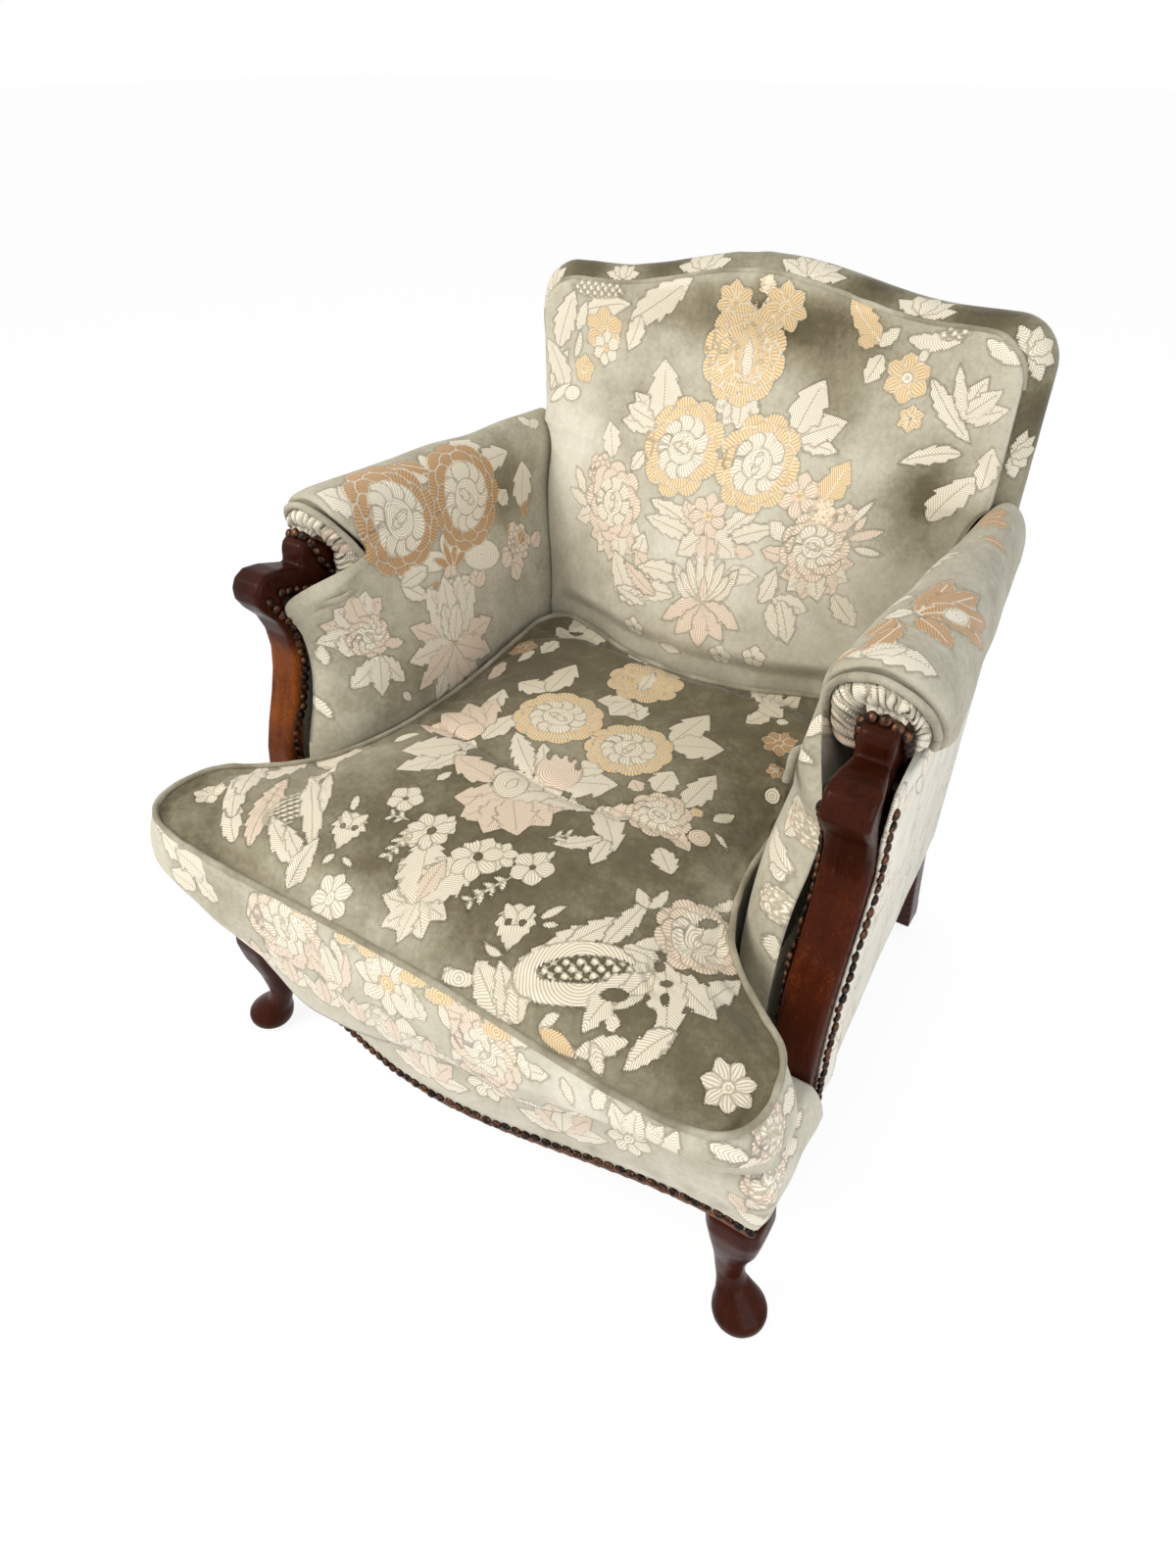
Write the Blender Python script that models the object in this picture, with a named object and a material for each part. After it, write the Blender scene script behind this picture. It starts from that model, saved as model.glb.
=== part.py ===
"""Old upholstered armchair: mahogany show-wood frame, sprung seat, loose T cushion.

Frame: X runs across, with the right of someone facing the chair at +X. The front faces -Y and Z is up. The
origin is on the floor under the middle of the whole chair. Metres throughout. Right-hand pieces are built at
+X and mirrored to -X.
"""

import math

import bmesh
import bpy
from mathutils import Vector

# Fit between neighbours
GAP = 0.0003

# Overall stations, front to back
FRONT_RAIL_FACE_Y = -0.3025
FRONT_RAIL_BOW = 0.0465
FRONT_RAIL_STEPS = 20
REAR_FACE_Y = 0.322

# Seat frame
RAIL_BOTTOM_Z = 0.178
RAIL_TOP_Z = 0.240
RAIL_THICK = 0.026
SEAT_HALF_FRONT = 0.343
SEAT_HALF_REAR = 0.300
FRONT_LEG_SIDE = 0.056
CORNER_BLOCK_LEG = 0.060
CORNER_BLOCK_HEIGHT = 0.045

# Front legs
LEG_KNEE_DROP = 0.050
LEG_ANKLE_RADIUS = 0.0150
LEG_ANKLE_Z = 0.062
PAD_RADIUS = 0.029
PAD_HEIGHT = 0.030
PAD_REACH_SIDE = 0.0215
PAD_REACH_FRONT = 0.0110
KNEE_PROUD = 0.0045

# Rear legs and back uprights
REAR_LEG_SIDE = 0.040
REAR_LEG_RAKE = 0.0445
UPRIGHT_DEPTH = 0.034
UPRIGHT_TOP_Z = 0.735
UPRIGHT_HALF_TOP = 0.270

# Arm posts
POST_WIDE = 0.042
POST_INSET = 0.002
POST_OUTER_X = SEAT_HALF_FRONT - POST_INSET
POST_INNER_X = POST_OUTER_X - POST_WIDE
POST_BEVEL = 0.005
BLOCK_CLEAR = 0.002
HAND_TAPER = 0.011

# Arm rolls
ROLL_CENTRE_Z = 0.596
ROLL_TOP_Z = 0.660
ROLL_TOP_Z_REAR = 0.647
ROLL_FROM_POST = 0.005
ROLL_REAR_INSET = 0.008
ROLL_CENTRE_X_FRONT = POST_INNER_X + ROLL_FROM_POST
ROLL_CENTRE_X_REAR = SEAT_HALF_REAR - ROLL_REAR_INSET
ROLL_RADIUS_X_FRONT = 0.0570
ROLL_RADIUS_X_REAR = 0.0260
ROLL_FRONT_Y = -0.0765
ROLL_FRONT_TOP_Y = -0.106
ARM_PAD_BOTTOM_Z = 0.262
ARM_STUFFING = 0.073
INSIDE_ARM_X = SEAT_HALF_REAR - ARM_STUFFING
INSIDE_ARM_THICK = 0.028
ARM_RAIL_WIDE = 0.020
ARM_RAIL_BOTTOM_Z = 0.562
ARM_RAIL_TOP_Z = 0.600
TACK_RAIL_WIDE = 0.022
TACK_RAIL_HIGH = 0.030
TACK_RAIL_INSET = 0.0007
OUTSIDE_ARM_THICK = 0.005
FACING_THICK = 0.022
FACING_EDGE_INSET = 0.0105
FACING_CLEAR = 0.0050
FACING_PLEATS = 15
PLEAT_DEPTH = 0.0035
ARM_PIPING_RADIUS = 0.0035
POST_TAPER_LOW_Z = 0.500
BORDER_FOOT_Z = 0.600

# Back
SEAM_Y = 0.288
CAMEL_PEAK_Z = 0.831
CAMEL_SHOULDER_Z = 0.803
BACK_CORNER_RADIUS = 0.045
BACK_SEAM_OVERHANG = 0.007
BACK_SEAM_HALF = UPRIGHT_HALF_TOP + BACK_SEAM_OVERHANG
BORDER_RISE = 0.0125
BORDER_STEPS = 18
BORDER_FLARE = 0.020
BACK_PAD_BOTTOM_Z = 0.300
BACK_LEAN = 0.32
BACK_LEAN_TOP_Z = 0.690
BACK_BULGE = 0.062
CREST_RAIL_HIGH = 0.060
LOWER_BACK_RAIL_Z = 0.272
LOWER_BACK_RAIL_HIGH = 0.040
OUTSIDE_BACK_THICK = 0.006
OUTSIDE_BACK_CROWN = 0.004
BACK_WEB_WIDE = 0.050
BACK_WEB_COUNT = 3
BACK_WEB_PITCH = 0.150

# Seat upholstery
WEB_THICK = 0.0016
WEB_WIDE = 0.050
LENGTH_WEBS = 4
LENGTH_WEB_PITCH = 0.115
CROSS_WEBS = 4
CROSS_WEB_PITCH = 0.128
CROSS_WEB_FIRST_Y = -0.185
SPRING_WIRE_RADIUS = 0.0018
SPRING_END_RADIUS = 0.040
SPRING_WAIST_RADIUS = 0.026
SPRING_TURNS = 4
SPRING_ROWS = 3
SPRING_PITCH_X = 0.150
SPRING_PITCH_Y = 0.150
SPRING_TOP_Z = 0.262
HESSIAN_THICK = 0.0015
DECK_TOP_Z = 0.290
DECK_CLEAR = 0.019
DECK_HALF_WIDTH = INSIDE_ARM_X - DECK_CLEAR
BORDER_TOP_Z = 0.286
BORDER_BULGE = 0.014
BORDER_BULGE_LEFT = 0.007
BORDER_SKIRT_Z = 0.190
DUST_COVER_THICK = 0.001

# Seat cushion
CUSHION_CENTRE_Y = -0.140
CUSHION_CROWN_Z = 0.437
CUSHION_PIPE_Z = 0.402
CUSHION_EAR_BULGE = 0.018
CUSHION_LEFT_EAR_BULGE = 0.027
CUSHION_FRONT_BULGE = 0.010
CUSHION_SIDE_BULGE = 0.003
CUSHION_BACK_BULGE = 0.008
CUSHION_PIPING_RADIUS = 0.0035
CREASE_DEPTH = 0.007
CUSHION_FRONT_SAG = 0.024

# The T cushion's piped outline, right half from the middle of the front, then back up the side
CUSHION_OUTLINE = (
    (0.000, -0.352),
    (0.060, -0.353),
    (0.120, -0.356),
    (0.180, -0.360),
    (0.240, -0.363),
    (SEAT_HALF_FRONT - 0.053, -0.362),
    (SEAT_HALF_FRONT - 0.023, -0.354),
    (SEAT_HALF_FRONT - 0.007, -0.335),
    (SEAT_HALF_FRONT - 0.004, -0.300),
    (SEAT_HALF_FRONT - 0.015, -0.268),
    (POST_INNER_X + 0.001, -0.246),
    (INSIDE_ARM_X + 0.043, -0.222),
    (INSIDE_ARM_X + 0.019, -0.194),
    (INSIDE_ARM_X + 0.002, -0.155),
    (INSIDE_ARM_X - 0.0085, -0.110),
    (INSIDE_ARM_X - 0.013, -0.040),
    (INSIDE_ARM_X - 0.017, 0.050),
    (INSIDE_ARM_X - 0.016, 0.120),
    (INSIDE_ARM_X - 0.015, 0.170),
    (INSIDE_ARM_X - 0.033, 0.192),
    (0.150, 0.184),
    (0.090, 0.160),
    (0.000, 0.147),
)

# Arm post side view (y, z): front edge from the seat up to the hand's nose
POST_FRONT = (
    (-0.196, 0.241),
    (-0.201, 0.270),
    (-0.203, 0.307),
    (-0.202, 0.350),
    (-0.197, 0.386),
    (-0.188, 0.415),
    (-0.176, 0.446),
    (-0.167, 0.474),
    (-0.163, 0.499),
    (-0.165, 0.522),
    (-0.173, 0.542),
    (-0.186, 0.557),
    (-0.193, 0.569),
    (-0.193, 0.581),
    (-0.187, 0.591),
    (-0.175, 0.597),
    (-0.158, 0.596),
    (-0.131, 0.589),
)
# The stepped block on the hand, then the hand's underside and the post's back edge down to the seat
POST_BLOCK = (
    (-0.130, 0.602),
    (-0.127, 0.610),
    (-0.119, 0.615),
    (-0.109, 0.613),
    (-0.094, 0.603),
    (-0.084, 0.589),
    (-0.082, 0.573),
    (-0.087, 0.560),
)
POST_BACK = (
    (-0.110, 0.556),
    (-0.142, 0.560),
    (-0.157, 0.565),
    (-0.162, 0.561),
    (-0.155, 0.545),
    (-0.146, 0.523),
    (-0.144, 0.500),
    (-0.147, 0.476),
    (-0.155, 0.450),
    (-0.166, 0.422),
    (-0.175, 0.390),
    (-0.179, 0.350),
    (-0.180, 0.300),
    (-0.173, 0.241),
)

# Nail line of the arm fabric behind the post (z, y): where the inside arm's front edge lies
ARM_FRONT_LINE = (
    (0.262, -0.186),
    (0.350, -0.187),
    (0.390, -0.183),
    (0.424, -0.171),
    (0.452, -0.160),
    (0.480, -0.152),
    (0.523, -0.152),
    (0.560, -0.166),
)
# The rounded front of the inside arm: set back from that line, outboard of the face, fullness of the roll
ARM_NOSE = (
    (0.080, 0.001, 1.0),
    (0.045, 0.008, 1.0),
    (0.025, 0.018, 0.995),
    (0.010, 0.035, 0.96),
    (0.000, 0.058, 0.91),
)


def clear_scene():
    for existing in list(bpy.data.objects):
        bpy.data.objects.remove(existing)


def surface(name, colour, roughness, metallic=0.0):
    """A plain Principled material in the photographed colour."""
    made = bpy.data.materials.new(name)
    made.use_nodes = True
    shader = made.node_tree.nodes["Principled BSDF"]
    shader.inputs["Base Color"].default_value = (*colour, 1.0)
    shader.inputs["Roughness"].default_value = roughness
    shader.inputs["Metallic"].default_value = metallic
    return made


def lerp(a, b, share):
    return a + (b - a) * share


def smooth_step(share):
    share = min(max(share, 0.0), 1.0)
    return share * share * (3.0 - 2.0 * share)


def on_line(points, at):
    """Value at a place on a polyline of (place, value) pairs with rising places."""
    if at <= points[0][0]:
        return points[0][1]
    for (a, low), (b, high) in zip(points, points[1:]):
        if at <= b:
            return lerp(low, high, (at - a) / (b - a))
    return points[-1][1]


def add_object(name, mesh_data, material, smooth_angle=None):
    """Turns a bmesh into a named object with outward faces."""
    bmesh.ops.recalc_face_normals(mesh_data, faces=mesh_data.faces)
    mesh = bpy.data.meshes.new(name)
    mesh_data.to_mesh(mesh)
    mesh_data.free()
    mesh.materials.append(material)
    if smooth_angle is not None:
        mesh.shade_smooth()
        mesh.set_sharp_from_angle(angle=math.radians(smooth_angle))
    made = bpy.data.objects.new(name, mesh)
    bpy.context.scene.collection.objects.link(made)
    return made


def loft(name, rings, material, smooth_angle=40, mirror=False, tips=(None, None)):
    """A closed body through rings of equally many points; tips close an end to a single point."""
    side = -1.0 if mirror else 1.0
    work = bmesh.new()
    made_rings = [[work.verts.new((side * x, y, z)) for x, y, z in ring] for ring in rings]
    for low, high in zip(made_rings, made_rings[1:]):
        count = len(low)
        for i in range(count):
            j = (i + 1) % count
            work.faces.new((low[i], low[j], high[j], high[i]))
    for ring, tip in ((made_rings[0], tips[0]), (made_rings[-1], tips[1])):
        if tip is None:
            work.faces.new(ring)
            continue
        point = work.verts.new((side * tip[0], tip[1], tip[2]))
        for i, vertex in enumerate(ring):
            work.faces.new((vertex, ring[(i + 1) % len(ring)], point))
    return add_object(name, work, material, smooth_angle)


def sheet_loft(name, outer, inner, material, smooth_angle=60, mirror=False):
    """A closed body between an outer and an inner grid of rows, with strip-faced ends."""
    side = -1.0 if mirror else 1.0
    work = bmesh.new()
    outer_rows = [[work.verts.new((side * x, y, z)) for x, y, z in row] for row in outer]
    inner_rows = [[work.verts.new((side * x, y, z)) for x, y, z in row] for row in inner]
    for rows in (outer_rows, inner_rows):
        for a, b in zip(rows, rows[1:]):
            for i in range(len(a) - 1):
                work.faces.new((a[i], a[i + 1], b[i + 1], b[i]))
    for a, b in zip(outer_rows, outer_rows[1:]):
        c, d = inner_rows[outer_rows.index(a)], inner_rows[outer_rows.index(b)]
        work.faces.new((a[0], b[0], d[0], c[0]))
        work.faces.new((a[-1], b[-1], d[-1], c[-1]))
    for a, c in ((outer_rows[0], inner_rows[0]), (outer_rows[-1], inner_rows[-1])):
        for i in range(len(a) - 1):
            work.faces.new((a[i], a[i + 1], c[i + 1], c[i]))
    return add_object(name, work, material, smooth_angle)


def prism(name, outline, axis, low, high, material, bevel=0.0, segments=2, mirror=False):
    """An outline in the two other axes, extruded along axis from low to high."""
    side = -1.0 if mirror else 1.0
    work = bmesh.new()
    place = {
        "x": lambda a, b: (side * low, a, b),
        "y": lambda a, b: (side * a, low, b),
        "z": lambda a, b: (side * a, b, low),
    }[axis]
    along = {"x": (side * (high - low), 0, 0), "y": (0, high - low, 0), "z": (0, 0, high - low)}[axis]
    face = work.faces.new([work.verts.new(place(a, b)) for a, b in outline])
    grown = bmesh.ops.extrude_face_region(work, geom=[face])
    moved = [g for g in grown["geom"] if isinstance(g, bmesh.types.BMVert)]
    bmesh.ops.translate(work, verts=moved, vec=along)
    if bevel:
        rims = [e for e in work.edges if len(e.link_faces) == 2 and is_rim(e)]
        bmesh.ops.bevel(work, geom=rims, offset=bevel, segments=segments, affect="EDGES", profile=0.5)
    return add_object(name, work, material, 35)


def is_rim(edge):
    """True for an edge between an end cap and the wall of a prism."""
    sizes = sorted(len(face.verts) for face in edge.link_faces)
    return sizes[0] == 4 and sizes[1] > 4


def bar(name, start, end, wide, high, material, mirror=False):
    """A straight bar between two points; start and end are the middles of its end faces, cut across Y."""
    rings = []
    for point in (start, end):
        x, y, z = point
        rings.append(
            [
                (x - wide / 2, y, z - high / 2),
                (x + wide / 2, y, z - high / 2),
                (x + wide / 2, y, z + high / 2),
                (x - wide / 2, y, z + high / 2),
            ]
        )
    return loft(name, rings, material, 30, mirror)


def block(name, low, high, material):
    """A plain rectangular piece between two corners."""
    outline = ((low[0], low[1]), (high[0], low[1]), (high[0], high[1]), (low[0], high[1]))
    return prism(name, outline, "z", low[2], high[2], material)


def tube(name, points, radius, material, closed=False, resolution=0, mirror=False):
    """A round cord or wire through points, as a filled curve."""
    side = -1.0 if mirror else 1.0
    curve = bpy.data.curves.new(name, "CURVE")
    curve.dimensions = "3D"
    curve.bevel_depth = radius
    curve.bevel_resolution = resolution
    curve.use_fill_caps = not closed
    line = curve.splines.new("POLY")
    line.points.add(len(points) - 1)
    for target, (x, y, z) in zip(line.points, points):
        target.co = (side * x, y, z, 1.0)
    line.use_cyclic_u = closed
    line.use_smooth = True
    curve.materials.append(material)
    made = bpy.data.objects.new(name, curve)
    bpy.context.scene.collection.objects.link(made)
    return made


def both_sides(build):
    """Builds a piece at +X as its right one and mirrored as its left one, seen from the front."""
    build("right", False)
    build("left", True)


def seat_half_width(y):
    """Outer half width of the seat frame, tapering to the back."""
    share = (y - FRONT_RAIL_FACE_Y) / (REAR_FACE_Y - FRONT_RAIL_FACE_Y)
    return lerp(SEAT_HALF_FRONT, SEAT_HALF_REAR, share)


def front_bow(x):
    """Y of the front rail's face: bowed forward in the middle with flat shoulders."""
    share = abs(x) / SEAT_HALF_FRONT
    return FRONT_RAIL_FACE_Y - FRONT_RAIL_BOW * (1.0 - smooth_step(share * 1.05))


def camel(x, half, peak, shoulder):
    """Height of the camel-back line at x, with a raised middle and rounded corners."""
    hump = math.cos(min(abs(x) / (0.70 * half), 1.0) * math.pi) * 0.5 + 0.5
    top = lerp(shoulder, peak, hump)
    into_corner = abs(x) - (half - BACK_CORNER_RADIUS)
    if into_corner > 0:
        top -= BACK_CORNER_RADIUS - math.sqrt(max(BACK_CORNER_RADIUS**2 - into_corner**2, 0.0))
    return top


def back_outline(inset, low_z, steps=16):
    """Camel outline from the left foot over the top to the right foot, as (x, z), inset from the seam."""
    half = BACK_SEAM_HALF - inset
    across = [half * math.sin(math.pi / 2 * (2 * i / steps - 1)) for i in range(steps + 1)]
    top = [(x, camel(x, half, CAMEL_PEAK_Z - inset, CAMEL_SHOULDER_Z - inset)) for x in across]
    return [(-half, low_z), *top, (half, low_z)]


def roll_centre_x(share):
    """X of the arm roll's middle; share runs from 0 at the back to 1 at the front."""
    return lerp(ROLL_CENTRE_X_REAR, ROLL_CENTRE_X_FRONT, share)


def roll_radius_x(share):
    return lerp(ROLL_RADIUS_X_REAR, ROLL_RADIUS_X_FRONT, share)


def roll_radius_z(share):
    return lerp(ROLL_TOP_Z_REAR, ROLL_TOP_Z, share) - ROLL_CENTRE_Z


def roll_front_y(z):
    """Y of the roll's front: its top leans forward over the hand's block."""
    return lerp(ROLL_FRONT_Y, ROLL_FRONT_TOP_Y, min(max((z - ROLL_CENTRE_Z) / 0.050, 0.0), 1.0))


def inside_arm_x(z, share):
    """X of the inside arm's face at a height, before it turns into the roll."""
    roll = roll_centre_x(share) - roll_radius_x(share)
    swell = smooth_step((z - 0.42) / (ROLL_CENTRE_Z - 0.42))
    return lerp(INSIDE_ARM_X, roll, swell)


def rear_post_inner_face(z):
    """Front face of the rear upright in Y at a height."""
    rake = REAR_LEG_RAKE * max(0.0, 1.0 - z / RAIL_BOTTOM_Z)
    return REAR_FACE_Y - UPRIGHT_DEPTH + rake


def front_leg(wood):
    """Cabriole leg: square knee block, curved shin, round pad foot turned out at the corner."""
    centre_x = SEAT_HALF_FRONT - FRONT_LEG_SIDE / 2 + KNEE_PROUD
    centre_y = FRONT_RAIL_FACE_Y + FRONT_LEG_SIDE / 2
    knee_z = RAIL_BOTTOM_Z - LEG_KNEE_DROP
    half = FRONT_LEG_SIDE / 2
    stations = (
        (RAIL_BOTTOM_Z - GAP, half, 0.06, 0.05),
        (lerp(knee_z, RAIL_BOTTOM_Z, 0.55), half * 1.02, 0.10, 0.15),
        (knee_z, half * 0.88, 0.22, 0.18),
        (lerp(LEG_ANKLE_Z, knee_z, 0.5), half * 0.66, 0.55, 0.04),
        (LEG_ANKLE_Z, LEG_ANKLE_RADIUS, 0.90, 0.0),
        (LEG_ANKLE_Z * 0.72, LEG_ANKLE_RADIUS * 1.02, 1.0, 0.20),
        (PAD_HEIGHT, PAD_RADIUS * 0.78, 1.0, 0.70),
        (PAD_HEIGHT * 0.62, PAD_RADIUS, 1.0, 0.95),
        (PAD_HEIGHT * 0.25, PAD_RADIUS * 0.97, 1.0, 1.0),
        (0.0, PAD_RADIUS * 0.72, 1.0, 0.92),
    )
    rings = []
    for z, radius, roundness, reach in stations:
        x = centre_x + PAD_REACH_SIDE * reach
        y = centre_y - PAD_REACH_FRONT * reach
        rings.append([(x + px, y + py, z) for px, py in squircle(radius, roundness, 16)])
    both_sides(lambda side, mirror: loft(f"front_leg_{side}", rings, wood, 50, mirror))


def squircle(radius, roundness, count):
    """Points of a square (roundness 0) blended into a circle (roundness 1)."""
    points = []
    for i in range(count):
        angle = 2 * math.pi * (i + 0.5) / count
        c, s = math.cos(angle), math.sin(angle)
        square = radius / max(abs(c), abs(s))
        reach = lerp(min(square, radius * 1.36), radius, roundness)
        points.append((reach * c, reach * s))
    return points


def rear_post(wood):
    """Raked square back leg that runs on up as the back upright."""
    half = REAR_LEG_SIDE
    rings = []
    for z, outer_x, wide in (
        (0.0, SEAT_HALF_REAR + 0.003, half),
        (RAIL_BOTTOM_Z, SEAT_HALF_REAR, half),
        (POST_TAPER_LOW_Z, SEAT_HALF_REAR, half),
        (BORDER_FOOT_Z - 0.005, UPRIGHT_HALF_TOP, half * 0.9),
        (UPRIGHT_TOP_Z, UPRIGHT_HALF_TOP, half * 0.9),
    ):
        front = rear_post_inner_face(z)
        rear = front + (REAR_LEG_SIDE if z == 0.0 else UPRIGHT_DEPTH)
        inner_x = outer_x - wide
        rings.append([(inner_x, front, z), (outer_x, front, z), (outer_x, rear, z), (inner_x, rear, z)])
    both_sides(lambda side, mirror: loft(f"rear_post_{side}", rings, wood, 30, mirror))


def front_rail(wood):
    """Bowed show-wood rail that stands on the front legs' knee blocks."""
    rings = []
    for i in range(FRONT_RAIL_STEPS + 1):
        x = lerp(-SEAT_HALF_FRONT, SEAT_HALF_FRONT, i / FRONT_RAIL_STEPS)
        face = front_bow(x)
        rear = FRONT_RAIL_FACE_Y + FRONT_LEG_SIDE
        back = rear if abs(x) > SEAT_HALF_FRONT - FRONT_LEG_SIDE else FRONT_RAIL_FACE_Y + RAIL_THICK
        low, high = RAIL_BOTTOM_Z, RAIL_TOP_Z
        rings.append([(x, face, low), (x, back, low), (x, back, high), (x, face, high)])
    loft("front_rail", rings, wood, 30)


def side_and_back_rails(wood):
    """Side rails between the front rail and the rear posts, and the back rail between the posts."""
    start_y = FRONT_RAIL_FACE_Y + FRONT_LEG_SIDE + GAP
    end_y = rear_post_inner_face(RAIL_TOP_Z) - GAP
    middle_z = (RAIL_BOTTOM_Z + RAIL_TOP_Z) / 2
    high = RAIL_TOP_Z - RAIL_BOTTOM_Z
    start = (seat_half_width(start_y) - RAIL_THICK / 2, start_y, middle_z)
    end = (seat_half_width(end_y) - RAIL_THICK / 2, end_y, middle_z)
    both_sides(
        lambda side, mirror: bar(f"side_rail_{side}", start, end, RAIL_THICK, high, wood, mirror)
    )
    reach = SEAT_HALF_REAR - REAR_LEG_SIDE - GAP
    block(
        "back_seat_rail",
        (-reach, REAR_FACE_Y - UPRIGHT_DEPTH, RAIL_BOTTOM_Z),
        (reach, REAR_FACE_Y - UPRIGHT_DEPTH + RAIL_THICK, RAIL_TOP_Z),
        wood,
    )


def corner_blocks(wood):
    """Glued triangular blocks in the four seat corners, flush with the rails' top."""
    low_z = RAIL_TOP_Z - CORNER_BLOCK_HEIGHT
    front_y = FRONT_RAIL_FACE_Y + FRONT_LEG_SIDE + GAP
    rear_y = REAR_FACE_Y - UPRIGHT_DEPTH - GAP

    def front(side, mirror):
        edge = seat_half_width(front_y) - RAIL_THICK - GAP
        far = seat_half_width(front_y + CORNER_BLOCK_LEG) - RAIL_THICK - GAP
        inner = SEAT_HALF_FRONT - FRONT_LEG_SIDE + GAP
        outline = ((edge, front_y), (far, front_y + CORNER_BLOCK_LEG), (inner, front_y))
        prism(f"front_corner_block_{side}", outline, "z", low_z, RAIL_TOP_Z, wood, mirror=mirror)

    def rear(side, mirror):
        edge = seat_half_width(rear_y) - RAIL_THICK - GAP
        far = seat_half_width(rear_y - CORNER_BLOCK_LEG) - RAIL_THICK - GAP
        outline = ((edge, rear_y), (edge - CORNER_BLOCK_LEG, rear_y), (far, rear_y - CORNER_BLOCK_LEG))
        prism(f"rear_corner_block_{side}", outline, "z", low_z, RAIL_TOP_Z, wood, mirror=mirror)

    both_sides(front)
    both_sides(rear)


def arm_post(wood):
    """S-shaped show-wood post with a rounded hand and a small stepped block above it."""
    foot = ((POST_BACK[-1][0], RAIL_TOP_Z + GAP), (POST_FRONT[0][0], RAIL_TOP_Z + GAP))
    outline = [*foot[1:], *POST_FRONT[1:], *POST_BLOCK, *POST_BACK[:-1], foot[0]]

    def build(side, mirror):
        low, high = POST_INNER_X, POST_OUTER_X
        post = prism(f"arm_post_{side}", outline, "x", low, high, wood, POST_BEVEL, 2, mirror)
        middle = (POST_INNER_X + POST_OUTER_X) / 2
        for vertex in post.data.vertices:
            across = max(0.0, (abs(vertex.co.x) - middle) / (POST_OUTER_X - middle))
            along = smooth_step((vertex.co.y + 0.180) / 0.060) * smooth_step((vertex.co.z - 0.535) / 0.020)
            vertex.co.x -= math.copysign(HAND_TAPER * across * along, vertex.co.x)

    both_sides(build)


def arm_rails(wood):
    """Rail inside each roll from the hand to the upright, and the lower rail the inside arm is tacked to."""
    front_y = POST_BLOCK[-2][0] + GAP
    rear_y = rear_post_inner_face(ARM_RAIL_TOP_Z) - GAP
    middle_z = (ARM_RAIL_BOTTOM_Z + ARM_RAIL_TOP_Z) / 2
    high = ARM_RAIL_TOP_Z - ARM_RAIL_BOTTOM_Z
    post_x = (POST_INNER_X + POST_OUTER_X) / 2
    start = (post_x, front_y, middle_z)
    end = (arm_rail_x(0.0), rear_y, middle_z)
    both_sides(lambda side, mirror: bar(f"arm_rail_{side}", start, end, ARM_RAIL_WIDE, high, wood, mirror))

    low_z = ARM_PAD_BOTTOM_Z + TACK_RAIL_HIGH / 2
    tack_x = INSIDE_ARM_X + INSIDE_ARM_THICK + GAP + TACK_RAIL_WIDE / 2
    front = (tack_x, on_line(ARM_FRONT_LINE, low_z) + ARM_NOSE[0][0] + 4 * GAP, low_z)
    rear_x = SEAT_HALF_REAR - TACK_RAIL_WIDE / 2 - TACK_RAIL_INSET
    rear = (rear_x, rear_post_inner_face(low_z) - GAP, low_z)
    wide, tall = TACK_RAIL_WIDE, TACK_RAIL_HIGH
    both_sides(
        lambda side, mirror: bar(f"lower_arm_rail_{side}", front, rear, wide, tall, wood, mirror)
    )


def arm_rail_x(share):
    """X of the arm rail's middle along the arm."""
    return lerp(roll_centre_x(0.0) - 0.004, (POST_INNER_X + POST_OUTER_X) / 2, share)


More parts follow.
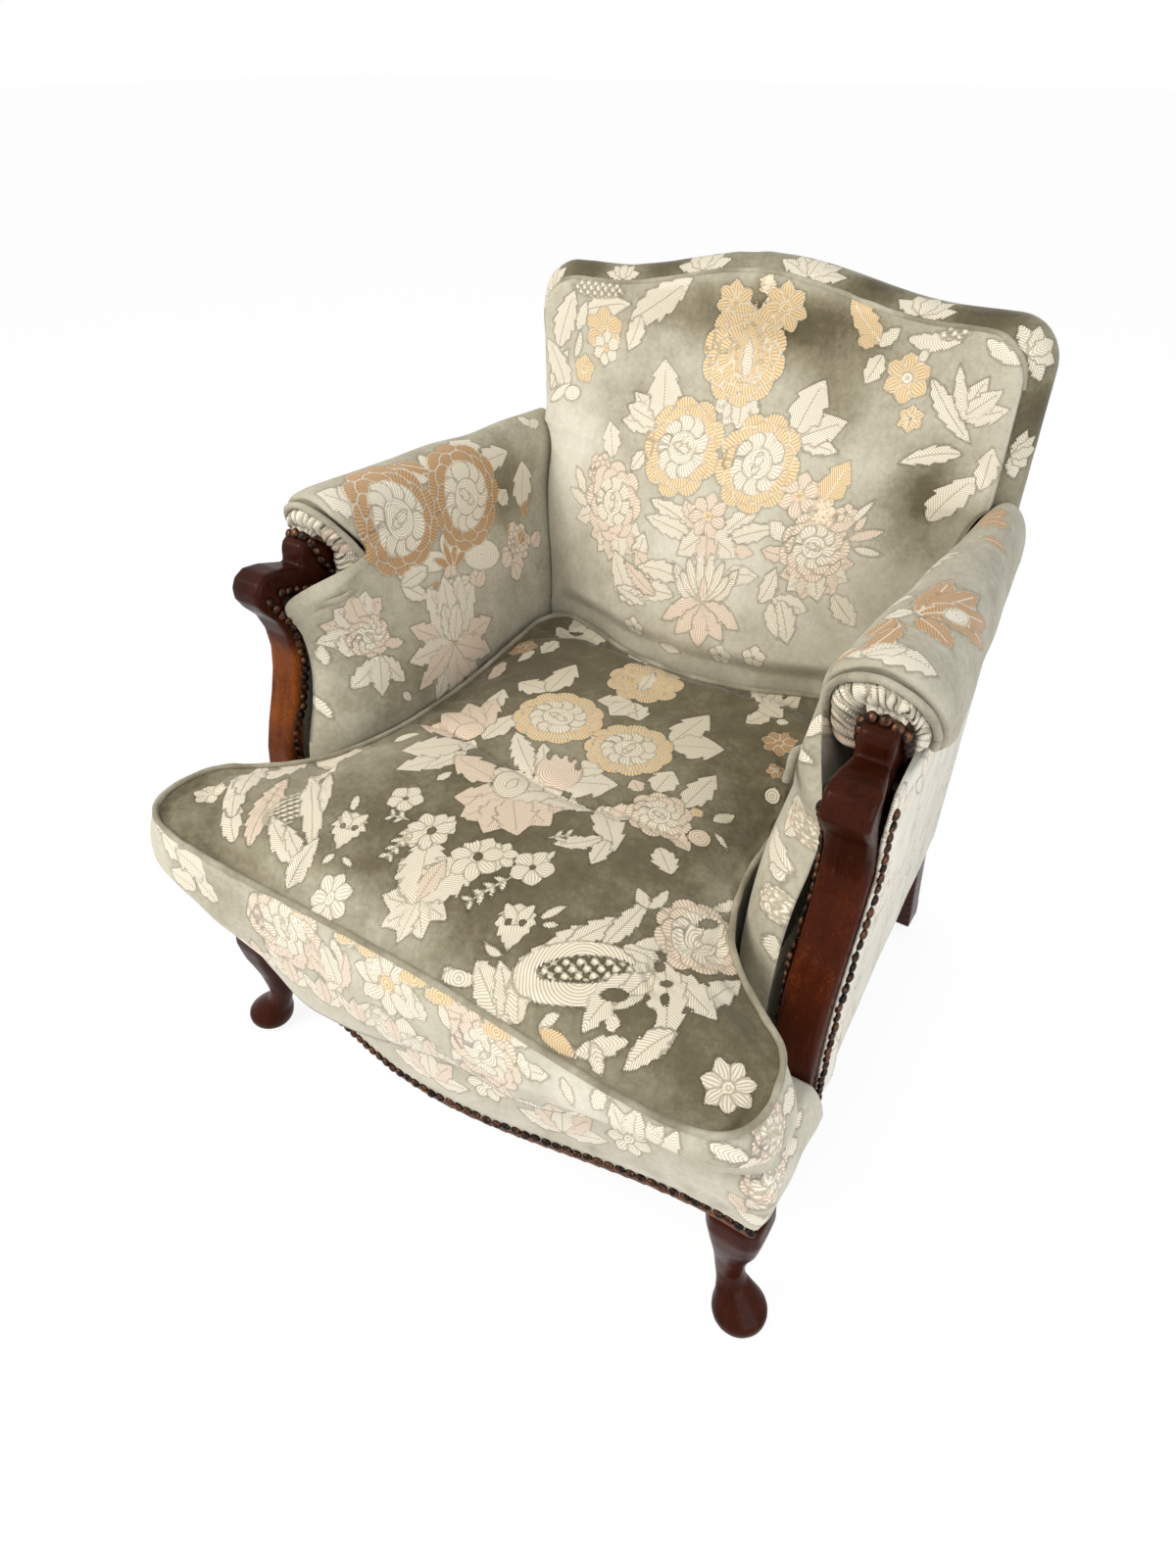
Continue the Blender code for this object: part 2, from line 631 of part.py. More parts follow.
def arm_sections(roll_y, setback, outboard, fullness):
    """Outer and inner line of the arm pad at one station, from the inside arm's foot round the roll."""
    rear = REAR_FACE_Y - UPRIGHT_DEPTH - GAP
    share = (rear - roll_y) / (rear - ROLL_FRONT_Y)
    centre_x, centre_z = roll_centre_x(share), ROLL_CENTRE_Z
    lean = smooth_step((share - 0.80) / 0.20)
    inner_wall = arm_rail_x(share) - ARM_RAIL_WIDE / 2 - 0.001
    outer_wall = arm_rail_x(share) + ARM_RAIL_WIDE / 2 + 0.001
    against_post = POST_INNER_X - GAP
    outer, inner = [], []
    for z in (ARM_PAD_BOTTOM_Z, 0.340, 0.400, 0.445, 0.480, 0.520, 0.560):
        face = inside_arm_x(z, share)
        if setback is None:
            outer.append((face, roll_y, z))
            inner.append((min(face + INSIDE_ARM_THICK, inner_wall, against_post), roll_y, z))
            continue
        y = on_line(ARM_FRONT_LINE, z) + setback
        outer.append((min(face + outboard, against_post - 0.004), y, z))
        hollow = setback > ARM_NOSE[1][0]
        inner.append((face + INSIDE_ARM_THICK if hollow else against_post, y, z))
    outer.append((inside_arm_x(0.5645, share), roll_y, 0.5645))
    inner.append((min(inner_wall, against_post), roll_y, 0.5645))
    top = ARM_RAIL_TOP_Z + GAP
    around = (
        (172, inner_wall, 0.574),
        (150, inner_wall, 0.588),
        (128, inner_wall, top),
        (109, lerp(inner_wall, outer_wall, 0.3), top),
        (90, lerp(inner_wall, outer_wall, 0.6), top),
        (68, outer_wall, top),
        (45, outer_wall, 0.594),
        (22, outer_wall, 0.588),
        (2, outer_wall, 0.584),
        (-12, outer_wall, 0.581),
    )
    for degrees, wall_x, wall_z in around:
        angle = math.radians(degrees)
        reach_x = roll_radius_x(share) * fullness * math.cos(angle)
        z = centre_z + roll_radius_z(share) * fullness * math.sin(angle)
        outer.append((centre_x + reach_x, roll_y + (roll_front_y(z) - ROLL_FRONT_Y) * lean, z))
        inner.append((wall_x, roll_y, wall_z))
    outer.append((max(centre_x + roll_radius_x(share) * 0.86, outer_wall + 0.003), roll_y, 0.581))
    inner.append((outer_wall, roll_y, 0.5805))
    return outer, inner


def arm_pad(fabric):
    """Inside arm and stuffed roll in one, hooked over the arm rail; its front edge follows the post."""
    rear = REAR_FACE_Y - UPRIGHT_DEPTH - GAP
    stations = [(rear, None, 0.0, 1.0), (0.190, None, 0.0, 1.0), (0.080, None, 0.0, 1.0)]
    for order, (setback, outboard, fullness) in enumerate(ARM_NOSE):
        roll_y = ROLL_FRONT_Y + (0.060, 0.036, 0.016, 0.005, 0.0)[order]
        stations.append((roll_y, setback, outboard, fullness))
    outer, inner = [], []
    for station in stations:
        outer_row, inner_row = arm_sections(*station)
        outer.append(outer_row)
        inner.append(inner_row)
    both_sides(lambda side, mirror: sheet_loft(f"arm_pad_{side}", outer, inner, fabric, 60, mirror))


def facing_arc(share, inset=FACING_EDGE_INSET):
    """Outer edge of the gathered front: from under the hand, round the roll, to its outer side."""
    angle = math.radians(lerp(213, -12, share))
    full = ARM_NOSE[-1][2]
    return (
        ROLL_CENTRE_X_FRONT + (ROLL_RADIUS_X_FRONT * full - inset) * math.cos(angle),
        ROLL_CENTRE_Z + (roll_radius_z(1.0) * full - inset) * math.sin(angle),
    )


def hand_edge(share):
    """Inner edge of the gathered front, round the outside of the hand and its block."""
    inner_x = POST_INNER_X - BLOCK_CLEAR
    outer_x = POST_OUTER_X - HAND_TAPER + BLOCK_CLEAR
    low, high = 0.568, 0.615 + GAP
    path = (
        (inner_x, low),
        (inner_x, high - 0.002),
        (POST_INNER_X + 0.004, high + 0.002),
        (outer_x - 0.006, high + 0.002),
        (outer_x, high - 0.002),
        (outer_x, 0.586),
    )
    lengths = [0.0]
    for a, b in zip(path, path[1:]):
        lengths.append(lengths[-1] + math.dist(a, b))
    at = share * lengths[-1]
    for i in range(len(path) - 1):
        if at <= lengths[i + 1] + 1e-9:
            part = (at - lengths[i]) / (lengths[i + 1] - lengths[i])
            return (lerp(path[i][0], path[i + 1][0], part), lerp(path[i][1], path[i + 1][1], part))
    return path[-1]


def arm_facing(fabric):
    """Gathered front of the roll: pleats fan out from the hand's block to the piped edge."""
    steps = FACING_PLEATS * 2
    rings = []
    for i in range(steps + 1):
        share = i / steps
        ox, oz = facing_arc(share)
        ix, iz = hand_edge(share)
        fold = PLEAT_DEPTH if i % 2 else -PLEAT_DEPTH
        over_block = smooth_step((iz - 0.600) / 0.015)
        ring = [(ix, roll_front_y(iz) - FACING_CLEAR, iz)]
        near_y = lerp(ROLL_FRONT_Y - FACING_THICK * 0.6, -0.111, over_block)
        ring.append((ix, near_y, iz))
        for part, thick in ((0.5, 1.0), (0.88, 0.70)):
            z = lerp(iz, oz, part)
            ring.append((lerp(ix, ox, part), roll_front_y(z) - FACING_THICK * thick * 0.8 + fold, z))
        ring.append((ox, roll_front_y(oz) - FACING_CLEAR, oz))
        middle_z = lerp(iz, oz, 0.5)
        ring.append((lerp(ix, ox, 0.5), roll_front_y(middle_z) - FACING_CLEAR, middle_z))
        rings.append(ring)
    both_sides(lambda side, mirror: loft(f"arm_gathers_{side}", rings, fabric, 80, mirror))


def arm_piping(fabric):
    """Covered cord round the front of the roll, outside the gathers."""
    points = []
    for y, z in ((-0.158, 0.5645), (-0.146, 0.5645), (-0.120, 0.5650)):
        points.append((inside_arm_x(z, 1.0) + 0.002 + 0.24 * abs(y + 0.104), y, z))
    steps = 22
    for i in range(steps + 1):
        x, z = facing_arc(i / steps, FACING_EDGE_INSET - ARM_PIPING_RADIUS - 0.001)
        points.append((x, roll_front_y(z) - ARM_PIPING_RADIUS - FACING_CLEAR * 0.9, z))
    radius = ARM_PIPING_RADIUS
    both_sides(lambda side, mirror: tube(f"arm_piping_{side}", points, radius, fabric, mirror=mirror))


def outside_arm(fabric):
    """Outside arm: a taut panel from under the roll down over the side rail."""
    rows = (0.184, 0.240, 0.300, 0.380, 0.450, 0.520, 0.579)
    outer, inner = [], []
    post_rear_y = POST_BLOCK[-2][0]
    for share in (0.0, 0.33, 0.67, 1.0, 1.55, None):
        outer_row, inner_row = [], []
        for z in rows:
            y = outside_arm_front(z) if share is None else lerp(REAR_FACE_Y, post_rear_y, min(share, 1.0))
            if share and share > 1.0:
                y = on_line(((0.184, -0.150), (0.300, -0.150), (0.380, -0.145), (0.579, -0.110)), z)
            x = outside_arm_x(y, z)
            inner_row.append((x, y, z))
            outer_row.append((x + OUTSIDE_ARM_THICK, y, z))
        outer.append(outer_row)
        inner.append(inner_row)
    both_sides(lambda side, mirror: sheet_loft(f"outside_arm_{side}", outer, inner, fabric, 60, mirror))


def outside_arm_x(y, z):
    """X of the outside arm's inner face: on the side rail below, over the post and the hand above."""
    low = seat_half_width(y) + 2 * GAP
    beside_post = POST_OUTER_X + 2 * GAP
    if y < -0.149 and z > RAIL_TOP_Z - 0.001:
        return max(low, beside_post)
    post_rear_y = POST_BLOCK[-2][0]
    share = (y - post_rear_y) / (REAR_FACE_Y - post_rear_y)
    high = lerp(beside_post, SEAT_HALF_REAR + 2 * GAP, max(share, 0.0))
    return max(low, lerp(low, high, smooth_step((z - RAIL_TOP_Z) / 0.26)))


def outside_arm_front(z):
    """Y of the outside arm's front edge, nailed over the side of the post."""
    low = ((0.184, -0.176), (0.240, -0.181), (0.300, -0.189), (0.350, -0.188), (0.380, -0.184))
    high = ((0.415, -0.175), (0.450, -0.163), (0.500, -0.150), (0.540, -0.158), (0.579, -0.150))
    return on_line((*low, *high), z)


def back_frame(wood):
    """Camel-shaped crest rail on the uprights, and the lower back rail between them."""
    inset = BACK_SEAM_OVERHANG
    front_y = REAR_FACE_Y - UPRIGHT_DEPTH
    base = UPRIGHT_TOP_Z + GAP
    rings = []
    steps = BORDER_STEPS
    for i in range(steps + 1):
        half = BACK_SEAM_HALF - inset
        x = half * math.sin(math.pi / 2 * (2 * i / steps - 1))
        top = camel(x, half, CAMEL_PEAK_Z - inset, CAMEL_SHOULDER_Z - inset)
        low = base if abs(x) > half - 0.045 else max(base, top - CREST_RAIL_HIGH)
        rear_y = front_y + RAIL_THICK
        rings.append([(x, front_y, low), (x, rear_y, low), (x, rear_y, top), (x, front_y, top)])
    loft("crest_rail", rings, wood, 40)
    reach = SEAT_HALF_REAR - REAR_LEG_SIDE - GAP
    block(
        "lower_back_rail",
        (-reach, front_y, LOWER_BACK_RAIL_Z),
        (reach, front_y + RAIL_THICK * 0.8, LOWER_BACK_RAIL_Z + LOWER_BACK_RAIL_HIGH),
        wood,
    )


def back_surface_y(x, z):
    """Y of the inside back's front face, leaning back upwards and bulging in the middle."""
    side = SEAM_Y - max(0.0, BACK_LEAN_TOP_Z - z) * BACK_LEAN
    half = back_pad_half(z)
    across = 1.0 - (abs(x) / half) ** 2.4
    rise = (z - BACK_PAD_BOTTOM_Z) / (CAMEL_PEAK_Z - BACK_PAD_BOTTOM_Z)
    upward = (1.0 - smooth_step((rise - 0.55) / 0.45)) * 0.9 + 0.1 * (1.0 - rise)
    return side - BACK_BULGE * max(across, 0.0) * max(upward, 0.0)


def back_pad_half(z):
    """Half width of the back pad at a height: held between the arms below, free above them."""
    share = 0.25
    centre_z = ROLL_CENTRE_Z
    if z < centre_z:
        return inside_arm_x(z, share) - 0.0015
    above = min((z - centre_z) / roll_radius_z(0.0), 1.0)
    beside_roll = roll_centre_x(share) - roll_radius_x(share) * math.sqrt(1.0 - above**2) - 0.0015
    return min(beside_roll, BACK_SEAM_HALF)


def behind_cushion(x):
    """Y just behind the cushion's back edge at x."""
    edge = [(px, py) for px, py in reversed(CUSHION_OUTLINE) if py > 0.180 or px < 0.100 and py > 0.0]
    return on_line(edge, abs(x)) + CUSHION_BACK_BULGE + 0.004


def back_pad(fabric):
    """Stuffed inside back, from the seat to the camel seam."""
    rear_y = REAR_FACE_Y - UPRIGHT_DEPTH - GAP
    columns = 14
    rows = 13
    work = bmesh.new()
    front, rear = [], []
    for j in range(rows + 1):
        front_row, rear_row = [], []
        for i in range(columns + 1):
            across = math.sin(math.pi / 2 * (2 * i / columns - 1))
            top = camel(across * BACK_SEAM_HALF, BACK_SEAM_HALF, CAMEL_PEAK_Z, CAMEL_SHOULDER_Z)
            z = lerp(BACK_PAD_BOTTOM_Z, top, j / rows)
            x = across * back_pad_half(z)
            y = back_surface_y(x, z)
            if z < CUSHION_CROWN_Z + 0.030:
                y = max(y, behind_cushion(x))
            edge = j == rows or i in (0, columns)
            y = min(y, rear_y - 0.012) if not edge else min(y, rear_y - 0.006)
            front_row.append(work.verts.new((x, y, z)))
            rear_row.append(work.verts.new((x, rear_y, z)))
        front.append(front_row)
        rear.append(rear_row)
    for j in range(rows):
        for i in range(columns):
            work.faces.new((front[j][i], front[j][i + 1], front[j + 1][i + 1], front[j + 1][i]))
    rim_front = rim_of(front)
    rim_rear = rim_of(rear)
    count = len(rim_front)
    for i in range(count):
        k = (i + 1) % count
        work.faces.new((rim_front[i], rim_front[k], rim_rear[k], rim_rear[i]))
    inner = [v for row in rear[1:-1] for v in row[1:-1]]
    bmesh.ops.delete(work, geom=inner, context="VERTS")
    work.faces.new(rim_rear)
    add_object("back_pad", work, fabric, 60)


def rim_of(grid):
    """The boundary of a grid of vertices, in order."""
    bottom = grid[0]
    right = [row[-1] for row in grid[1:-1]]
    top = list(reversed(grid[-1]))
    left = [row[0] for row in reversed(grid[1:-1])]
    return [*bottom, *right, *top, *left]


def border_line():
    """Stations of the back border: seam point, outer point and inner point along the camel outline."""
    inset = BACK_SEAM_OVERHANG - 2 * GAP
    lines = []
    for shift, rise in ((0.0, 0.0), (-BORDER_FLARE, -BORDER_RISE), (inset, inset)):
        half = BACK_SEAM_HALF - shift
        line = [(-half, BORDER_FOOT_Z)]
        for i in range(BORDER_STEPS + 1):
            x = half * math.sin(math.pi / 2 * (2 * i / BORDER_STEPS - 1))
            line.append((x, camel(x, half, CAMEL_PEAK_Z - rise, CAMEL_SHOULDER_Z - rise)))
        line.append((half, BORDER_FOOT_Z))
        lines.append(line)
    return list(zip(*lines))


def back_border(fabric):
    """Padded band over the crest rail and the uprights, from the camel seam to the back edge."""
    front_y = SEAM_Y
    rings = []
    for (sx, sz), (ox, oz), (ix, iz) in border_line():
        rings.append(
            [
                (ix, REAR_FACE_Y, iz),
                (ix, front_y, iz),
                (sx, front_y, sz),
                (lerp(sx, ox, 0.75), lerp(front_y, REAR_FACE_Y, 0.45), lerp(sz, oz, 0.75)),
                (ox, REAR_FACE_Y, oz),
            ]
        )
    loft("back_border", rings, fabric, 60)


def outside_back(fabric):
    """Outside back panel, tacked over the back of the frame from the crest to the seat rail."""
    outline = back_outline(-BORDER_RISE, BORDER_FOOT_Z, 12)
    side_x = SEAT_HALF_REAR + OUTSIDE_ARM_THICK
    foot_z = RAIL_BOTTOM_Z + 0.008
    ring = [(-side_x, foot_z), (-side_x, 0.560), *outline, (side_x, 0.560), (side_x, foot_z)]
    near = REAR_FACE_Y + GAP
    middle = (0.0, near + OUTSIDE_BACK_THICK + OUTSIDE_BACK_CROWN, 0.5)
    rings = [
        [(x, near, z) for x, z in ring],
        [(x, near + OUTSIDE_BACK_THICK * 0.7, z) for x, z in ring],
        [(x * 0.94, near + OUTSIDE_BACK_THICK, lerp(0.5, z, 0.94)) for x, z in ring],
    ]
    loft("outside_back", rings, fabric, 60, tips=(None, middle))


def back_webbing(jute):
    """Upright webs behind the back pad, from the lower back rail to the crest rail."""
    rear_face = REAR_FACE_Y - UPRIGHT_DEPTH + RAIL_THICK + GAP
    for i in range(BACK_WEB_COUNT):
        x = (i - (BACK_WEB_COUNT - 1) / 2) * BACK_WEB_PITCH
        low = (x - BACK_WEB_WIDE / 2, rear_face, LOWER_BACK_RAIL_Z)
        high = (x + BACK_WEB_WIDE / 2, rear_face + WEB_THICK, CAMEL_SHOULDER_Z - 0.030)
        block(f"back_web_{i + 1}", low, high, jute)


def seat_webbing(jute):
    """Webs tacked under the seat rails: lengthwise ones on the rails, crosswise ones under those."""
    top = RAIL_BOTTOM_Z - GAP
    front_y = FRONT_RAIL_FACE_Y + 0.004
    rear_y = REAR_FACE_Y - UPRIGHT_DEPTH + RAIL_THICK - 0.004
    for i in range(LENGTH_WEBS):
        x = (i - (LENGTH_WEBS - 1) / 2) * LENGTH_WEB_PITCH
        block(
            f"length_web_{i + 1}",
            (x - WEB_WIDE / 2, front_y, top - WEB_THICK),
            (x + WEB_WIDE / 2, rear_y, top),
            jute,
        )
    cross_top = top - WEB_THICK - GAP
    for i in range(CROSS_WEBS):
        y = CROSS_WEB_FIRST_Y + i * CROSS_WEB_PITCH
        reach = seat_half_width(y) - 0.006
        block(
            f"cross_web_{i + 1}",
            (-reach, y - WEB_WIDE / 2, cross_top - WEB_THICK),
            (reach, y + WEB_WIDE / 2, cross_top),
            jute,
        )


def seat_springs(steel):
    """Hourglass coil springs standing on the webs."""
    low = RAIL_BOTTOM_Z + SPRING_WIRE_RADIUS
    high = SPRING_TOP_Z - SPRING_WIRE_RADIUS
    per_turn = 10
    count = SPRING_TURNS * per_turn
    for row in range(SPRING_ROWS):
        for column in range(SPRING_ROWS):
            cx = (column - 1) * SPRING_PITCH_X
            cy = (row - 1) * SPRING_PITCH_Y - 0.010
            points = []
            for i in range(count + 1):
                share = i / count
                angle = 2 * math.pi * i / per_turn
                waist = 1.0 - abs(2.0 * share - 1.0)
                radius = lerp(SPRING_END_RADIUS, SPRING_WAIST_RADIUS, waist)
                x = cx + radius * math.cos(angle)
                y = cy + radius * math.sin(angle)
                points.append((x, y, lerp(low, high, share)))
            number = row * SPRING_ROWS + column + 1
            tube(f"seat_spring_{number}", points, SPRING_WIRE_RADIUS, steel)


def seat_deck(jute, wadding):
    """Hessian over the springs and the stuffed deck that the cushion lies on."""
    front_y = FRONT_RAIL_FACE_Y + RAIL_THICK + 0.004
    rear_y = 0.170
    hessian_low = SPRING_TOP_Z + GAP
    hessian_top = hessian_low + HESSIAN_THICK
    block(
        "spring_hessian",
        (-DECK_HALF_WIDTH, front_y, hessian_low),
        (DECK_HALF_WIDTH, rear_y, hessian_top),
        jute,
    )
    low = hessian_top + GAP
    rings = []
    for z, grow in ((low, 0.0), (lerp(low, DECK_TOP_Z, 0.6), 0.004), (DECK_TOP_Z, -0.006)):
        plan = rounded_box(DECK_HALF_WIDTH + grow, front_y - grow, rear_y + grow)
        rings.append([(x, y, z) for x, y in plan])
    loft("seat_deck", rings, wadding, 50)


def rounded_box(half, front_y, rear_y, radius=0.030, steps=3):
    """Plan outline of a rectangle with round corners."""
    points = []
    corners = ((half, rear_y, 0), (-half, rear_y, 90), (-half, front_y, 180), (half, front_y, 270))
    for x, y, start in corners:
        cx = x - math.copysign(radius, x)
        cy = y - radius if start in (0, 90) else y + radius
        for i in range(steps + 1):
            angle = math.radians(start + 90 * i / steps)
            points.append((cx + radius * math.cos(angle), cy + radius * math.sin(angle)))
    return points


def border_path():
    """Plan line of the front border's inner face, round both front corners, back to the arm posts."""
    side_x = SEAT_HALF_FRONT + GAP
    post_y = min(y for y, z in POST_FRONT if z < 0.36) - GAP
    path = [(-side_x, post_y), (-side_x, lerp(post_y, FRONT_RAIL_FACE_Y, 0.6))]
    for i in range(FRONT_RAIL_STEPS + 1):
        x = lerp(-side_x, side_x, i / FRONT_RAIL_STEPS)
        path.append((x, front_bow(x) - 2 * GAP))
    path += [(side_x, lerp(post_y, FRONT_RAIL_FACE_Y, 0.6)), (side_x, post_y)]
    return path


def outward_of(path, index):
    """Unit normal of a plan path at a point, pointing away from the seat."""
    before = Vector(path[max(index - 1, 0)])
    after = Vector(path[min(index + 1, len(path) - 1)])
    along = (after - before).normalized()
    return Vector((along.y, -along.x))


def front_border(fabric):
    """Upholstered lip over the front rail, bulging most at the right, where the cushion slipped."""
    path = border_path()
    section = (
        (BORDER_SKIRT_Z, 0.0),
        (BORDER_SKIRT_Z, 0.28),
        (0.225, 0.85),
        (0.255, 1.0),
        (0.277, 0.6),
        (BORDER_TOP_Z, 0.0),
    )
    rings = []
    for i, (x, y) in enumerate(path):
        out = outward_of(path, i)
        right = smooth_step((x / SEAT_HALF_FRONT - 0.45) / 0.5)
        bulge = lerp(BORDER_BULGE_LEFT, BORDER_BULGE, right)
        ring = []
        for z, share in section:
            ring.append((x + out.x * bulge * share, y + out.y * bulge * share, z))
        inward = 0.020
        ring.append((x - out.x * inward, y - out.y * inward, BORDER_TOP_Z - 0.002))
        ring.append((x - out.x * inward, y - out.y * inward, RAIL_TOP_Z + GAP))
        ring.append((x, y, RAIL_TOP_Z + GAP))
        rings.append(ring)
    loft("front_border", rings, fabric, 60)


def full_outline():
    """The whole T outline, counter-clockwise from the middle of the front."""
    right = list(CUSHION_OUTLINE)
    return [*right, *[(-x, y) for x, y in reversed(right[1:-1])]]


def cushion_ring(grow):
    """The T outline moved outwards; grow gives the distance across and along at a point."""
    full = full_outline()
    points = []
    for i, (x, y) in enumerate(full):
        before, after = Vector(full[i - 1]), Vector(full[(i + 1) % len(full)])
        along = (after - before).normalized()
        reach_x, reach_y = grow(x, y)
        points.append((x + along.y * reach_x, y - along.x * reach_y))
    return points


def even(distance):
    return lambda x, y: (distance, distance)


def cushion_bulge(x, y):
    """How far the stuffed band stands out past the piping: most at the ears, least between the arms."""
    ear = smooth_step((-y - 0.235) / 0.04) * smooth_step((abs(x) - 0.28) / 0.05)
    front = smooth_step((-y - 0.300) / 0.04)
    back = smooth_step((y - 0.14) / 0.03) * CUSHION_BACK_BULGE
    side = max(CUSHION_SIDE_BULGE, back)
    ear_bulge = CUSHION_EAR_BULGE if x > 0 else CUSHION_LEFT_EAR_BULGE
    return lerp(side, ear_bulge, ear), lerp(side, CUSHION_FRONT_BULGE, front)


def pipe_z(x, y):
    """Height of the cushion's top piping: it droops over the front edge and lifts at the back."""
    front = smooth_step((-y - 0.20) / 0.15)
    droop = CUSHION_FRONT_SAG * front * (1.0 - (abs(x - 0.06) / 0.40) ** 2)
    rise = 0.018 * smooth_step((y + 0.05) / 0.2)
    return CUSHION_PIPE_Z - droop + rise


def hanging_z(x, y):
    """Height of the band's lowest line: hanging over the front and the left ear, propped at the right."""
    front = smooth_step((-y - 0.300) / 0.045)
    left_ear = smooth_step((-x - 0.29) / 0.03) * smooth_step((-y - 0.285) / 0.03)
    hang = max(front, left_ear)
    low = lerp(0.226, 0.252, smooth_step((x + 0.02) / 0.2))
    low = lerp(low, 0.322, smooth_step((x - 0.19) / 0.13))
    low = lerp(low, 0.262, smooth_step((-x - 0.24) / 0.08))
    return lerp(DECK_TOP_Z + 0.008, low, hang)


def clear_of_border(x, y):
    """How far outside its piping the band hangs, so that it clears the front border."""
    ear = smooth_step((abs(x) - 0.27) / 0.05)
    return lerp(0.0005, 0.0150, ear), 0.0055


def crease_drop(x, y):
    """Depth of the sag crease that runs across the cushion, from the left rear to the right."""
    line_y = -0.155 - 0.09 * (x + 0.05) - 0.06 * math.sin((x + 0.22) * 7.0)
    fade = 1.0 - smooth_step((abs(x) - 0.12) / 0.08)
    return CREASE_DEPTH * math.exp(-(((y - line_y) / 0.016) ** 2)) * fade


def seat_cushion(fabric):
    """Loose T cushion, sagging over the front border, with a dished and creased top."""
    base = full_outline()
    under_z = DECK_TOP_Z + GAP
    inner = [(x * 0.80, lerp(CUSHION_CENTRE_Y, y, 0.80), under_z) for x, y in base]
    rings = [inner]
    levels = (
        (even(-0.010), None, 0.0),
        (clear_of_border, None, 0.0),
        (clear_of_border, 0.0, 0.35),
        (None, 0.0, 0.75),
        (None, 0.30, 1.0),
        (None, 0.62, 1.0),
        (None, 0.92, 0.40),
        (even(0.0), 1.0, 0.0),
    )
    for order, (grow, height, bulge) in enumerate(levels):
        reach = grow or cushion_bulge
        ring = []
        for (x, y), (bx, by) in zip(cushion_ring(reach), base):
            if height is None:
                z = under_z
                hangs = hanging_z(bx, by) < under_z
                if order == 1 and not hangs:
                    x, y, z = bx, by, under_z + 0.001
            else:
                low = hanging_z(bx, by) + (0.0 if order == 2 else 0.010)
                z = lerp(low, pipe_z(bx, by), height)
                if order == 2:
                    full_x, full_y = cushion_bulge(bx, by)
                    near_x, near_y = clear_of_border(bx, by)
                    full = Vector((x - bx, y - by))
                    grown = 0.45
                    x = bx + full.x * lerp(1.0, full_x / max(near_x, 0.001), grown * (near_x > 0.002))
                    y = by + full.y * lerp(1.0, full_y / max(near_y, 0.001), grown)
                    z = max(z, under_z + 0.002) if hanging_z(bx, by) > under_z else z
                elif grow is None:
                    x, y = lerp(bx, x, bulge), lerp(by, y, bulge)
            ring.append((x, y, z))
        rings.append(ring)
    for share in (0.88, 0.68, 0.45, 0.22):
        ring = []
        for bx, by in base:
            x = bx * share
            y = lerp(CUSHION_CENTRE_Y, by, share)
            crown = CUSHION_CROWN_Z - 0.006 - (CUSHION_CROWN_Z - 0.006 - pipe_z(bx, by)) * share**2.4
            ring.append((x, y, crown - crease_drop(x, y)))
        rings.append(ring)
    top = (0.0, CUSHION_CENTRE_Y, CUSHION_CROWN_Z - 0.006 - crease_drop(0.0, CUSHION_CENTRE_Y))
    loft("seat_cushion", rings, fabric, 60, tips=((0.0, CUSHION_CENTRE_Y, under_z), top))


def cushion_piping(fabric):
    """Covered cord along the cushion's top seam."""
    lift = CUSHION_PIPING_RADIUS * 0.72 + GAP
    grown = cushion_ring(even(0.002))
    points = [(x, y, pipe_z(bx, by) + lift) for (x, y), (bx, by) in zip(grown, full_outline())]
    tube("cushion_piping", points, CUSHION_PIPING_RADIUS, fabric, closed=True)


def dust_cover(cloth):
    """Black cloth tacked under the seat, below the webs."""
    top = RAIL_BOTTOM_Z - 2 * (WEB_THICK + GAP) - GAP
    front_y = FRONT_RAIL_FACE_Y + FRONT_LEG_SIDE + 0.006
    rear_y = REAR_FACE_Y - UPRIGHT_DEPTH - 0.014
    outline = (
        (-seat_half_width(front_y) + 0.010, front_y),
        (seat_half_width(front_y) - 0.010, front_y),
        (seat_half_width(rear_y) - 0.010, rear_y),
        (-seat_half_width(rear_y) + 0.010, rear_y),
    )
    prism("dust_cover", outline, "z", top - DUST_COVER_THICK, top, cloth)


def main():
    clear_scene()
    mahogany = surface("polished mahogany", (0.16, 0.035, 0.014), 0.28)
    beech = surface("bare beech", (0.45, 0.30, 0.17), 0.70)
    brocade = surface("cut velvet brocade", (0.55, 0.52, 0.42), 0.85)
    jute = surface("jute webbing", (0.42, 0.32, 0.20), 0.90)
    wadding = surface("cotton wadding", (0.62, 0.58, 0.50), 0.95)
    steel = surface("coppered spring steel", (0.42, 0.30, 0.22), 0.40, 0.9)
    black_cloth = surface("black dust cloth", (0.03, 0.03, 0.03), 0.95)
    front_leg(mahogany)
    rear_post(mahogany)
    front_rail(mahogany)
    side_and_back_rails(beech)
    corner_blocks(beech)
    arm_post(mahogany)
    arm_rails(beech)
    back_frame(beech)
    seat_webbing(jute)
    seat_springs(steel)
    seat_deck(jute, wadding)
    back_webbing(jute)
    back_pad(brocade)
    back_border(brocade)
    outside_back(brocade)
    arm_pad(brocade)
    arm_facing(brocade)
    arm_piping(brocade)
    outside_arm(brocade)
    front_border(brocade)
    seat_cushion(brocade)
    cushion_piping(brocade)
    dust_cover(black_cloth)


main()
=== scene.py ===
"""Looks of a sagging old armchair: cut-velvet brocade over a mahogany show-wood frame.

X runs across with the right of someone facing the chair at +X, the front faces -Y, Z is up. Lengths are
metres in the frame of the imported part, and millimetres on the flat cloth of each woven panel.
"""

from __future__ import annotations

import logging
import math
from dataclasses import dataclass
from enum import Enum
from typing import Sequence

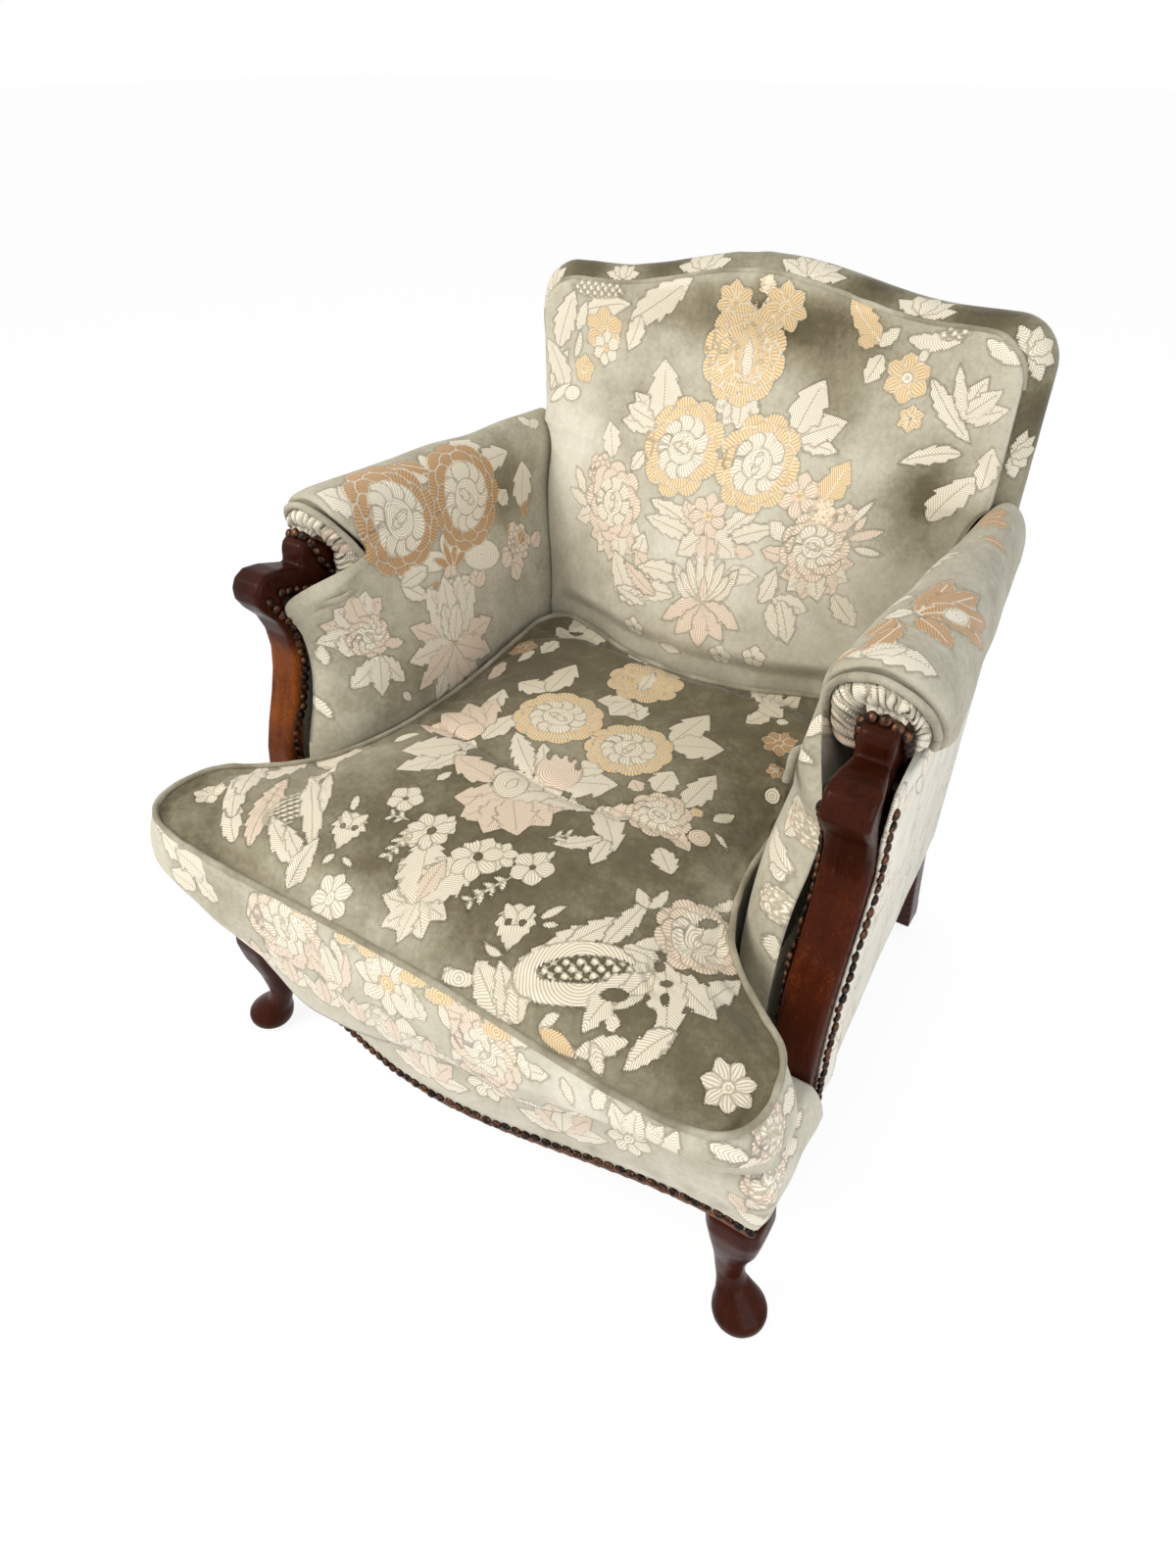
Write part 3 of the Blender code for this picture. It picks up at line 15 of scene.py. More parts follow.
import bmesh
import bpy
import numpy as np
from mathutils import Matrix, Vector

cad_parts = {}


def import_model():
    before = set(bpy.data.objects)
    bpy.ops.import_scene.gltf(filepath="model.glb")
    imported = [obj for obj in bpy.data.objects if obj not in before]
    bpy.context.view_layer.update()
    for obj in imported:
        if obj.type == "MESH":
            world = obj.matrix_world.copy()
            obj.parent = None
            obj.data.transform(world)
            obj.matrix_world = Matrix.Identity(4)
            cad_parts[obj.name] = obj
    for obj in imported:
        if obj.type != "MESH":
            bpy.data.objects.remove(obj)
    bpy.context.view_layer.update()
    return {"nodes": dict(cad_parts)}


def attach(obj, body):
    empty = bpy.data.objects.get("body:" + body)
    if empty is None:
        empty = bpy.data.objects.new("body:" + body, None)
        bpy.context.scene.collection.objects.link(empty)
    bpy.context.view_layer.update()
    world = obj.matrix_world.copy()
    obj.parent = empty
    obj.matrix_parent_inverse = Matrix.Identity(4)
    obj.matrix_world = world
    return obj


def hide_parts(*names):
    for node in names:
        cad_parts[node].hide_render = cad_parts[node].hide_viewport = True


LOG = logging.getLogger("armchair")
Array = np.ndarray


def lerp(low: float | Array, high: float | Array, share: float | Array) -> float | Array:
    """Value between low and high at a share."""
    return low + (high - low) * share


def smooth(share: float | Array) -> float | Array:
    """Smooth step of a share, clipped to 0..1."""
    held = np.clip(share, 0.0, 1.0)
    return held * held * (3.0 - 2.0 * held)


def hermite(knots: Array, values: Array, at: Array) -> Array:
    """Smooth curve through values at rising knots.

    Args:
        knots: rising places of the values.
        values: one row per knot.
        at: places to read the curve.

    Returns:
        One row per place.
    """
    slope = np.gradient(values, knots, axis=0)
    low = np.clip(np.searchsorted(knots, at, side="right") - 1, 0, len(knots) - 2)
    step = knots[low + 1] - knots[low]
    t = (at - knots[low]) / step
    shape = (-1,) + (1,) * (values.ndim - 1)
    t, step = t.reshape(shape), step.reshape(shape)
    return (
        (2 * t**3 - 3 * t**2 + 1) * values[low]
        + (t**3 - 2 * t**2 + t) * step * slope[low]
        + (3 * t**2 - 2 * t**3) * values[low + 1]
        + (t**3 - t**2) * step * slope[low + 1]
    )


def chords(points: Array) -> Array:
    """Running length along a row of points, from 0."""
    return np.concatenate([[0.0], np.cumsum(np.linalg.norm(np.diff(points, axis=0), axis=1))])


def curve_through(points: Sequence[Sequence[float]], count: int, closed: bool = False) -> Array:
    """Evenly spaced points on a smooth curve.

    Args:
        points: places that the curve passes.
        count: how many points come back.
        closed: whether the curve returns to its start.

    Returns:
        Points, count by dimensions.
    """
    control = np.asarray(points, float)
    if closed:
        control = np.concatenate([control[-2:], control, control[:3]])
    knots = chords(control)
    start, end = (knots[2], knots[-3]) if closed else (knots[0], knots[-1])
    return hermite(knots, control, np.linspace(start, end, count, endpoint=not closed))


def refine(grid: Array, rows: int, columns: int) -> Array:
    """A coarse grid of points made dense by smooth curves both ways.

    Args:
        grid: coarse points, rows by columns by 3.
        rows: rows wanted.
        columns: columns wanted.

    Returns:
        Dense points, rows by columns by 3.
    """
    down = np.concatenate([[0.0], np.cumsum(np.linalg.norm(np.diff(grid, axis=0), axis=2).mean(1))])
    over = np.concatenate([[0.0], np.cumsum(np.linalg.norm(np.diff(grid, axis=1), axis=2).mean(0))])
    dense = hermite(down, grid, np.linspace(0, down[-1], rows))
    return hermite(over, dense.swapaxes(0, 1), np.linspace(0, over[-1], columns)).swapaxes(0, 1)


def grid_normals(grid: Array) -> Array:
    """Unit normals of a grid of points, rows crossed with columns."""
    down, over = np.gradient(grid, axis=0), np.gradient(grid, axis=1)
    normal = np.cross(down, over)
    return normal / np.maximum(np.linalg.norm(normal, axis=2, keepdims=True), 1e-9)


def rim_indices(rows: int, columns: int) -> Array:
    """Indices round the boundary of a grid, in order."""
    number = np.arange(rows * columns).reshape(rows, columns)
    return np.concatenate([number[0], number[1:-1, -1], number[-1, ::-1], number[1:-1, 0][::-1]])


def waves(x: Array, y: Array, seed: int, size: float) -> Array:
    """Smooth seeded unevenness of about -1..1 over a surface.

    Args:
        x: first coordinate.
        y: second coordinate.
        seed: fixed seed.
        size: typical width of one swell, in the unit of the coordinates.

    Returns:
        One value per place.
    """
    rng = np.random.default_rng(seed)
    total = np.zeros(np.shape(x))
    for _ in range(9):
        angle, pitch, start = rng.uniform(0, 2 * math.pi), rng.uniform(
            0.7, 1.9,
        ), rng.uniform(0, 2 * math.pi)
        total = total + np.sin((x * math.cos(angle) + y * math.sin(angle)) * pitch * 3.1 / size + start)
    return total / 4.2


def srgb(code: str) -> tuple[float, float, float, float]:
    """Linear colour of an sRGB hex code."""
    parts = [int(code[i : i + 2], 16) / 255 for i in (1, 3, 5)]
    linear = [p / 12.92 if p <= 0.04045 else ((p + 0.055) / 1.055) ** 2.4 for p in parts]
    return (*linear, 1.0)


@dataclass
class Shading:
    """Node tree of one material, with one way of adding nodes."""

    name: str

    def __post_init__(self) -> None:
        """Makes the material with its Principled shader."""
        self.material = bpy.data.materials.new(self.name)
        self.material.use_nodes = True
        self.tree = self.material.node_tree
        self.shader = self.tree.nodes["Principled BSDF"]

    def add(self, kind: str, settings: dict | None = None, **links: object) -> bpy.types.Node:
        """Adds a node.

        Args:
            kind: node type without its ShaderNode prefix.
            settings: node properties by name.
            **links: input sockets by name, underscores for spaces, or i0, i1 by place; a value or a socket.

        Returns:
            The node.
        """
        node = self.tree.nodes.new("ShaderNode" + kind)
        for key, value in (settings or {}).items():
            setattr(node, key, value)
        for key, value in links.items():
            by_place = key[0] == "i" and key[1:].isdigit()
            socket = node.inputs[int(key[1:])] if by_place else node.inputs[key.replace("_", " ")]
            if isinstance(value, bpy.types.NodeSocket):
                self.tree.links.new(value, socket)
            else:
                socket.default_value = value
        return node

    def math(
        self, operation: str, first: object, second: object = 0.0, clamp: bool = False,
    ) -> bpy.types.NodeSocket:
        """Result of a Math node on two values or sockets."""
        made = self.add("Math", {"operation": operation, "use_clamp": clamp}, i0=first, i1=second)
        return made.outputs[0]

    def between(
        self, value: object, low: float, high: float, to_low: float = 0.0, to_high: float = 1.0,
    ) -> bpy.types.NodeSocket:
        """A value mapped smoothly from one range to another."""
        settings = {"interpolation_type": "SMOOTHSTEP"}
        links = {"i0": value, "i1": low, "i2": high, "i3": to_low, "i4": to_high}
        return self.add("MapRange", settings, **links).outputs[0]

    def mix(self, share: object, first: object, second: object, blend: str = "MIX") -> bpy.types.NodeSocket:
        """Colour mixed from two colours or sockets."""
        settings = {"data_type": "RGBA", "blend_type": blend}
        return self.add("Mix", settings, i0=share, i6=first, i7=second).outputs[2]

    def ramp(self, value: object, stops: Sequence[tuple[float, str]]) -> bpy.types.NodeSocket:
        """Colour read from a ramp of (place, hex) stops."""
        made = self.add("ValToRGB", None, i0=value)
        band = made.color_ramp
        while len(band.elements) < len(stops):
            band.elements.new(0.5)
        for element, (place, code) in zip(band.elements, stops):
            element.position = place
            element.color = srgb(code)
        return made.outputs[0]

    def noise(
        self, where: object, scale: float, detail: float = 2.0, rough: float = 0.5,
    ) -> bpy.types.NodeSocket:
        """Value of a noise texture."""
        links = {"Vector": where, "Scale": scale, "Detail": detail, "Roughness": rough}
        return self.add("TexNoise", None, **links).outputs[0]

    def stretched(self, scale: tuple[float, float, float]) -> bpy.types.NodeSocket:
        """Object coordinates scaled by axis."""
        where = self.add("TexCoord").outputs["Object"]
        return self.add("Mapping", None, Vector=where, Scale=scale).outputs[0]

    def attribute(self, name: str) -> bpy.types.NodeSocket:
        """Value of a named attribute of the piece."""
        return self.add("Attribute", {"attribute_name": name}).outputs["Fac"]

    def bump(
        self, height: object, distance: float, strength: float = 1.0, under: object | None = None,
    ) -> bpy.types.NodeSocket:
        """Normal bent by a height of a distance in metres."""
        made = self.add("Bump", None, Height=height, Distance=distance, Strength=strength)
        if under is not None:
            self.tree.links.new(under, made.inputs["Normal"])
        return made.outputs[0]

    def dress(
        self, colour: object, roughness: object, normal: object | None = None, **plain: object,
    ) -> bpy.types.Material:
        """Sets the shader's sockets.

        Args:
            colour: base colour.
            roughness: roughness.
            normal: bump normal.
            **plain: further sockets by name with underscores, as constants.

        Returns:
            The finished material.
        """
        named = {"Base Color": colour, "Roughness": roughness, "Normal": normal}
        named.update({key.replace("_", " "): value for key, value in plain.items()})
        for key, value in named.items():
            if isinstance(value, bpy.types.NodeSocket):
                self.tree.links.new(value, self.shader.inputs[key])
            elif value is not None:
                self.shader.inputs[key].default_value = value
        return self.material


@dataclass(frozen=True)
class CutVelvetBrocade:
    """Worn cut velvet: a sage pile, dark or pale partly as it lies and partly by painted sheen, light and
    shade, and flat satin figures woven through it.
    """

    pile: tuple[tuple[float, str], ...] = (
        (0.0, "#463D2B"),
        (0.22, "#655D45"),
        (0.42, "#918A73"),
        (0.62, "#BAB4A0"),
        (0.82, "#D6D1C0"),
        (1.0, "#EAE6DA"),
    )
    satin: tuple[tuple[float, str], ...] = (
        (0.0, "#F4EDDE"),
        (0.333, "#F2E0CF"),
        (0.667, "#EFD5AC"),
        (1.0, "#C9A47B"),
    )
    thread_mm: float = 0.9

    def make(self, name: str, plain: bool = False) -> bpy.types.Material:
        """Builds the material.

        Args:
            name: name of the material.
            plain: True for a piece without figures, such as piping.

        Returns:
            The material.
        """
        paint = Shading(name)
        where = paint.add("TexCoord").outputs["Object"]
        # The pile lies in patches of a few centimetres, with finer brushing inside them, added to the nap
        # field, which is partly how the pile lies and partly painted sheen, light and shade
        lie = paint.noise(where, 26.0, 3.0, 0.6)
        brush = paint.noise(where, 170.0, 3.0, 0.6)
        tuft = paint.noise(where, 1000.0 / self.thread_mm, 2.0, 0.7)
        nap = paint.attribute("nap")
        shade = paint.math("ADD", nap, paint.math("MULTIPLY", paint.math("SUBTRACT", lie, 0.5), 0.34))
        shade = paint.math("ADD", shade, paint.math("MULTIPLY", paint.math("SUBTRACT", brush, 0.5), 0.20))
        shade = paint.math("ADD", shade, paint.math("MULTIPLY", paint.math("SUBTRACT", tuft, 0.5), 0.16))
        ground = paint.ramp(shade, self.pile)
        soil = paint.attribute("soil")
        if plain:
            colour = paint.mix(paint.math("MULTIPLY", soil, 0.55), ground, srgb("#6B5A45"))
            normal = paint.bump(tuft, 0.0004, 0.5)
            return paint.dress(colour, 0.82, normal, Sheen_Weight=0.25, Sheen_Roughness=0.45)
        # Worn threads leave the figures' edges a little ragged
        rib = paint.math("SINE", paint.math("MULTIPLY", paint.attribute("phase"), 2 * math.pi))
        ragged = paint.math("MULTIPLY", paint.math("SUBTRACT", paint.noise(where, 420.0, 2.0), 0.5), 2.2)
        ragged = paint.math("ADD", ragged, paint.math("MULTIPLY", rib, 0.45))
        cover = paint.math("ADD", paint.attribute("cover"), ragged)
        figure = paint.between(cover, -0.35, 0.45)
        # Satin floats lie in ribs about 3 mm apart that follow each petal
        rib = paint.between(rib, -0.55, 0.25)
        tone = paint.math("DIVIDE", paint.attribute("tone"), 3.0)
        thread = paint.ramp(tone, self.satin)
        low = paint.mix(1.0, thread, srgb("#D8D2C0"), "MULTIPLY")
        satin = paint.mix(rib, low, thread)
        # Each petal has an engraved outline: grey-brown on pale threads, cream on gold and brown ones
        gap = [paint.math("ABSOLUTE", paint.attribute(name)) for name in ("rim", "fold")]
        line = paint.between(paint.math("MINIMUM", *gap), 0.20, 0.95, 1.0, 0.0)
        warm = paint.between(tone, 0.40, 0.60)
        ink = paint.mix(warm, srgb("#B3A98F"), srgb("#F1E8D4"))
        satin = paint.mix(paint.math("MULTIPLY", line, 0.80), satin, ink)
        # Painted shade: the satin is darkened where the pile's tone is set dark, and kept clear where it is
        # set pale
        satin_shade = paint.between(nap, 0.10, 0.75, 0.50, 0.0)
        satin = paint.mix(satin_shade, satin, paint.mix(1.0, satin, srgb("#CFCBBD"), "MULTIPLY"))
        # The pile stands over the flat satin, and a painted shadow darkens the pile along the edge between
        # them
        edge = paint.between(cover, -2.6, -0.3, 0.0, 0.42)
        ground = paint.mix(edge, ground, paint.mix(1.0, ground, srgb("#8E8872"), "MULTIPLY"))
        colour = paint.mix(figure, ground, satin)
        grain = paint.math("MULTIPLY", paint.math("SUBTRACT", tuft, 0.5), 0.5)
        colour = paint.mix(
            0.5, colour,
            paint.add("HueSaturation", None, Value=paint.math("ADD", grain, 1.0), Color=colour).outputs[0],
        )
        colour = paint.mix(paint.math("MULTIPLY", soil, 0.6), colour, srgb("#7A664B"))
        height = paint.math(
            "ADD", paint.math("MULTIPLY", figure, -0.9),
            paint.math("MULTIPLY", paint.math("MULTIPLY", rib, figure), 0.45),
        )
        height = paint.math(
            "ADD", height, paint.math("MULTIPLY", paint.math("MULTIPLY", line, figure), -0.7),
        )
        normal = paint.bump(tuft, 0.0004, 0.35, paint.bump(height, 0.0006, 0.75))
        rough = paint.math("SUBTRACT", 0.86, paint.math("MULTIPLY", figure, 0.22))
        return paint.dress(
            colour, rough, normal, Sheen_Weight=0.22, Sheen_Roughness=0.4, Specular_IOR_Level=0.3,
        )


@dataclass(frozen=True)
class FrenchPolishedMahogany:
    """Mahogany under old French polish: red-brown, nearly black in streaks of its grain, rubbed orange in
    patches.
    """

    deep: str = "#150704"
    body: str = "#431A0A"
    warm: str = "#A35A20"

    def make(
        self,
        name: str,
        warmth: float = 0.35,
        grain: tuple[float, float, float] = (90.0, 90.0, 7.0),
        worn: tuple[float, float] = (0.0, 0.0),
        bare: float = 0.0,
    ) -> bpy.types.Material:
        """Builds the material.

        Args:
            name: name of the material.
            warmth: share of the orange-brown wood that shows through the polish.
            grain: scale of the grain by axis, small along it.
            worn: heights between which the polish is rubbed thin.
            bare: how much more of the warm wood shows there.

        Returns:
            The material.
        """
        paint = Shading(name)
        where = paint.add("TexCoord").outputs["Object"]
        # Grain lines about 1 mm wide run along the piece, in ribbons of a few centimetres
        line = paint.noise(paint.stretched(grain), 9.0, 4.0, 0.65)
        ribbon = paint.noise(paint.stretched((grain[0] / 4, grain[1] / 4, grain[2] / 3)), 4.0, 2.0, 0.5)
        patch = paint.noise(where, 16.0, 3.0, 0.6)
        share = paint.math("ADD", paint.math("MULTIPLY", line, 0.50), paint.math("MULTIPLY", ribbon, 0.35))
        share = paint.math("ADD", share, paint.math("MULTIPLY", patch, 0.30))
        height = paint.add("SeparateXYZ", None, i0=where).outputs[2]
        start = paint.between(height, worn[0] - 0.015, worn[0] + 0.015)
        end = paint.between(height, worn[1] - 0.02, worn[1] + 0.02, 1.0, 0.0)
        share = paint.math("ADD", share, paint.math("MULTIPLY", paint.math("MULTIPLY", start, end), bare))
        share = paint.math("ADD", share, warmth - 0.70, True)
        colour = paint.ramp(share, ((0.0, self.deep), (0.42, self.body), (1.0, self.warm)))
        scuff = paint.noise(paint.stretched((260.0, 260.0, 60.0)), 3.0, 3.0, 0.7)
        rub = paint.between(scuff, 0.66, 0.74)
        colour = paint.mix(paint.math("MULTIPLY", rub, 0.35), colour, srgb("#A0683C"))
        rough = paint.math("ADD", 0.20, paint.math("MULTIPLY", paint.noise(where, 60.0, 3.0), 0.22))
        normal = paint.bump(line, 0.0003, 0.25)
        return paint.dress(
            colour, rough, normal, Specular_IOR_Level=0.06, Coat_Weight=0.03, Coat_Roughness=0.05,
        )


@dataclass(frozen=True)
class AntiquedNailBrass:
    """Domed brass nails under a dark antique lacquer, rubbed brown in spots."""

    def make(self, name: str) -> bpy.types.Material:
        """Builds the material."""
        paint = Shading(name)
        where = paint.add("TexCoord").outputs["Object"]
        spot = paint.between(paint.noise(where, 120.0, 2.0), 0.42, 0.62)
        colour = paint.mix(spot, srgb("#1E1410"), srgb("#5A3A26"))
        rough = paint.math("ADD", 0.26, paint.math("MULTIPLY", paint.noise(where, 500.0, 2.0), 0.25))
        return paint.dress(colour, rough, None, Metallic=0.8)


@dataclass(frozen=True)
class BareFibre:
    """A dull hidden material, such as bare timber, jute, wadding or dust cloth, with its fibre showing."""

    light: str
    dark: str
    stretch: tuple[float, float, float]
    roughness: float = 0.85

    def make(self, name: str) -> bpy.types.Material:
        """Builds the material."""
        paint = Shading(name)
        fibre = paint.noise(paint.stretched(self.stretch), 10.0, 4.0, 0.7)
        colour = paint.mix(paint.between(fibre, 0.3, 0.7), srgb(self.dark), srgb(self.light))
        return paint.dress(colour, self.roughness, paint.bump(fibre, 0.0005, 0.4))


class Tone(Enum):
    """Colour of the satin threads."""

    CREAM = 0.0
    BLUSH = 1.0
    GOLD = 2.0
    BROWN = 3.0


CREAM, BLUSH, GOLD, BROWN = Tone


class Ribs(Enum):
    """How the satin ribs run in a petal or leaf."""

    LENGTHWISE = 1
    CHEVRON = 2


class Weave:
    """Figures woven into one panel, held as fields over its flat cloth in millimetres.

    cover is the depth inside a figure, negative on the pile. tone picks the thread, phase counts ribs,
    nap runs from dark pile at 0 to pale pile at 1, partly as the pile lies and partly as painted sheen,
    light and shade, and soil is the dirt together with painted shade in creases. rim and fold change sign
    across the outlines of petals, so that an engraved line can be drawn where either is near 0.
    """

    FIELDS = ("cover", "tone", "phase", "nap", "soil", "rim", "fold")
    RIB_MM = 2.9
    EDGE = 1.3
    VEINED = 17

    def __init__(self, u: Array, v: Array, nap: float) -> None:
        """Starts with bare pile.

        Args:
            u: cloth coordinate across.
            v: cloth coordinate up.
            nap: how pale the pile is everywhere at first, partly as it lies and partly as painted sheen.
        """
        self.u, self.v = np.ravel(u).astype(float), np.ravel(v).astype(float)
        self.cover = np.full(self.u.size, -8.0)
        self.tone = np.zeros(self.u.size)
        self.phase = np.zeros(self.u.size)
        self.nap = np.full(self.u.size, nap)
        self.soil = np.zeros(self.u.size)
        self.rim = np.full(self.u.size, 8.0)
        self.fold = np.full(self.u.size, 8.0)
        self.petals = 0

    def frame(self, x: float, y: float, turn: float, reach: float) -> tuple[Array, Array, Array]:
        """Places near a point and their coordinates in a turned frame.

        Args:
            x: cloth place across.
            y: cloth place up.
            turn: heading of the frame's first axis, degrees from +u.
            reach: half size of the square that is looked at.

        Returns:
            Indices, distance along the heading, distance to its left.
        """
        near = np.nonzero((np.abs(self.u - x) < reach) & (np.abs(self.v - y) < reach))[0]
        c, s = math.cos(math.radians(turn)), math.sin(math.radians(turn))
        dx, dy = self.u[near] - x, self.v[near] - y
        return near, dx * c + dy * s, dy * c - dx * s

    def lay(self, near: Array, depth: Array, tone: Tone, phase: Array, vein: Array | None = None) -> None:
        """Lays one petal over what is there and engraves its outline.

        Args:
            near: indices of the places it may touch.
            depth: depth inside it, negative outside.
            tone: thread colour.
            phase: count of ribs.
            vein: signed distance from its middle vein, where it has one.
        """
        below = self.cover[near]
        inside = depth > 0
        take = inside | ((depth > -self.EDGE) & (depth > below))
        if not take.any():
            return
        self.cover[near] = np.maximum(below, depth)
        self.tone[near[take]] = tone.value
        self.phase[near[take]] = phase[take] - np.round(phase[take].mean())
        self.petals += 1
        for order, field in enumerate((self.rim, self.fold)):
            sign = 1.0 if self.petals >> order & 1 else -1.0
            old = field[near]
            crossing = ~inside & (old * sign < 0)
            outside = np.where(crossing, -sign * np.minimum(np.abs(old), -depth), old)
            field[near] = np.where(inside, sign * depth, outside)
        if vein is not None:
            self.fold[near[inside]] = vein[inside]

    def leaf(
        self,
        x: float,
        y: float,
        turn: float,
        length: float,
        width: float,
        tone: Tone = Tone.CREAM,
        bend: float = 0.0,
        teeth: int | None = None,
        belly: float = 0.45,
        ribs: Ribs = Ribs.CHEVRON,
    ) -> None:
        """A leaf or long petal.

        Args:
            x: place of its base across.
            y: place of its base up.
            turn: heading, degrees from +u.
            length: length in millimetres.
            width: width in millimetres.
            tone: thread colour.
            bend: sideways drift of the tip, as a share of the length.
            teeth: notches along each side; None for one to every 13 mm of a broad leaf.
            belly: where it is widest, as a share of the length.
            ribs: how its satin ribs run.
        """
        near, a, b = self.frame(x, y, turn, length * 1.3 + 4)
        b = b - bend * length * (np.clip(a, 0, None) / length) ** 2
        t = np.clip(a / length, 0.0, 1.0)
        half = 0.5 * width * np.sin(math.pi * t ** (math.log(0.5) / math.log(belly))) ** 0.75
        if teeth is None:
            teeth = round(length / 13) if width > 12 else 0
        if teeth:
            notch = (t * teeth + 0.5 * np.abs(b) / width) % 1.0
            half = half * (1.08 - 0.34 * notch)
        depth = np.minimum((half - np.abs(b)) * 0.85, np.minimum(a + 0.5, length - a + 0.5))
        if ribs is Ribs.CHEVRON:
            phase = (a - 1.1 * np.abs(b)) / self.RIB_MM
        else:
            phase = b / np.maximum(half, 1.5) * width / (2.2 * self.RIB_MM)
        veined = ribs is Ribs.CHEVRON and width > self.VEINED
        self.lay(near, depth, tone, phase, np.where(t < 0.86, b, half) if veined else None)

    def leaves(self, *rows: tuple) -> None:
        """Several leaves, each given as leaf takes it, laid in this order."""
        for row in rows:
            self.leaf(*row)

    def disc(
        self,
        x: float,
        y: float,
        along: float,
        over: float,
        turn: float,
        tone: Tone,
        hub: tuple[float, float] | None = None,
    ) -> None:
        """A round lobe or heart.

        Args:
            x: middle across.
            y: middle up.
            along: half size along the heading.
            over: half size over it.
            turn: heading in degrees.
            tone: thread colour.
            hub: place that the ribs radiate from; None for ribs round the middle.
        """
        near, a, b = self.frame(x, y, turn, max(along, over) + 6)
        depth = (1.0 - np.hypot(a / along, b / over)) * min(along, over)
        if hub is None:
            phase = np.hypot(a, b) / self.RIB_MM
        else:
            dx, dy = self.u[near] - hub[0], self.v[near] - hub[1]
            phase = np.arctan2(dy, dx) * math.hypot(x - hub[0], y - hub[1]) / self.RIB_MM
        self.lay(near, depth, tone, phase)

    def open(self, x: float, y: float, along: float, over: float, turn: float = 0.0) -> None:
        """An oval of pile left inside a figure."""
        near, a, b = self.frame(x, y, turn, max(along, over) + 6)
        depth = (1.0 - np.hypot(a / along, b / over)) * min(along, over)
        self.cover[near] = np.minimum(self.cover[near], -depth)

    def fan(
        self,
        x: float,
        y: float,
        turn: float,
        spread: float,
        count: int,
        length: float,
        width: float,
        tone: Tone = Tone.CREAM,
        other: Tone | None = None,
        teeth: int = 3,
        bend: float = 0.0,
        outer: float = 1.0,
    ) -> None:
        """Petals spread about a heading, the outer ones laid first.

        Args:
            x: place of their base across.
            y: place of their base up.
            turn: heading of the middle petal, degrees from +u.
            spread: angle between the outer petals.
            count: number of petals.
            length: length of the middle petal.
            width: width of a petal.
            tone: thread colour.
            other: thread of every second petal.
            teeth: notches along each side.
            bend: outward drift of the outer tips, as a share of the length.
            outer: length of the outer petals as a share of the middle one.
        """
        middle = (count - 1) / 2
        for k in sorted(range(count), key=lambda order: -abs(order - middle)):
            share = (k - middle) / middle
            reach = length * lerp(1.0, outer, abs(share))
            thread = other if other and k % 2 else tone
            self.leaf(x, y, turn + share * spread / 2, reach, width, thread, share * bend, teeth)

    def peony(
        self,
        x: float,
        y: float,
        radius: float,
        tone: Tone = Tone.GOLD,
        heart: Tone = Tone.CREAM,
        lobes: int = 9,
    ) -> None:
        """A full peony: two rings of lobes round a heart of curled petals.

        Args:
            x: middle across.
            y: middle up.
            radius: outer radius.
            tone: thread of the outer petals.
            heart: thread of the heart.
            lobes: petals in a ring.
        """
        rings = ((0.80, 0.24, tone), (0.64, 0.22, tone), (0.46, 0.20, heart))
        for order, (reach, size, thread) in enumerate(rings):
            for k in range(lobes):
                angle = math.radians(x + 360 * (k + 0.5 * order) / lobes)
                cx, cy = x + reach * radius * math.cos(angle), y + reach * radius * math.sin(angle)
                long, wide = size * radius * 0.95, size * radius * 1.25
                self.disc(cx, cy, long, wide, math.degrees(angle), thread, (x, y))
        self.disc(x, y, 0.36 * radius, 0.33 * radius, 0, heart)
        for turn, reach, bend in (
            (200, 0.34, 0.3), (20, 0.34, 0.3), (250, 0.30, -0.2), (110, 0.36, 0.2), (65, 0.28, -0.3),
        ):
            angle = math.radians(x + turn)
            bx, by = x - 0.10 * radius * math.cos(angle), y - 0.10 * radius * math.sin(angle)
            self.leaf(bx, by, x + turn, reach * radius, 0.20 * radius, heart, bend, 0, 0.6, Ribs.LENGTHWISE)

    def daisy(
        self,
        x: float,
        y: float,
        radius: float,
        tone: Tone = Tone.CREAM,
        petals: int = 5,
        eye: Tone | None = None,
        turn: float = 90.0,
    ) -> None:
        """A small open flower of single petals.

        Args:
            x: middle across.
            y: middle up.
            radius: outer radius.
            tone: thread of the petals.
            petals: number of petals.
            eye: thread of its middle; None leaves pile there.
            turn: heading of the first petal, degrees.
        """
        for k in range(petals):
            self.leaf(
                x, y, turn + 360 * k / petals, radius, radius * 4.4 / petals, tone, 0, 0, 0.62,
                Ribs.LENGTHWISE,
            )
        if eye is None:
            self.open(x, y, radius * 0.16, radius * 0.16)
        else:
            self.disc(x, y, radius * 0.24, radius * 0.24, 0, eye)

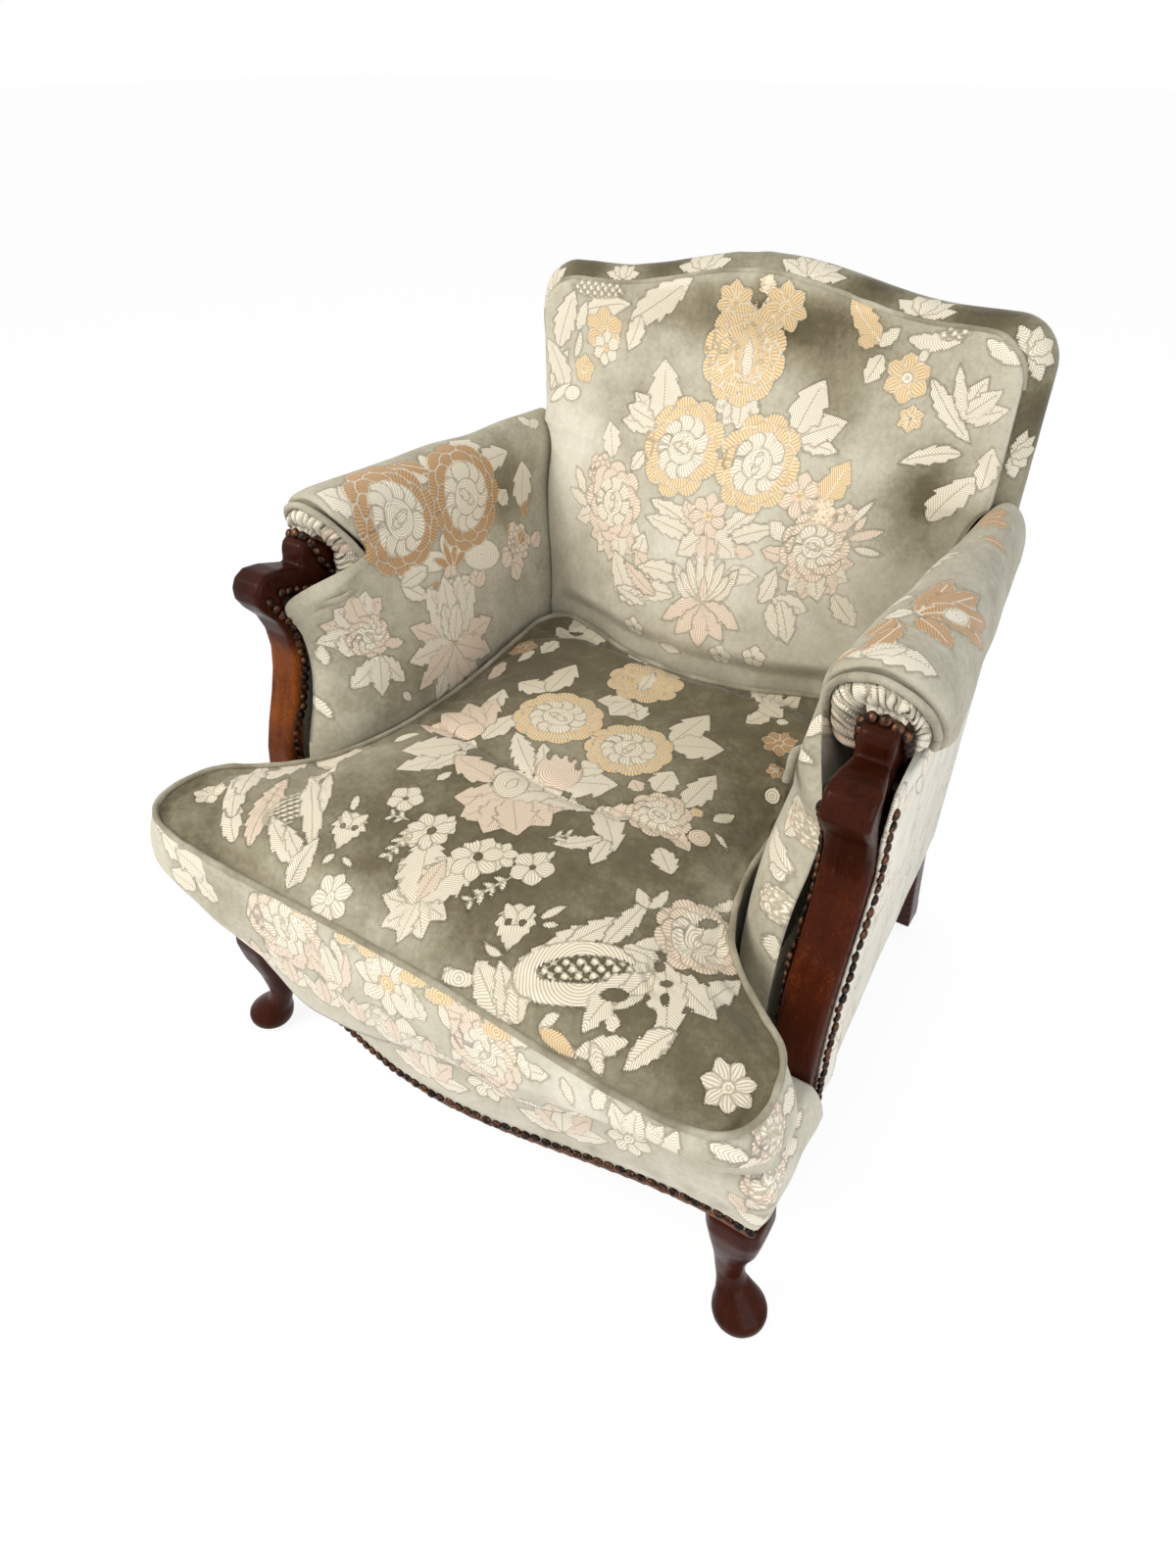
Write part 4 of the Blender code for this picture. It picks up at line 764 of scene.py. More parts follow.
    def palmette(
        self,
        x: float,
        y: float,
        size: float,
        turn: float = 90.0,
        upper: Tone = Tone.CREAM,
        lower: Tone = Tone.BLUSH,
    ) -> None:
        """A fan of cream petals over drooping blush ones.

        Args:
            x: its heart across.
            y: its heart up.
            size: length of the longest petal.
            turn: heading of the fan, degrees.
            upper: thread of the fan.
            lower: thread of the drooping petals.
        """
        for side in (-1, 1):
            self.leaf(x, y, turn + side * 62, size * 0.98, size * 0.42, upper, side * -0.30, 5)
            self.leaf(
                x, y, turn + side * 96, size * 0.92, size * 0.40, lower, side * 0.35, 4, 0.55,
                Ribs.LENGTHWISE,
            )
            self.leaf(
                x, y, turn + side * 148, size * 0.86, size * 0.38, lower, side * -0.12, 3, 0.55,
                Ribs.LENGTHWISE,
            )
        self.leaf(x, y, turn + 180, size * 0.88, size * 0.42, lower, 0, 3, 0.6, Ribs.LENGTHWISE)
        for spread, share in ((52, 0.80), (34, 0.95), (15, 1.0)):
            for side in (-1, 1):
                self.leaf(
                    x, y, turn + side * spread, size * share, size * 0.20, upper, side * -0.16, 0, 0.62,
                    Ribs.LENGTHWISE,
                )
        self.leaf(x, y, turn, size * 0.55, size * 0.16, lower, 0, 0, 0.5, Ribs.LENGTHWISE)

    def lattice(
        self,
        x: float,
        y: float,
        along: float,
        over: float,
        turn: float,
        pitch: float = 9.5,
        tone: Tone = Tone.CREAM,
    ) -> None:
        """A net of lozenges inside an oval.

        Args:
            x: middle across.
            y: middle up.
            along: half length of the oval.
            over: half width of the oval.
            turn: heading in degrees.
            pitch: distance between lozenges.
            tone: thread colour.
        """
        near, a, b = self.frame(x, y, turn, max(along, over) + 6)
        inside = (1.0 - np.hypot(a / along, b / over)) * min(along, over)
        p, q = (a + b) / pitch, (a - b) / pitch
        lozenge = (0.36 - np.maximum(np.abs(p - np.round(p)), np.abs(q - np.round(q)))) * pitch * 0.7
        self.lay(near, np.minimum(inside, lozenge), tone, p)

    def sprig(
        self,
        x: float,
        y: float,
        turn: float,
        length: float,
        pairs: int,
        tone: Tone = Tone.CREAM,
        bend: float = 0.0,
        leaf: float = 11.0,
    ) -> None:
        """A thin stem with pairs of small leaves.

        Args:
            x: foot across.
            y: foot up.
            turn: heading in degrees.
            length: length of the stem.
            pairs: pairs of leaves.
            tone: thread colour.
            bend: sideways drift of the tip, as a share of the length.
            leaf: length of a leaf.
        """
        self.leaf(x, y, turn, length, 3.0, tone, bend, 0, 0.5, Ribs.LENGTHWISE)
        c, s = math.cos(math.radians(turn)), math.sin(math.radians(turn))
        for k in range(pairs):
            share = (k + 1) / (pairs + 0.6)
            side = bend * length * share**2
            px, py = x + length * share * c - side * s, y + length * share * s + side * c
            for way in (-1, 1):
                self.leaf(px, py, turn + way * 48, leaf, leaf * 0.42, tone)

    def bell(self, x: float, y: float, turn: float, size: float, tone: Tone = Tone.CREAM) -> None:
        """A bud that opens into a toothed rim with two eyes of pile.

        Args:
            x: foot across.
            y: foot up.
            turn: heading in degrees.
            size: length in millimetres.
            tone: thread colour.
        """
        self.leaf(x, y, turn, size, size * 0.86, tone, 0, 5, 0.64, Ribs.LENGTHWISE)
        c, s = math.cos(math.radians(turn)), math.sin(math.radians(turn))
        for spread in (-34, 34):
            self.leaf(
                x + 0.55 * size * c, y + 0.55 * size * s, turn + spread, size * 0.55, size * 0.26, tone,
            )
            a = math.radians(turn + spread * 0.4)
            self.open(
                x + 0.62 * size * math.cos(a), y + 0.62 * size * math.sin(a), size * 0.08, size * 0.08,
            )

    def brush(
        self, x: float, y: float, along: float, over: float, amount: float, turn: float = 0.0,
    ) -> None:
        """Sets the pile darker (amount below 0) or paler in a soft oval: partly how the pile lies, partly
        painted sheen, light and shade.
        """
        c, s = math.cos(math.radians(turn)), math.sin(math.radians(turn))
        a, b = (self.u - x) * c + (self.v - y) * s, (self.v - y) * c - (self.u - x) * s
        self.nap += amount * np.exp(-((a / along) ** 2) - (b / over) ** 2)

    def stain(self, x: float, y: float, radius: float, amount: float, ring: bool = False) -> None:
        """A soft dirty mark, or the ring that a dried stain leaves."""
        away = np.hypot(self.u - x, self.v - y) / radius
        mark = np.exp(-(((away - 1.0) / 0.12) ** 2)) if ring else np.exp(-(away**2))
        self.soil = np.maximum(self.soil, amount * mark)


def joined(
    name: str,
    surface: Array,
    rings: Sequence[Array],
    tip: Sequence[float] | None,
    fields: dict[str, Array],
    mirror: bool = False,
) -> bpy.types.Object:
    """A closed piece: a dense surface, rings that carry its rim round to the back, and a closing point.

    Args:
        name: name of the piece.
        surface: points, rows by columns by 3.
        rings: closed rows of points, as many as the rim has.
        tip: point that closes the last ring.
        fields: values per point of the surface and rings, by attribute name.
        mirror: True to build it at -X.

    Returns:
        The object, faces outwards.
    """
    rows, columns = surface.shape[:2]
    tip = rings[-1].mean(0) if tip is None else np.asarray(tip, float)
    points = np.concatenate([surface.reshape(-1, 3), *rings, [tip]])
    if mirror:
        points = points * [-1.0, 1.0, 1.0]
    number = np.arange(rows * columns).reshape(rows, columns)
    quads = [np.stack(
        [number[:-1, :-1], number[:-1, 1:], number[1:, 1:], number[1:, :-1]], -1,
    ).reshape(-1, 4)]
    loop = rim_indices(rows, columns)
    for order in range(len(rings)):
        after = rows * columns + order * len(loop) + np.arange(len(loop))
        quads.append(np.stack([np.roll(loop, -1), loop, after, np.roll(after, -1)], -1))
        loop = after
    fan = np.stack([np.roll(loop, -1), loop, np.full(len(loop), len(points) - 1)], -1)
    faces = [*np.concatenate(quads).tolist(), *fan.tolist()]
    mesh = bpy.data.meshes.new(name)
    mesh.from_pydata(points, [], faces)
    work = bmesh.new()
    work.from_mesh(mesh)
    bmesh.ops.recalc_face_normals(work, faces=work.faces)
    if work.calc_volume(signed=True) < 0:
        bmesh.ops.reverse_faces(work, faces=work.faces)
    work.to_mesh(mesh)
    work.free()
    for key, values in fields.items():
        full = np.append(values, values[-1]).astype(np.float32)
        mesh.attributes.new(key, "FLOAT", "POINT").data.foreach_set("value", full)
    mesh.shade_smooth()
    made = bpy.data.objects.new(name, mesh)
    bpy.context.scene.collection.objects.link(made)
    return made


def woven_fields(*weaves: Weave) -> dict[str, Array]:
    """The fields of one or more weaves, one after another."""
    return {key: np.concatenate([getattr(w, key) for w in weaves]) for key in Weave.FIELDS}


def rim_weave(weave: Weave, rows: int, columns: int, rings: int) -> Weave:
    """The weave carried straight over the rim onto the rings behind it."""
    loop = rim_indices(rows, columns)
    carried = Weave(np.tile(weave.u[loop], rings), np.tile(weave.v[loop], rings), 0.5)
    for key in Weave.FIELDS:
        setattr(carried, key, np.tile(getattr(weave, key)[loop], rings))
    return carried


def cord(
    name: str,
    points: Array,
    radius: float,
    nap: float,
    closed: bool = False,
    mirror: bool = False,
    seed: int = 3,
) -> bpy.types.Object:
    """Covered piping along a line, a little uneven as bias-cut velvet is.

    Args:
        name: name of the piece.
        points: line through its middle.
        radius: radius in metres.
        nap: how pale its pile is.
        closed: whether the line returns to its start.
        mirror: True to build it at -X.
        seed: fixed seed of its unevenness.

    Returns:
        The object.
    """
    line = np.asarray(points, float)
    ahead = np.roll(line, -1, 0) - np.roll(line, 1, 0)
    if not closed:
        ahead = np.gradient(line, axis=0)
    ahead /= np.linalg.norm(ahead, axis=1, keepdims=True)
    side = np.cross(ahead, [0.0, 0.0, 1.0])
    side /= np.maximum(np.linalg.norm(side, axis=1, keepdims=True), 1e-6)
    up = np.cross(side, ahead)
    turns = np.linspace(0, 2 * math.pi, 12, endpoint=False)
    length = chords(line)
    swell = radius * (1.0 + 0.10 * waves(length * 1000, length * 0, seed, 14.0))
    ring = np.cos(turns)[None, :, None] * side[:, None] + np.sin(turns)[None, :, None] * up[:, None]
    points = line[:, None] + ring * swell[:, None, None]
    count, around = points.shape[:2]
    if mirror:
        points = points * [-1.0, 1.0, 1.0]
    number = np.arange(count * around).reshape(count, around)
    span = slice(None) if closed else slice(0, -1)
    after = np.roll(number, -1, 0)
    quads = np.stack(
        [number, np.roll(number, -1, 1), np.roll(after, -1, 1), after], -1,
    )[span].reshape(-1, 4).tolist()
    if not closed:
        quads += [number[0].tolist(), number[-1].tolist()]
    mesh = bpy.data.meshes.new(name)
    mesh.from_pydata(points.reshape(-1, 3), [], quads)
    work = bmesh.new()
    work.from_mesh(mesh)
    bmesh.ops.recalc_face_normals(work, faces=work.faces)
    work.to_mesh(mesh)
    work.free()
    values = nap + 0.10 * waves(np.repeat(length * 1000, around), np.zeros(count * around), seed + 1, 45.0)
    mesh.attributes.new("nap", "FLOAT", "POINT").data.foreach_set("value", values.astype(np.float32))
    mesh.attributes.new("soil", "FLOAT", "POINT")
    mesh.shade_smooth()
    made = bpy.data.objects.new(name, mesh)
    bpy.context.scene.collection.objects.link(made)
    return made


def along_x(line: Sequence[tuple[float, float]], at: float | Array) -> float | Array:
    """Value on a line of (place, value) pairs with rising places."""
    table = np.asarray(line)
    return np.interp(at, table[:, 0], table[:, 1])


def strip(
    name: str, surface: Array, rings: Sequence[Array], fields: dict[str, Array], mirror: bool = False,
) -> bpy.types.Object:
    """A long padded strip, closed behind by quads from edge to edge instead of a fan.

    Args:
        name: name of the piece.
        surface: points, rows along the strip by columns over it.
        rings: closed rows of points behind the rim.
        fields: values per point.
        mirror: True to build it at -X.

    Returns:
        The object.
    """
    rows, columns = surface.shape[:2]
    made = joined(name, surface, rings, None, fields, mirror)
    around = 2 * (rows + columns) - 4
    start = rows * columns + around * (len(rings) - 1)
    left = [start + (around - i) % around for i in range(rows)]
    right = [start + columns - 1 + i for i in range(rows)]
    work = bmesh.new()
    work.from_mesh(made.data)
    work.verts.ensure_lookup_table()
    work.verts.remove(work.verts[-1])
    work.verts.ensure_lookup_table()
    for i in range(rows - 1):
        work.faces.new([work.verts[k] for k in (left[i], left[i + 1], right[i + 1], right[i])])
    for first in (start, start + columns + rows - 2):
        work.faces.new([work.verts[first + k] for k in range(columns)])
    bmesh.ops.recalc_face_normals(work, faces=work.faces)
    if work.calc_volume(signed=True) < 0:
        bmesh.ops.reverse_faces(work, faces=work.faces)
    work.to_mesh(made.data)
    work.free()
    return made


@dataclass
class SeatCushion:
    """The loose T cushion: crowned, creased, and slumped over the front border."""

    centre_y: float = -0.140
    crown_z: float = 0.434
    pipe_z: float = 0.402
    front_sag: float = 0.024
    under_z: float = 0.2903
    tuck_right: float = 0.036
    tuck_left: float = 0.026
    right_ear_bulge: float = 0.018
    left_ear_bulge: float = 0.027
    front_bulge: float = 0.012
    widest: float = 0.52
    crease_depth: float = 0.008
    piping_radius: float = 0.0030
    columns: int = 288
    rows: int = 222
    front: tuple[tuple[float, float], ...] = (
        (0.000, -0.352),
        (0.060, -0.353),
        (0.120, -0.356),
        (0.180, -0.360),
        (0.240, -0.363),
        (0.290, -0.362),
        (0.320, -0.354),
        (0.330, -0.346),
    )
    side: tuple[tuple[float, float], ...] = (
        (0.330, -0.346),
        (0.337, -0.333),
        (0.339, -0.300),
        (0.328, -0.268),
        (0.300, -0.246),
        (0.270, -0.222),
        (0.246, -0.194),
        (0.229, -0.155),
        (0.2185, -0.110),
        (0.214, -0.040),
        (0.210, 0.050),
        (0.211, 0.120),
        (0.212, 0.170),
        (0.206, 0.184),
    )
    back: tuple[tuple[float, float], ...] = (
        (0.206, 0.184), (0.194, 0.192), (0.150, 0.184), (0.090, 0.160), (0.000, 0.147),
    )

    def plan(self, columns: int, rows: int) -> Array:
        """The T outline filled with a grid, front row first, from -X to +X.

        Args:
            columns: points across.
            rows: points front to back.

        Returns:
            Plan points, rows by columns by 2.
        """
        u = np.linspace(-1, 1, columns)
        front = self.edge(self.front, columns)
        rear = self.edge(tuple(reversed(self.back)), columns)
        side = curve_through(self.side, 400)
        rise = (side[:, 1] - side[0, 1]) / (side[-1, 1] - side[0, 1])
        place = 0.5 * chords(side) / chords(side)[-1] + 0.5 * rise
        t = np.linspace(0, 1, rows)
        right = np.stack([np.interp(t, place, side[:, 0]), np.interp(t, place, side[:, 1])], -1)
        left = right * [-1.0, 1.0]
        s = ((u + 1) / 2)[None, :, None]
        tt = t[:, None, None]
        blend = lerp(front[None], rear[None], tt) + lerp(left[:, None], right[:, None], s)
        corners = lerp(lerp(front[:1], front[-1:], s), lerp(rear[:1], rear[-1:], s), tt)
        return blend - corners

    def edge(self, half: tuple[tuple[float, float], ...], columns: int) -> Array:
        """A front or back edge from its right half, mirrored to the left."""
        right = np.asarray(half)
        full = np.concatenate([right[:0:-1] * [-1, 1], right])
        return curve_through(full, columns)

    def seam_z(self, x: Array, y: Array) -> Array:
        """Height of the piped seam: it droops over the front and lifts at the back."""
        droop = self.front_sag * smooth((-y - 0.20) / 0.15) * (1.0 - (np.abs(x - 0.06) / 0.40) ** 2)
        return self.pipe_z - droop + 0.018 * smooth((y + 0.05) / 0.2)

    def hanging_z(self, x: Array, y: Array) -> Array:
        """Height of the band's lowest line: hanging over the front and the left ear."""
        ear = smooth((-x - 0.29) / 0.03) * smooth((-y - 0.285) / 0.03)
        hang = np.maximum(smooth((-y - 0.300) / 0.045), ear)
        low = lerp(0.236, 0.288, smooth((x + 0.10) / 0.2))
        low = lerp(low, 0.334, smooth((x - 0.16) / 0.13))
        low = lerp(low, 0.280, smooth((-x - 0.20) / 0.10))
        return lerp(0.298, low, hang)

    def creases(self, x: Array, y: Array) -> Array:
        """Depth of the two sag creases, running from the left rear across to the right."""
        main = np.array((
            (-0.232, -0.070), (-0.206, -0.086), (-0.150, -0.098), (-0.050, -0.120), (0.030, -0.135),
            (0.085, -0.128),
        ))
        second = np.array(((0.062, -0.118), (0.100, -0.122), (0.150, -0.118)))
        depth = np.zeros(x.shape)
        for line, amount in ((main, 1.0), (second, 0.55)):
            path = curve_through(line, 60)
            away = np.full(x.shape, 9.0)
            for px, py in path:
                away = np.minimum(away, np.hypot(x - px, y - py))
            depth = np.maximum(depth, amount * np.exp(-away / 0.0065))
        return depth * self.crease_depth

    def top(self, columns: int, rows: int) -> Array:
        """The crowned top, with its creases and the puckers along the seam."""
        plan = self.plan(columns, rows)
        x, y = plan[..., 0], plan[..., 1]
        u = np.linspace(-1, 1, columns)[None, :]
        v = np.linspace(-1, 1, rows)[:, None]
        out = np.clip((np.abs(u) ** 5 + np.abs(v) ** 5) ** 0.2, 0, 1)
        z = lerp(self.crown_z, self.seam_z(x, y), out**3.2)
        z = z - self.creases(x, y) * smooth((1 - out) / 0.10)
        z = z + 0.0035 * smooth((out - 0.78) / 0.12) * smooth((1 - out) / 0.10)
        beside = smooth((out - 0.80) / 0.15) * smooth((1 - out) / 0.05)
        pucker = 0.0016 * waves(x * 1000, y * 1000, 11, 34.0) * beside
        return np.stack(
            [x, y, z + pucker + 0.0022 * waves(x * 1000, y * 1000, 12, 150.0) * (1 - out**4)], -1,
        )

    def band(self, loop: Array) -> list[Array]:
        """Rings from the seam down the stuffed band and in under the cushion."""
        x, y = loop[:, 0], loop[:, 1]
        tangent = np.roll(loop, -1, 0) - np.roll(loop, 1, 0)
        for _ in range(6):
            tangent = (np.roll(tangent, 1, 0) + tangent + np.roll(tangent, -1, 0)) / 3
        out = np.stack([tangent[:, 1], -tangent[:, 0]], -1)
        out /= np.linalg.norm(out, axis=1, keepdims=True)
        ear = smooth((-y - 0.235) / 0.04) * smooth((np.abs(x) - 0.28) / 0.05)
        front = smooth((-y - 0.300) / 0.04)
        side = np.maximum(0.003, 0.008 * smooth((y - 0.14) / 0.03))
        ear_bulge = np.where(x > 0, self.right_ear_bulge, self.left_ear_bulge)
        slack = self.front_bulge * lerp(1.0, 0.66, smooth((x - 0.02) / 0.20))
        reach = np.stack([lerp(side, ear_bulge, ear), lerp(side, slack, front)], -1)
        near = np.stack(
            [lerp(0.0005, 0.0150, smooth((np.abs(x) - 0.27) / 0.05)), np.full(x.shape, 0.0055)], -1,
        )
        corner = smooth((np.abs(x) - 0.12) / 0.12) * smooth((-y - 0.288) / 0.045)
        tuck = np.where(x > 0, self.tuck_right, self.tuck_left) * corner
        seam, low = self.seam_z(x, y), self.hanging_z(x, y)
        run = chords(np.concatenate([loop[:, :2], loop[:1, :2]]))[:-1] * 1000
        rings = []
        for h in np.linspace(0.04, 1.0, 24):
            if h < self.widest:
                full = math.sin(math.pi * (h / self.widest) / 2) ** 0.7
            else:
                full = math.cos((h - self.widest) / (1.0 - self.widest) * 1.15) ** 0.6
            ripple = 0.0016 * waves(run, np.full(run.shape, h * 60), 21, 30.0) * math.sin(math.pi * h)
            gather = 0.0012 * np.sin(run / 6.5 + 2.0 * waves(run, run * 0, 22, 80.0)) * math.exp(-h / 0.10)
            push = reach * full + (ripple + gather)[:, None] * (0.3 + front + ear)[:, None].clip(0, 1)
            push = np.maximum(push, np.where(h > 0.9, near * 0.6, -1))
            spot = loop[:, :2] + out * (push - (tuck * smooth((h - 0.45) / 0.55))[:, None])
            rings.append(np.column_stack([spot, lerp(seam, low, h)]))
        lip = loop[:, :2] + out * (near - tuck[:, None])
        rings.append(np.column_stack([lip, np.minimum(low + 0.003, self.under_z)]))
        rings.append(np.column_stack([lip, np.full(x.shape, self.under_z)]))
        rings.append(np.column_stack([
            loop[:, :2] - out * (0.010 + tuck[:, None]), np.full(x.shape, self.under_z),
        ]))
        rings.append(np.column_stack([
            loop[:, :2] * 0.5 + [0, self.centre_y * 0.5], np.full(x.shape, self.under_z),
        ]))
        return rings

    def settled(self, columns: int, rows: int) -> Array:
        """Wrinkles from a cloth simulation of the top, as offsets on a dense grid.

        Args:
            columns: points across the dense grid.
            rows: points front to back.

        Returns:
            Offsets in metres, rows by columns by 3.
        """
        nx, ny = 66, 52
        grid = self.top(nx, ny)
        probe = joined(
            "cushion_probe", grid, self.band(grid.reshape(-1, 3)[rim_indices(ny, nx)])[::3], None, {},
        )
        held = probe.vertex_groups.new(name="held")
        top_count = nx * ny
        weights = np.zeros(len(probe.data.vertices))
        weights[rim_indices(ny, nx)] = 0.85
        weights[top_count:] = 1.0
        for index in np.nonzero(weights)[0]:
            held.add([int(index)], float(weights[index]), "REPLACE")
        cloth = probe.modifiers.new("cloth", "CLOTH")
        cloth.settings.quality = 6
        cloth.settings.vertex_group_mass = "held"
        cloth.settings.use_pressure = True
        cloth.settings.uniform_pressure_force = 3.0
        cloth.settings.shrink_min = -0.035
        cloth.settings.tension_stiffness = 12.0
        cloth.settings.compression_stiffness = 12.0
        cloth.settings.bending_stiffness = 0.08
        cloth.settings.effector_weights.gravity = 0.0
        cloth.point_cache.frame_start, cloth.point_cache.frame_end = 1, 16
        scene = bpy.context.scene
        for number in range(1, 17):
            scene.frame_set(number)
        shape = probe.evaluated_get(bpy.context.evaluated_depsgraph_get())
        moved = np.empty(len(shape.data.vertices) * 3)
        shape.data.vertices.foreach_get("co", moved)
        offset = moved.reshape(-1, 3)[:top_count].reshape(ny, nx, 3) - grid
        scene.frame_set(1)
        bpy.data.objects.remove(probe)
        cap = 0.0045
        size = np.linalg.norm(offset, axis=2, keepdims=True)
        offset = offset * np.minimum(1.0, cap / np.maximum(size, 1e-9))
        offset -= offset.mean((0, 1))
        knots_y, knots_x = np.linspace(0, 1, ny), np.linspace(0, 1, nx)
        dense = hermite(knots_y, offset, np.linspace(0, 1, rows))
        return hermite(knots_x, dense.swapaxes(0, 1), np.linspace(0, 1, columns)).swapaxes(0, 1)

    def build(self, velvet: bpy.types.Material, piping: bpy.types.Material) -> list[bpy.types.Object]:
        """Builds the cushion and its piping.

        Args:
            velvet: the brocade.
            piping: the piping's velvet.

        Returns:
            The two pieces.
        """
        surface = self.top(self.columns, self.rows)
        u = np.abs(np.linspace(-1, 1, self.columns))[None, :]
        v = np.abs(np.linspace(-1, 1, self.rows))[:, None]
        hold = smooth((1 - np.maximum(u, v)) / 0.06)[..., None]
        surface = surface + self.settled(self.columns, self.rows) * hold
        loop = surface.reshape(-1, 3)[rim_indices(self.rows, self.columns)]
        rings = self.band(loop)
        top = self.weave_top(surface)
        band = self.weave_band(loop, rings)
        cushion = joined(
            "seat_cushion_cover", surface, rings, (0, self.centre_y, self.under_z),
            woven_fields(top, band),
        )
        cushion.data.materials.append(velvet)
        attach(cushion, "root")
        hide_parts("seat_cushion")
        tangent = np.roll(loop, -1, 0) - np.roll(loop, 1, 0)
        out = np.stack([tangent[:, 1], -tangent[:, 0], tangent[:, 0] * 0], -1)
        out /= np.linalg.norm(out, axis=1, keepdims=True)
        line = curve_through((loop + out * 0.0016 + [0, 0, 0.0014])[::4], 760, closed=True)
        welt = cord("seat_cushion_welt", line, self.piping_radius, 0.42, closed=True)
        welt.data.materials.append(piping)
        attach(welt, "root")
        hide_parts("cushion_piping")
        return [cushion, welt]

    def weave_top(self, surface: Array) -> Weave:
        """Figures of the cushion's top, in plan millimetres."""
        w = Weave(surface[..., 0] * 1000, surface[..., 1] * 1000, 0.22)
        self.weave_bouquet(w)
        self.weave_rear(w)
        self.weave_bell_flower(w)
        self.weave_left_scroll(w)
        self.weave_right_scroll(w)
        # Pile set pale along the front seam, towards the left ear and in the middle, and darker in two
        # patches: partly crushed pile, partly painted light and shade
        w.brush(-250, -250, 90, 60, 0.22, -20)
        w.brush(-190, -170, 60, 50, 0.18)
        w.brush(-60, -340, 160, 26, 0.30)
        w.brush(200, -370, 120, 30, 0.22)
        w.brush(-20, -60, 70, 60, 0.20)
        w.brush(120, -60, 60, 60, 0.10)
        w.brush(230, -150, 40, 80, 0.16)
        w.brush(-120, 60, 60, 60, -0.10)
        w.brush(30, -250, 70, 60, -0.08)
        return w

    def weave_bouquet(self, w: Weave) -> None:
        """Bouquet across the middle: blush cluster, palmette, rose and three gold peonies."""
        w.leaves(
            (-200, -133, 25, 32, 12), (-106, -132, -108, 66, 38, CREAM, -0.22, 4),
            (-109, -115, -135, 68, 46, CREAM, -0.1, 4), (-99, -127, -96, 52, 20, CREAM, -0.2),
            (-112, -103, -67, 28, 20), (-128, -56, 109, 57, 28, CREAM, 0, 3),
            (-99, -99, 86, 55, 32, CREAM, 0, 3),
        )
        w.fan(-113, -97, 146, 70, 4, 78, 34, BLUSH)
        w.disc(-124, -92, 18, 14, 13, BLUSH)
        # Cream leaves and a small blush flower with four holes, behind the peonies
        w.leaves(
            (-16, -122, 146, 76, 27, CREAM, -0.1), (0, -124, 127, 63, 21),
            (13, -122, 30, 61, 44, CREAM, 0, 3), (14, -94, 35, 35, 30),
        )
        w.disc(5, -107, 24, 30, 33, BLUSH)
        for x, y in ((-19, -90), (-10, -81), (2, -81), (16, -89)):
            w.open(x, y, 3.5, 8, 34)
        # Palmette: drooping blush petals under a cream swirl
        w.fan(-8, -166, -66, 168, 6, 56, 42, BLUSH, teeth=4, outer=1.05)
        w.leaves(
            (-37, -152, 177, 68, 39, BLUSH, -0.12, 3), (6, -152, 18, 62, 26, CREAM, -0.1),
            (-12, -169, 58, 54, 36, CREAM, -0.2), (-51, -135, -17, 60, 43, CREAM, 0.2),
        )
        w.disc(-23, -150, 18, 23, 34, CREAM)
        w.leaf(-22, -158, 82, 19, 13, CREAM, 0.2)
        # Cream scroll and sprig at the palmette's right foot
        w.leaves(
            (67, -126, -40, 70, 33, CREAM, -0.1, 4), (96, -167, -120, 45, 20, CREAM, -0.25, 4),
            (103, -167, -83, 36, 20, CREAM, 0, 3), (71, -128, 0, 33, 22, CREAM, 0, 3),
        )
        w.open(75, -165, 8, 14, 36)
        w.sprig(54, -198, 45, 26, 2)
        # Blush rose with its leaves
        w.leaves(
            (101, -77, 93, 38, 31, CREAM, 0, 3), (134, -80, 88, 65, 30, CREAM, 0, 4),
            (99, -120, -171, 22, 21, BLUSH, 0, 3), (145, -145, -40, 34, 27, CREAM, 0, 4),
            (142, -116, -25, 29, 19, BLUSH, 0, 3), (89, -87, 143, 20, 19, BLUSH),
        )
        w.peony(122, -105, 32, BLUSH)
        w.disc(166, -105, 11, 10, 46, BLUSH)
        w.leaf(165, -75, 65, 26, 12)
        w.leaf(174, -89, -21, 20, 6)
        w.disc(148, -77, 6, 6, 0, GOLD)
        w.open(156, -94, 5, 5)
        # Leaves and peonies
        w.leaves(
            (73, 4, 86, 75, 39, CREAM, 0, 3), (75, -1, 31, 56, 46, CREAM, 0, 3),
            (-94, 12, 175, 45, 37, CREAM, 0, 3), (-92, 11, 100, 75, 35, CREAM, 0, 3),
        )
        w.fan(-5, 52, -97, 98, 3, 40, 32)
        w.peony(-17, 100, 44, GOLD, GOLD)
        w.leaf(-13, 81, 98, 44, 20)
        w.peony(42, -32, 46, lobes=11)
        w.peony(-53, -25, 49, lobes=11)

    def weave_rear(self, w: Weave) -> None:
        """Leaves and brown flowers along the rear edge."""
        w.leaves(
            (-159, 123, -89, 34, 23), (-155, 147, 53, 64, 44, CREAM, 0, 5),
            (-152, 149, 153, 46, 22, CREAM, 0, 3), (-175, 172, 61, 40, 30, CREAM, 0, 3),
        )
        w.daisy(-189, 91, 19, BROWN, 6, BROWN)
        w.leaves(
            (-170, 90, -96, 31, 13), (-188, 54, -89, 35, 20, BLUSH, 0, 3),
            (-75, 155, 19, 54, 40, CREAM, 0, 4), (-18, 162, 15, 44, 36, CREAM, 0, 4),
        )
        w.fan(124, 132, 100, 60, 3, 55, 24, teeth=4)
        w.leaves(
            (132, 121, -111, 36, 25, CREAM, 0, 3), (114, 135, -26, 38, 28, CREAM, 0, 3),
            (145, 110, 15, 14, 13),
        )
        w.daisy(164, 77, 20, BROWN, 7, BROWN)
        w.daisy(183, 34, 13, BROWN, 6, BLUSH)
        w.disc(192, 3, 8, 8, 0, CREAM)

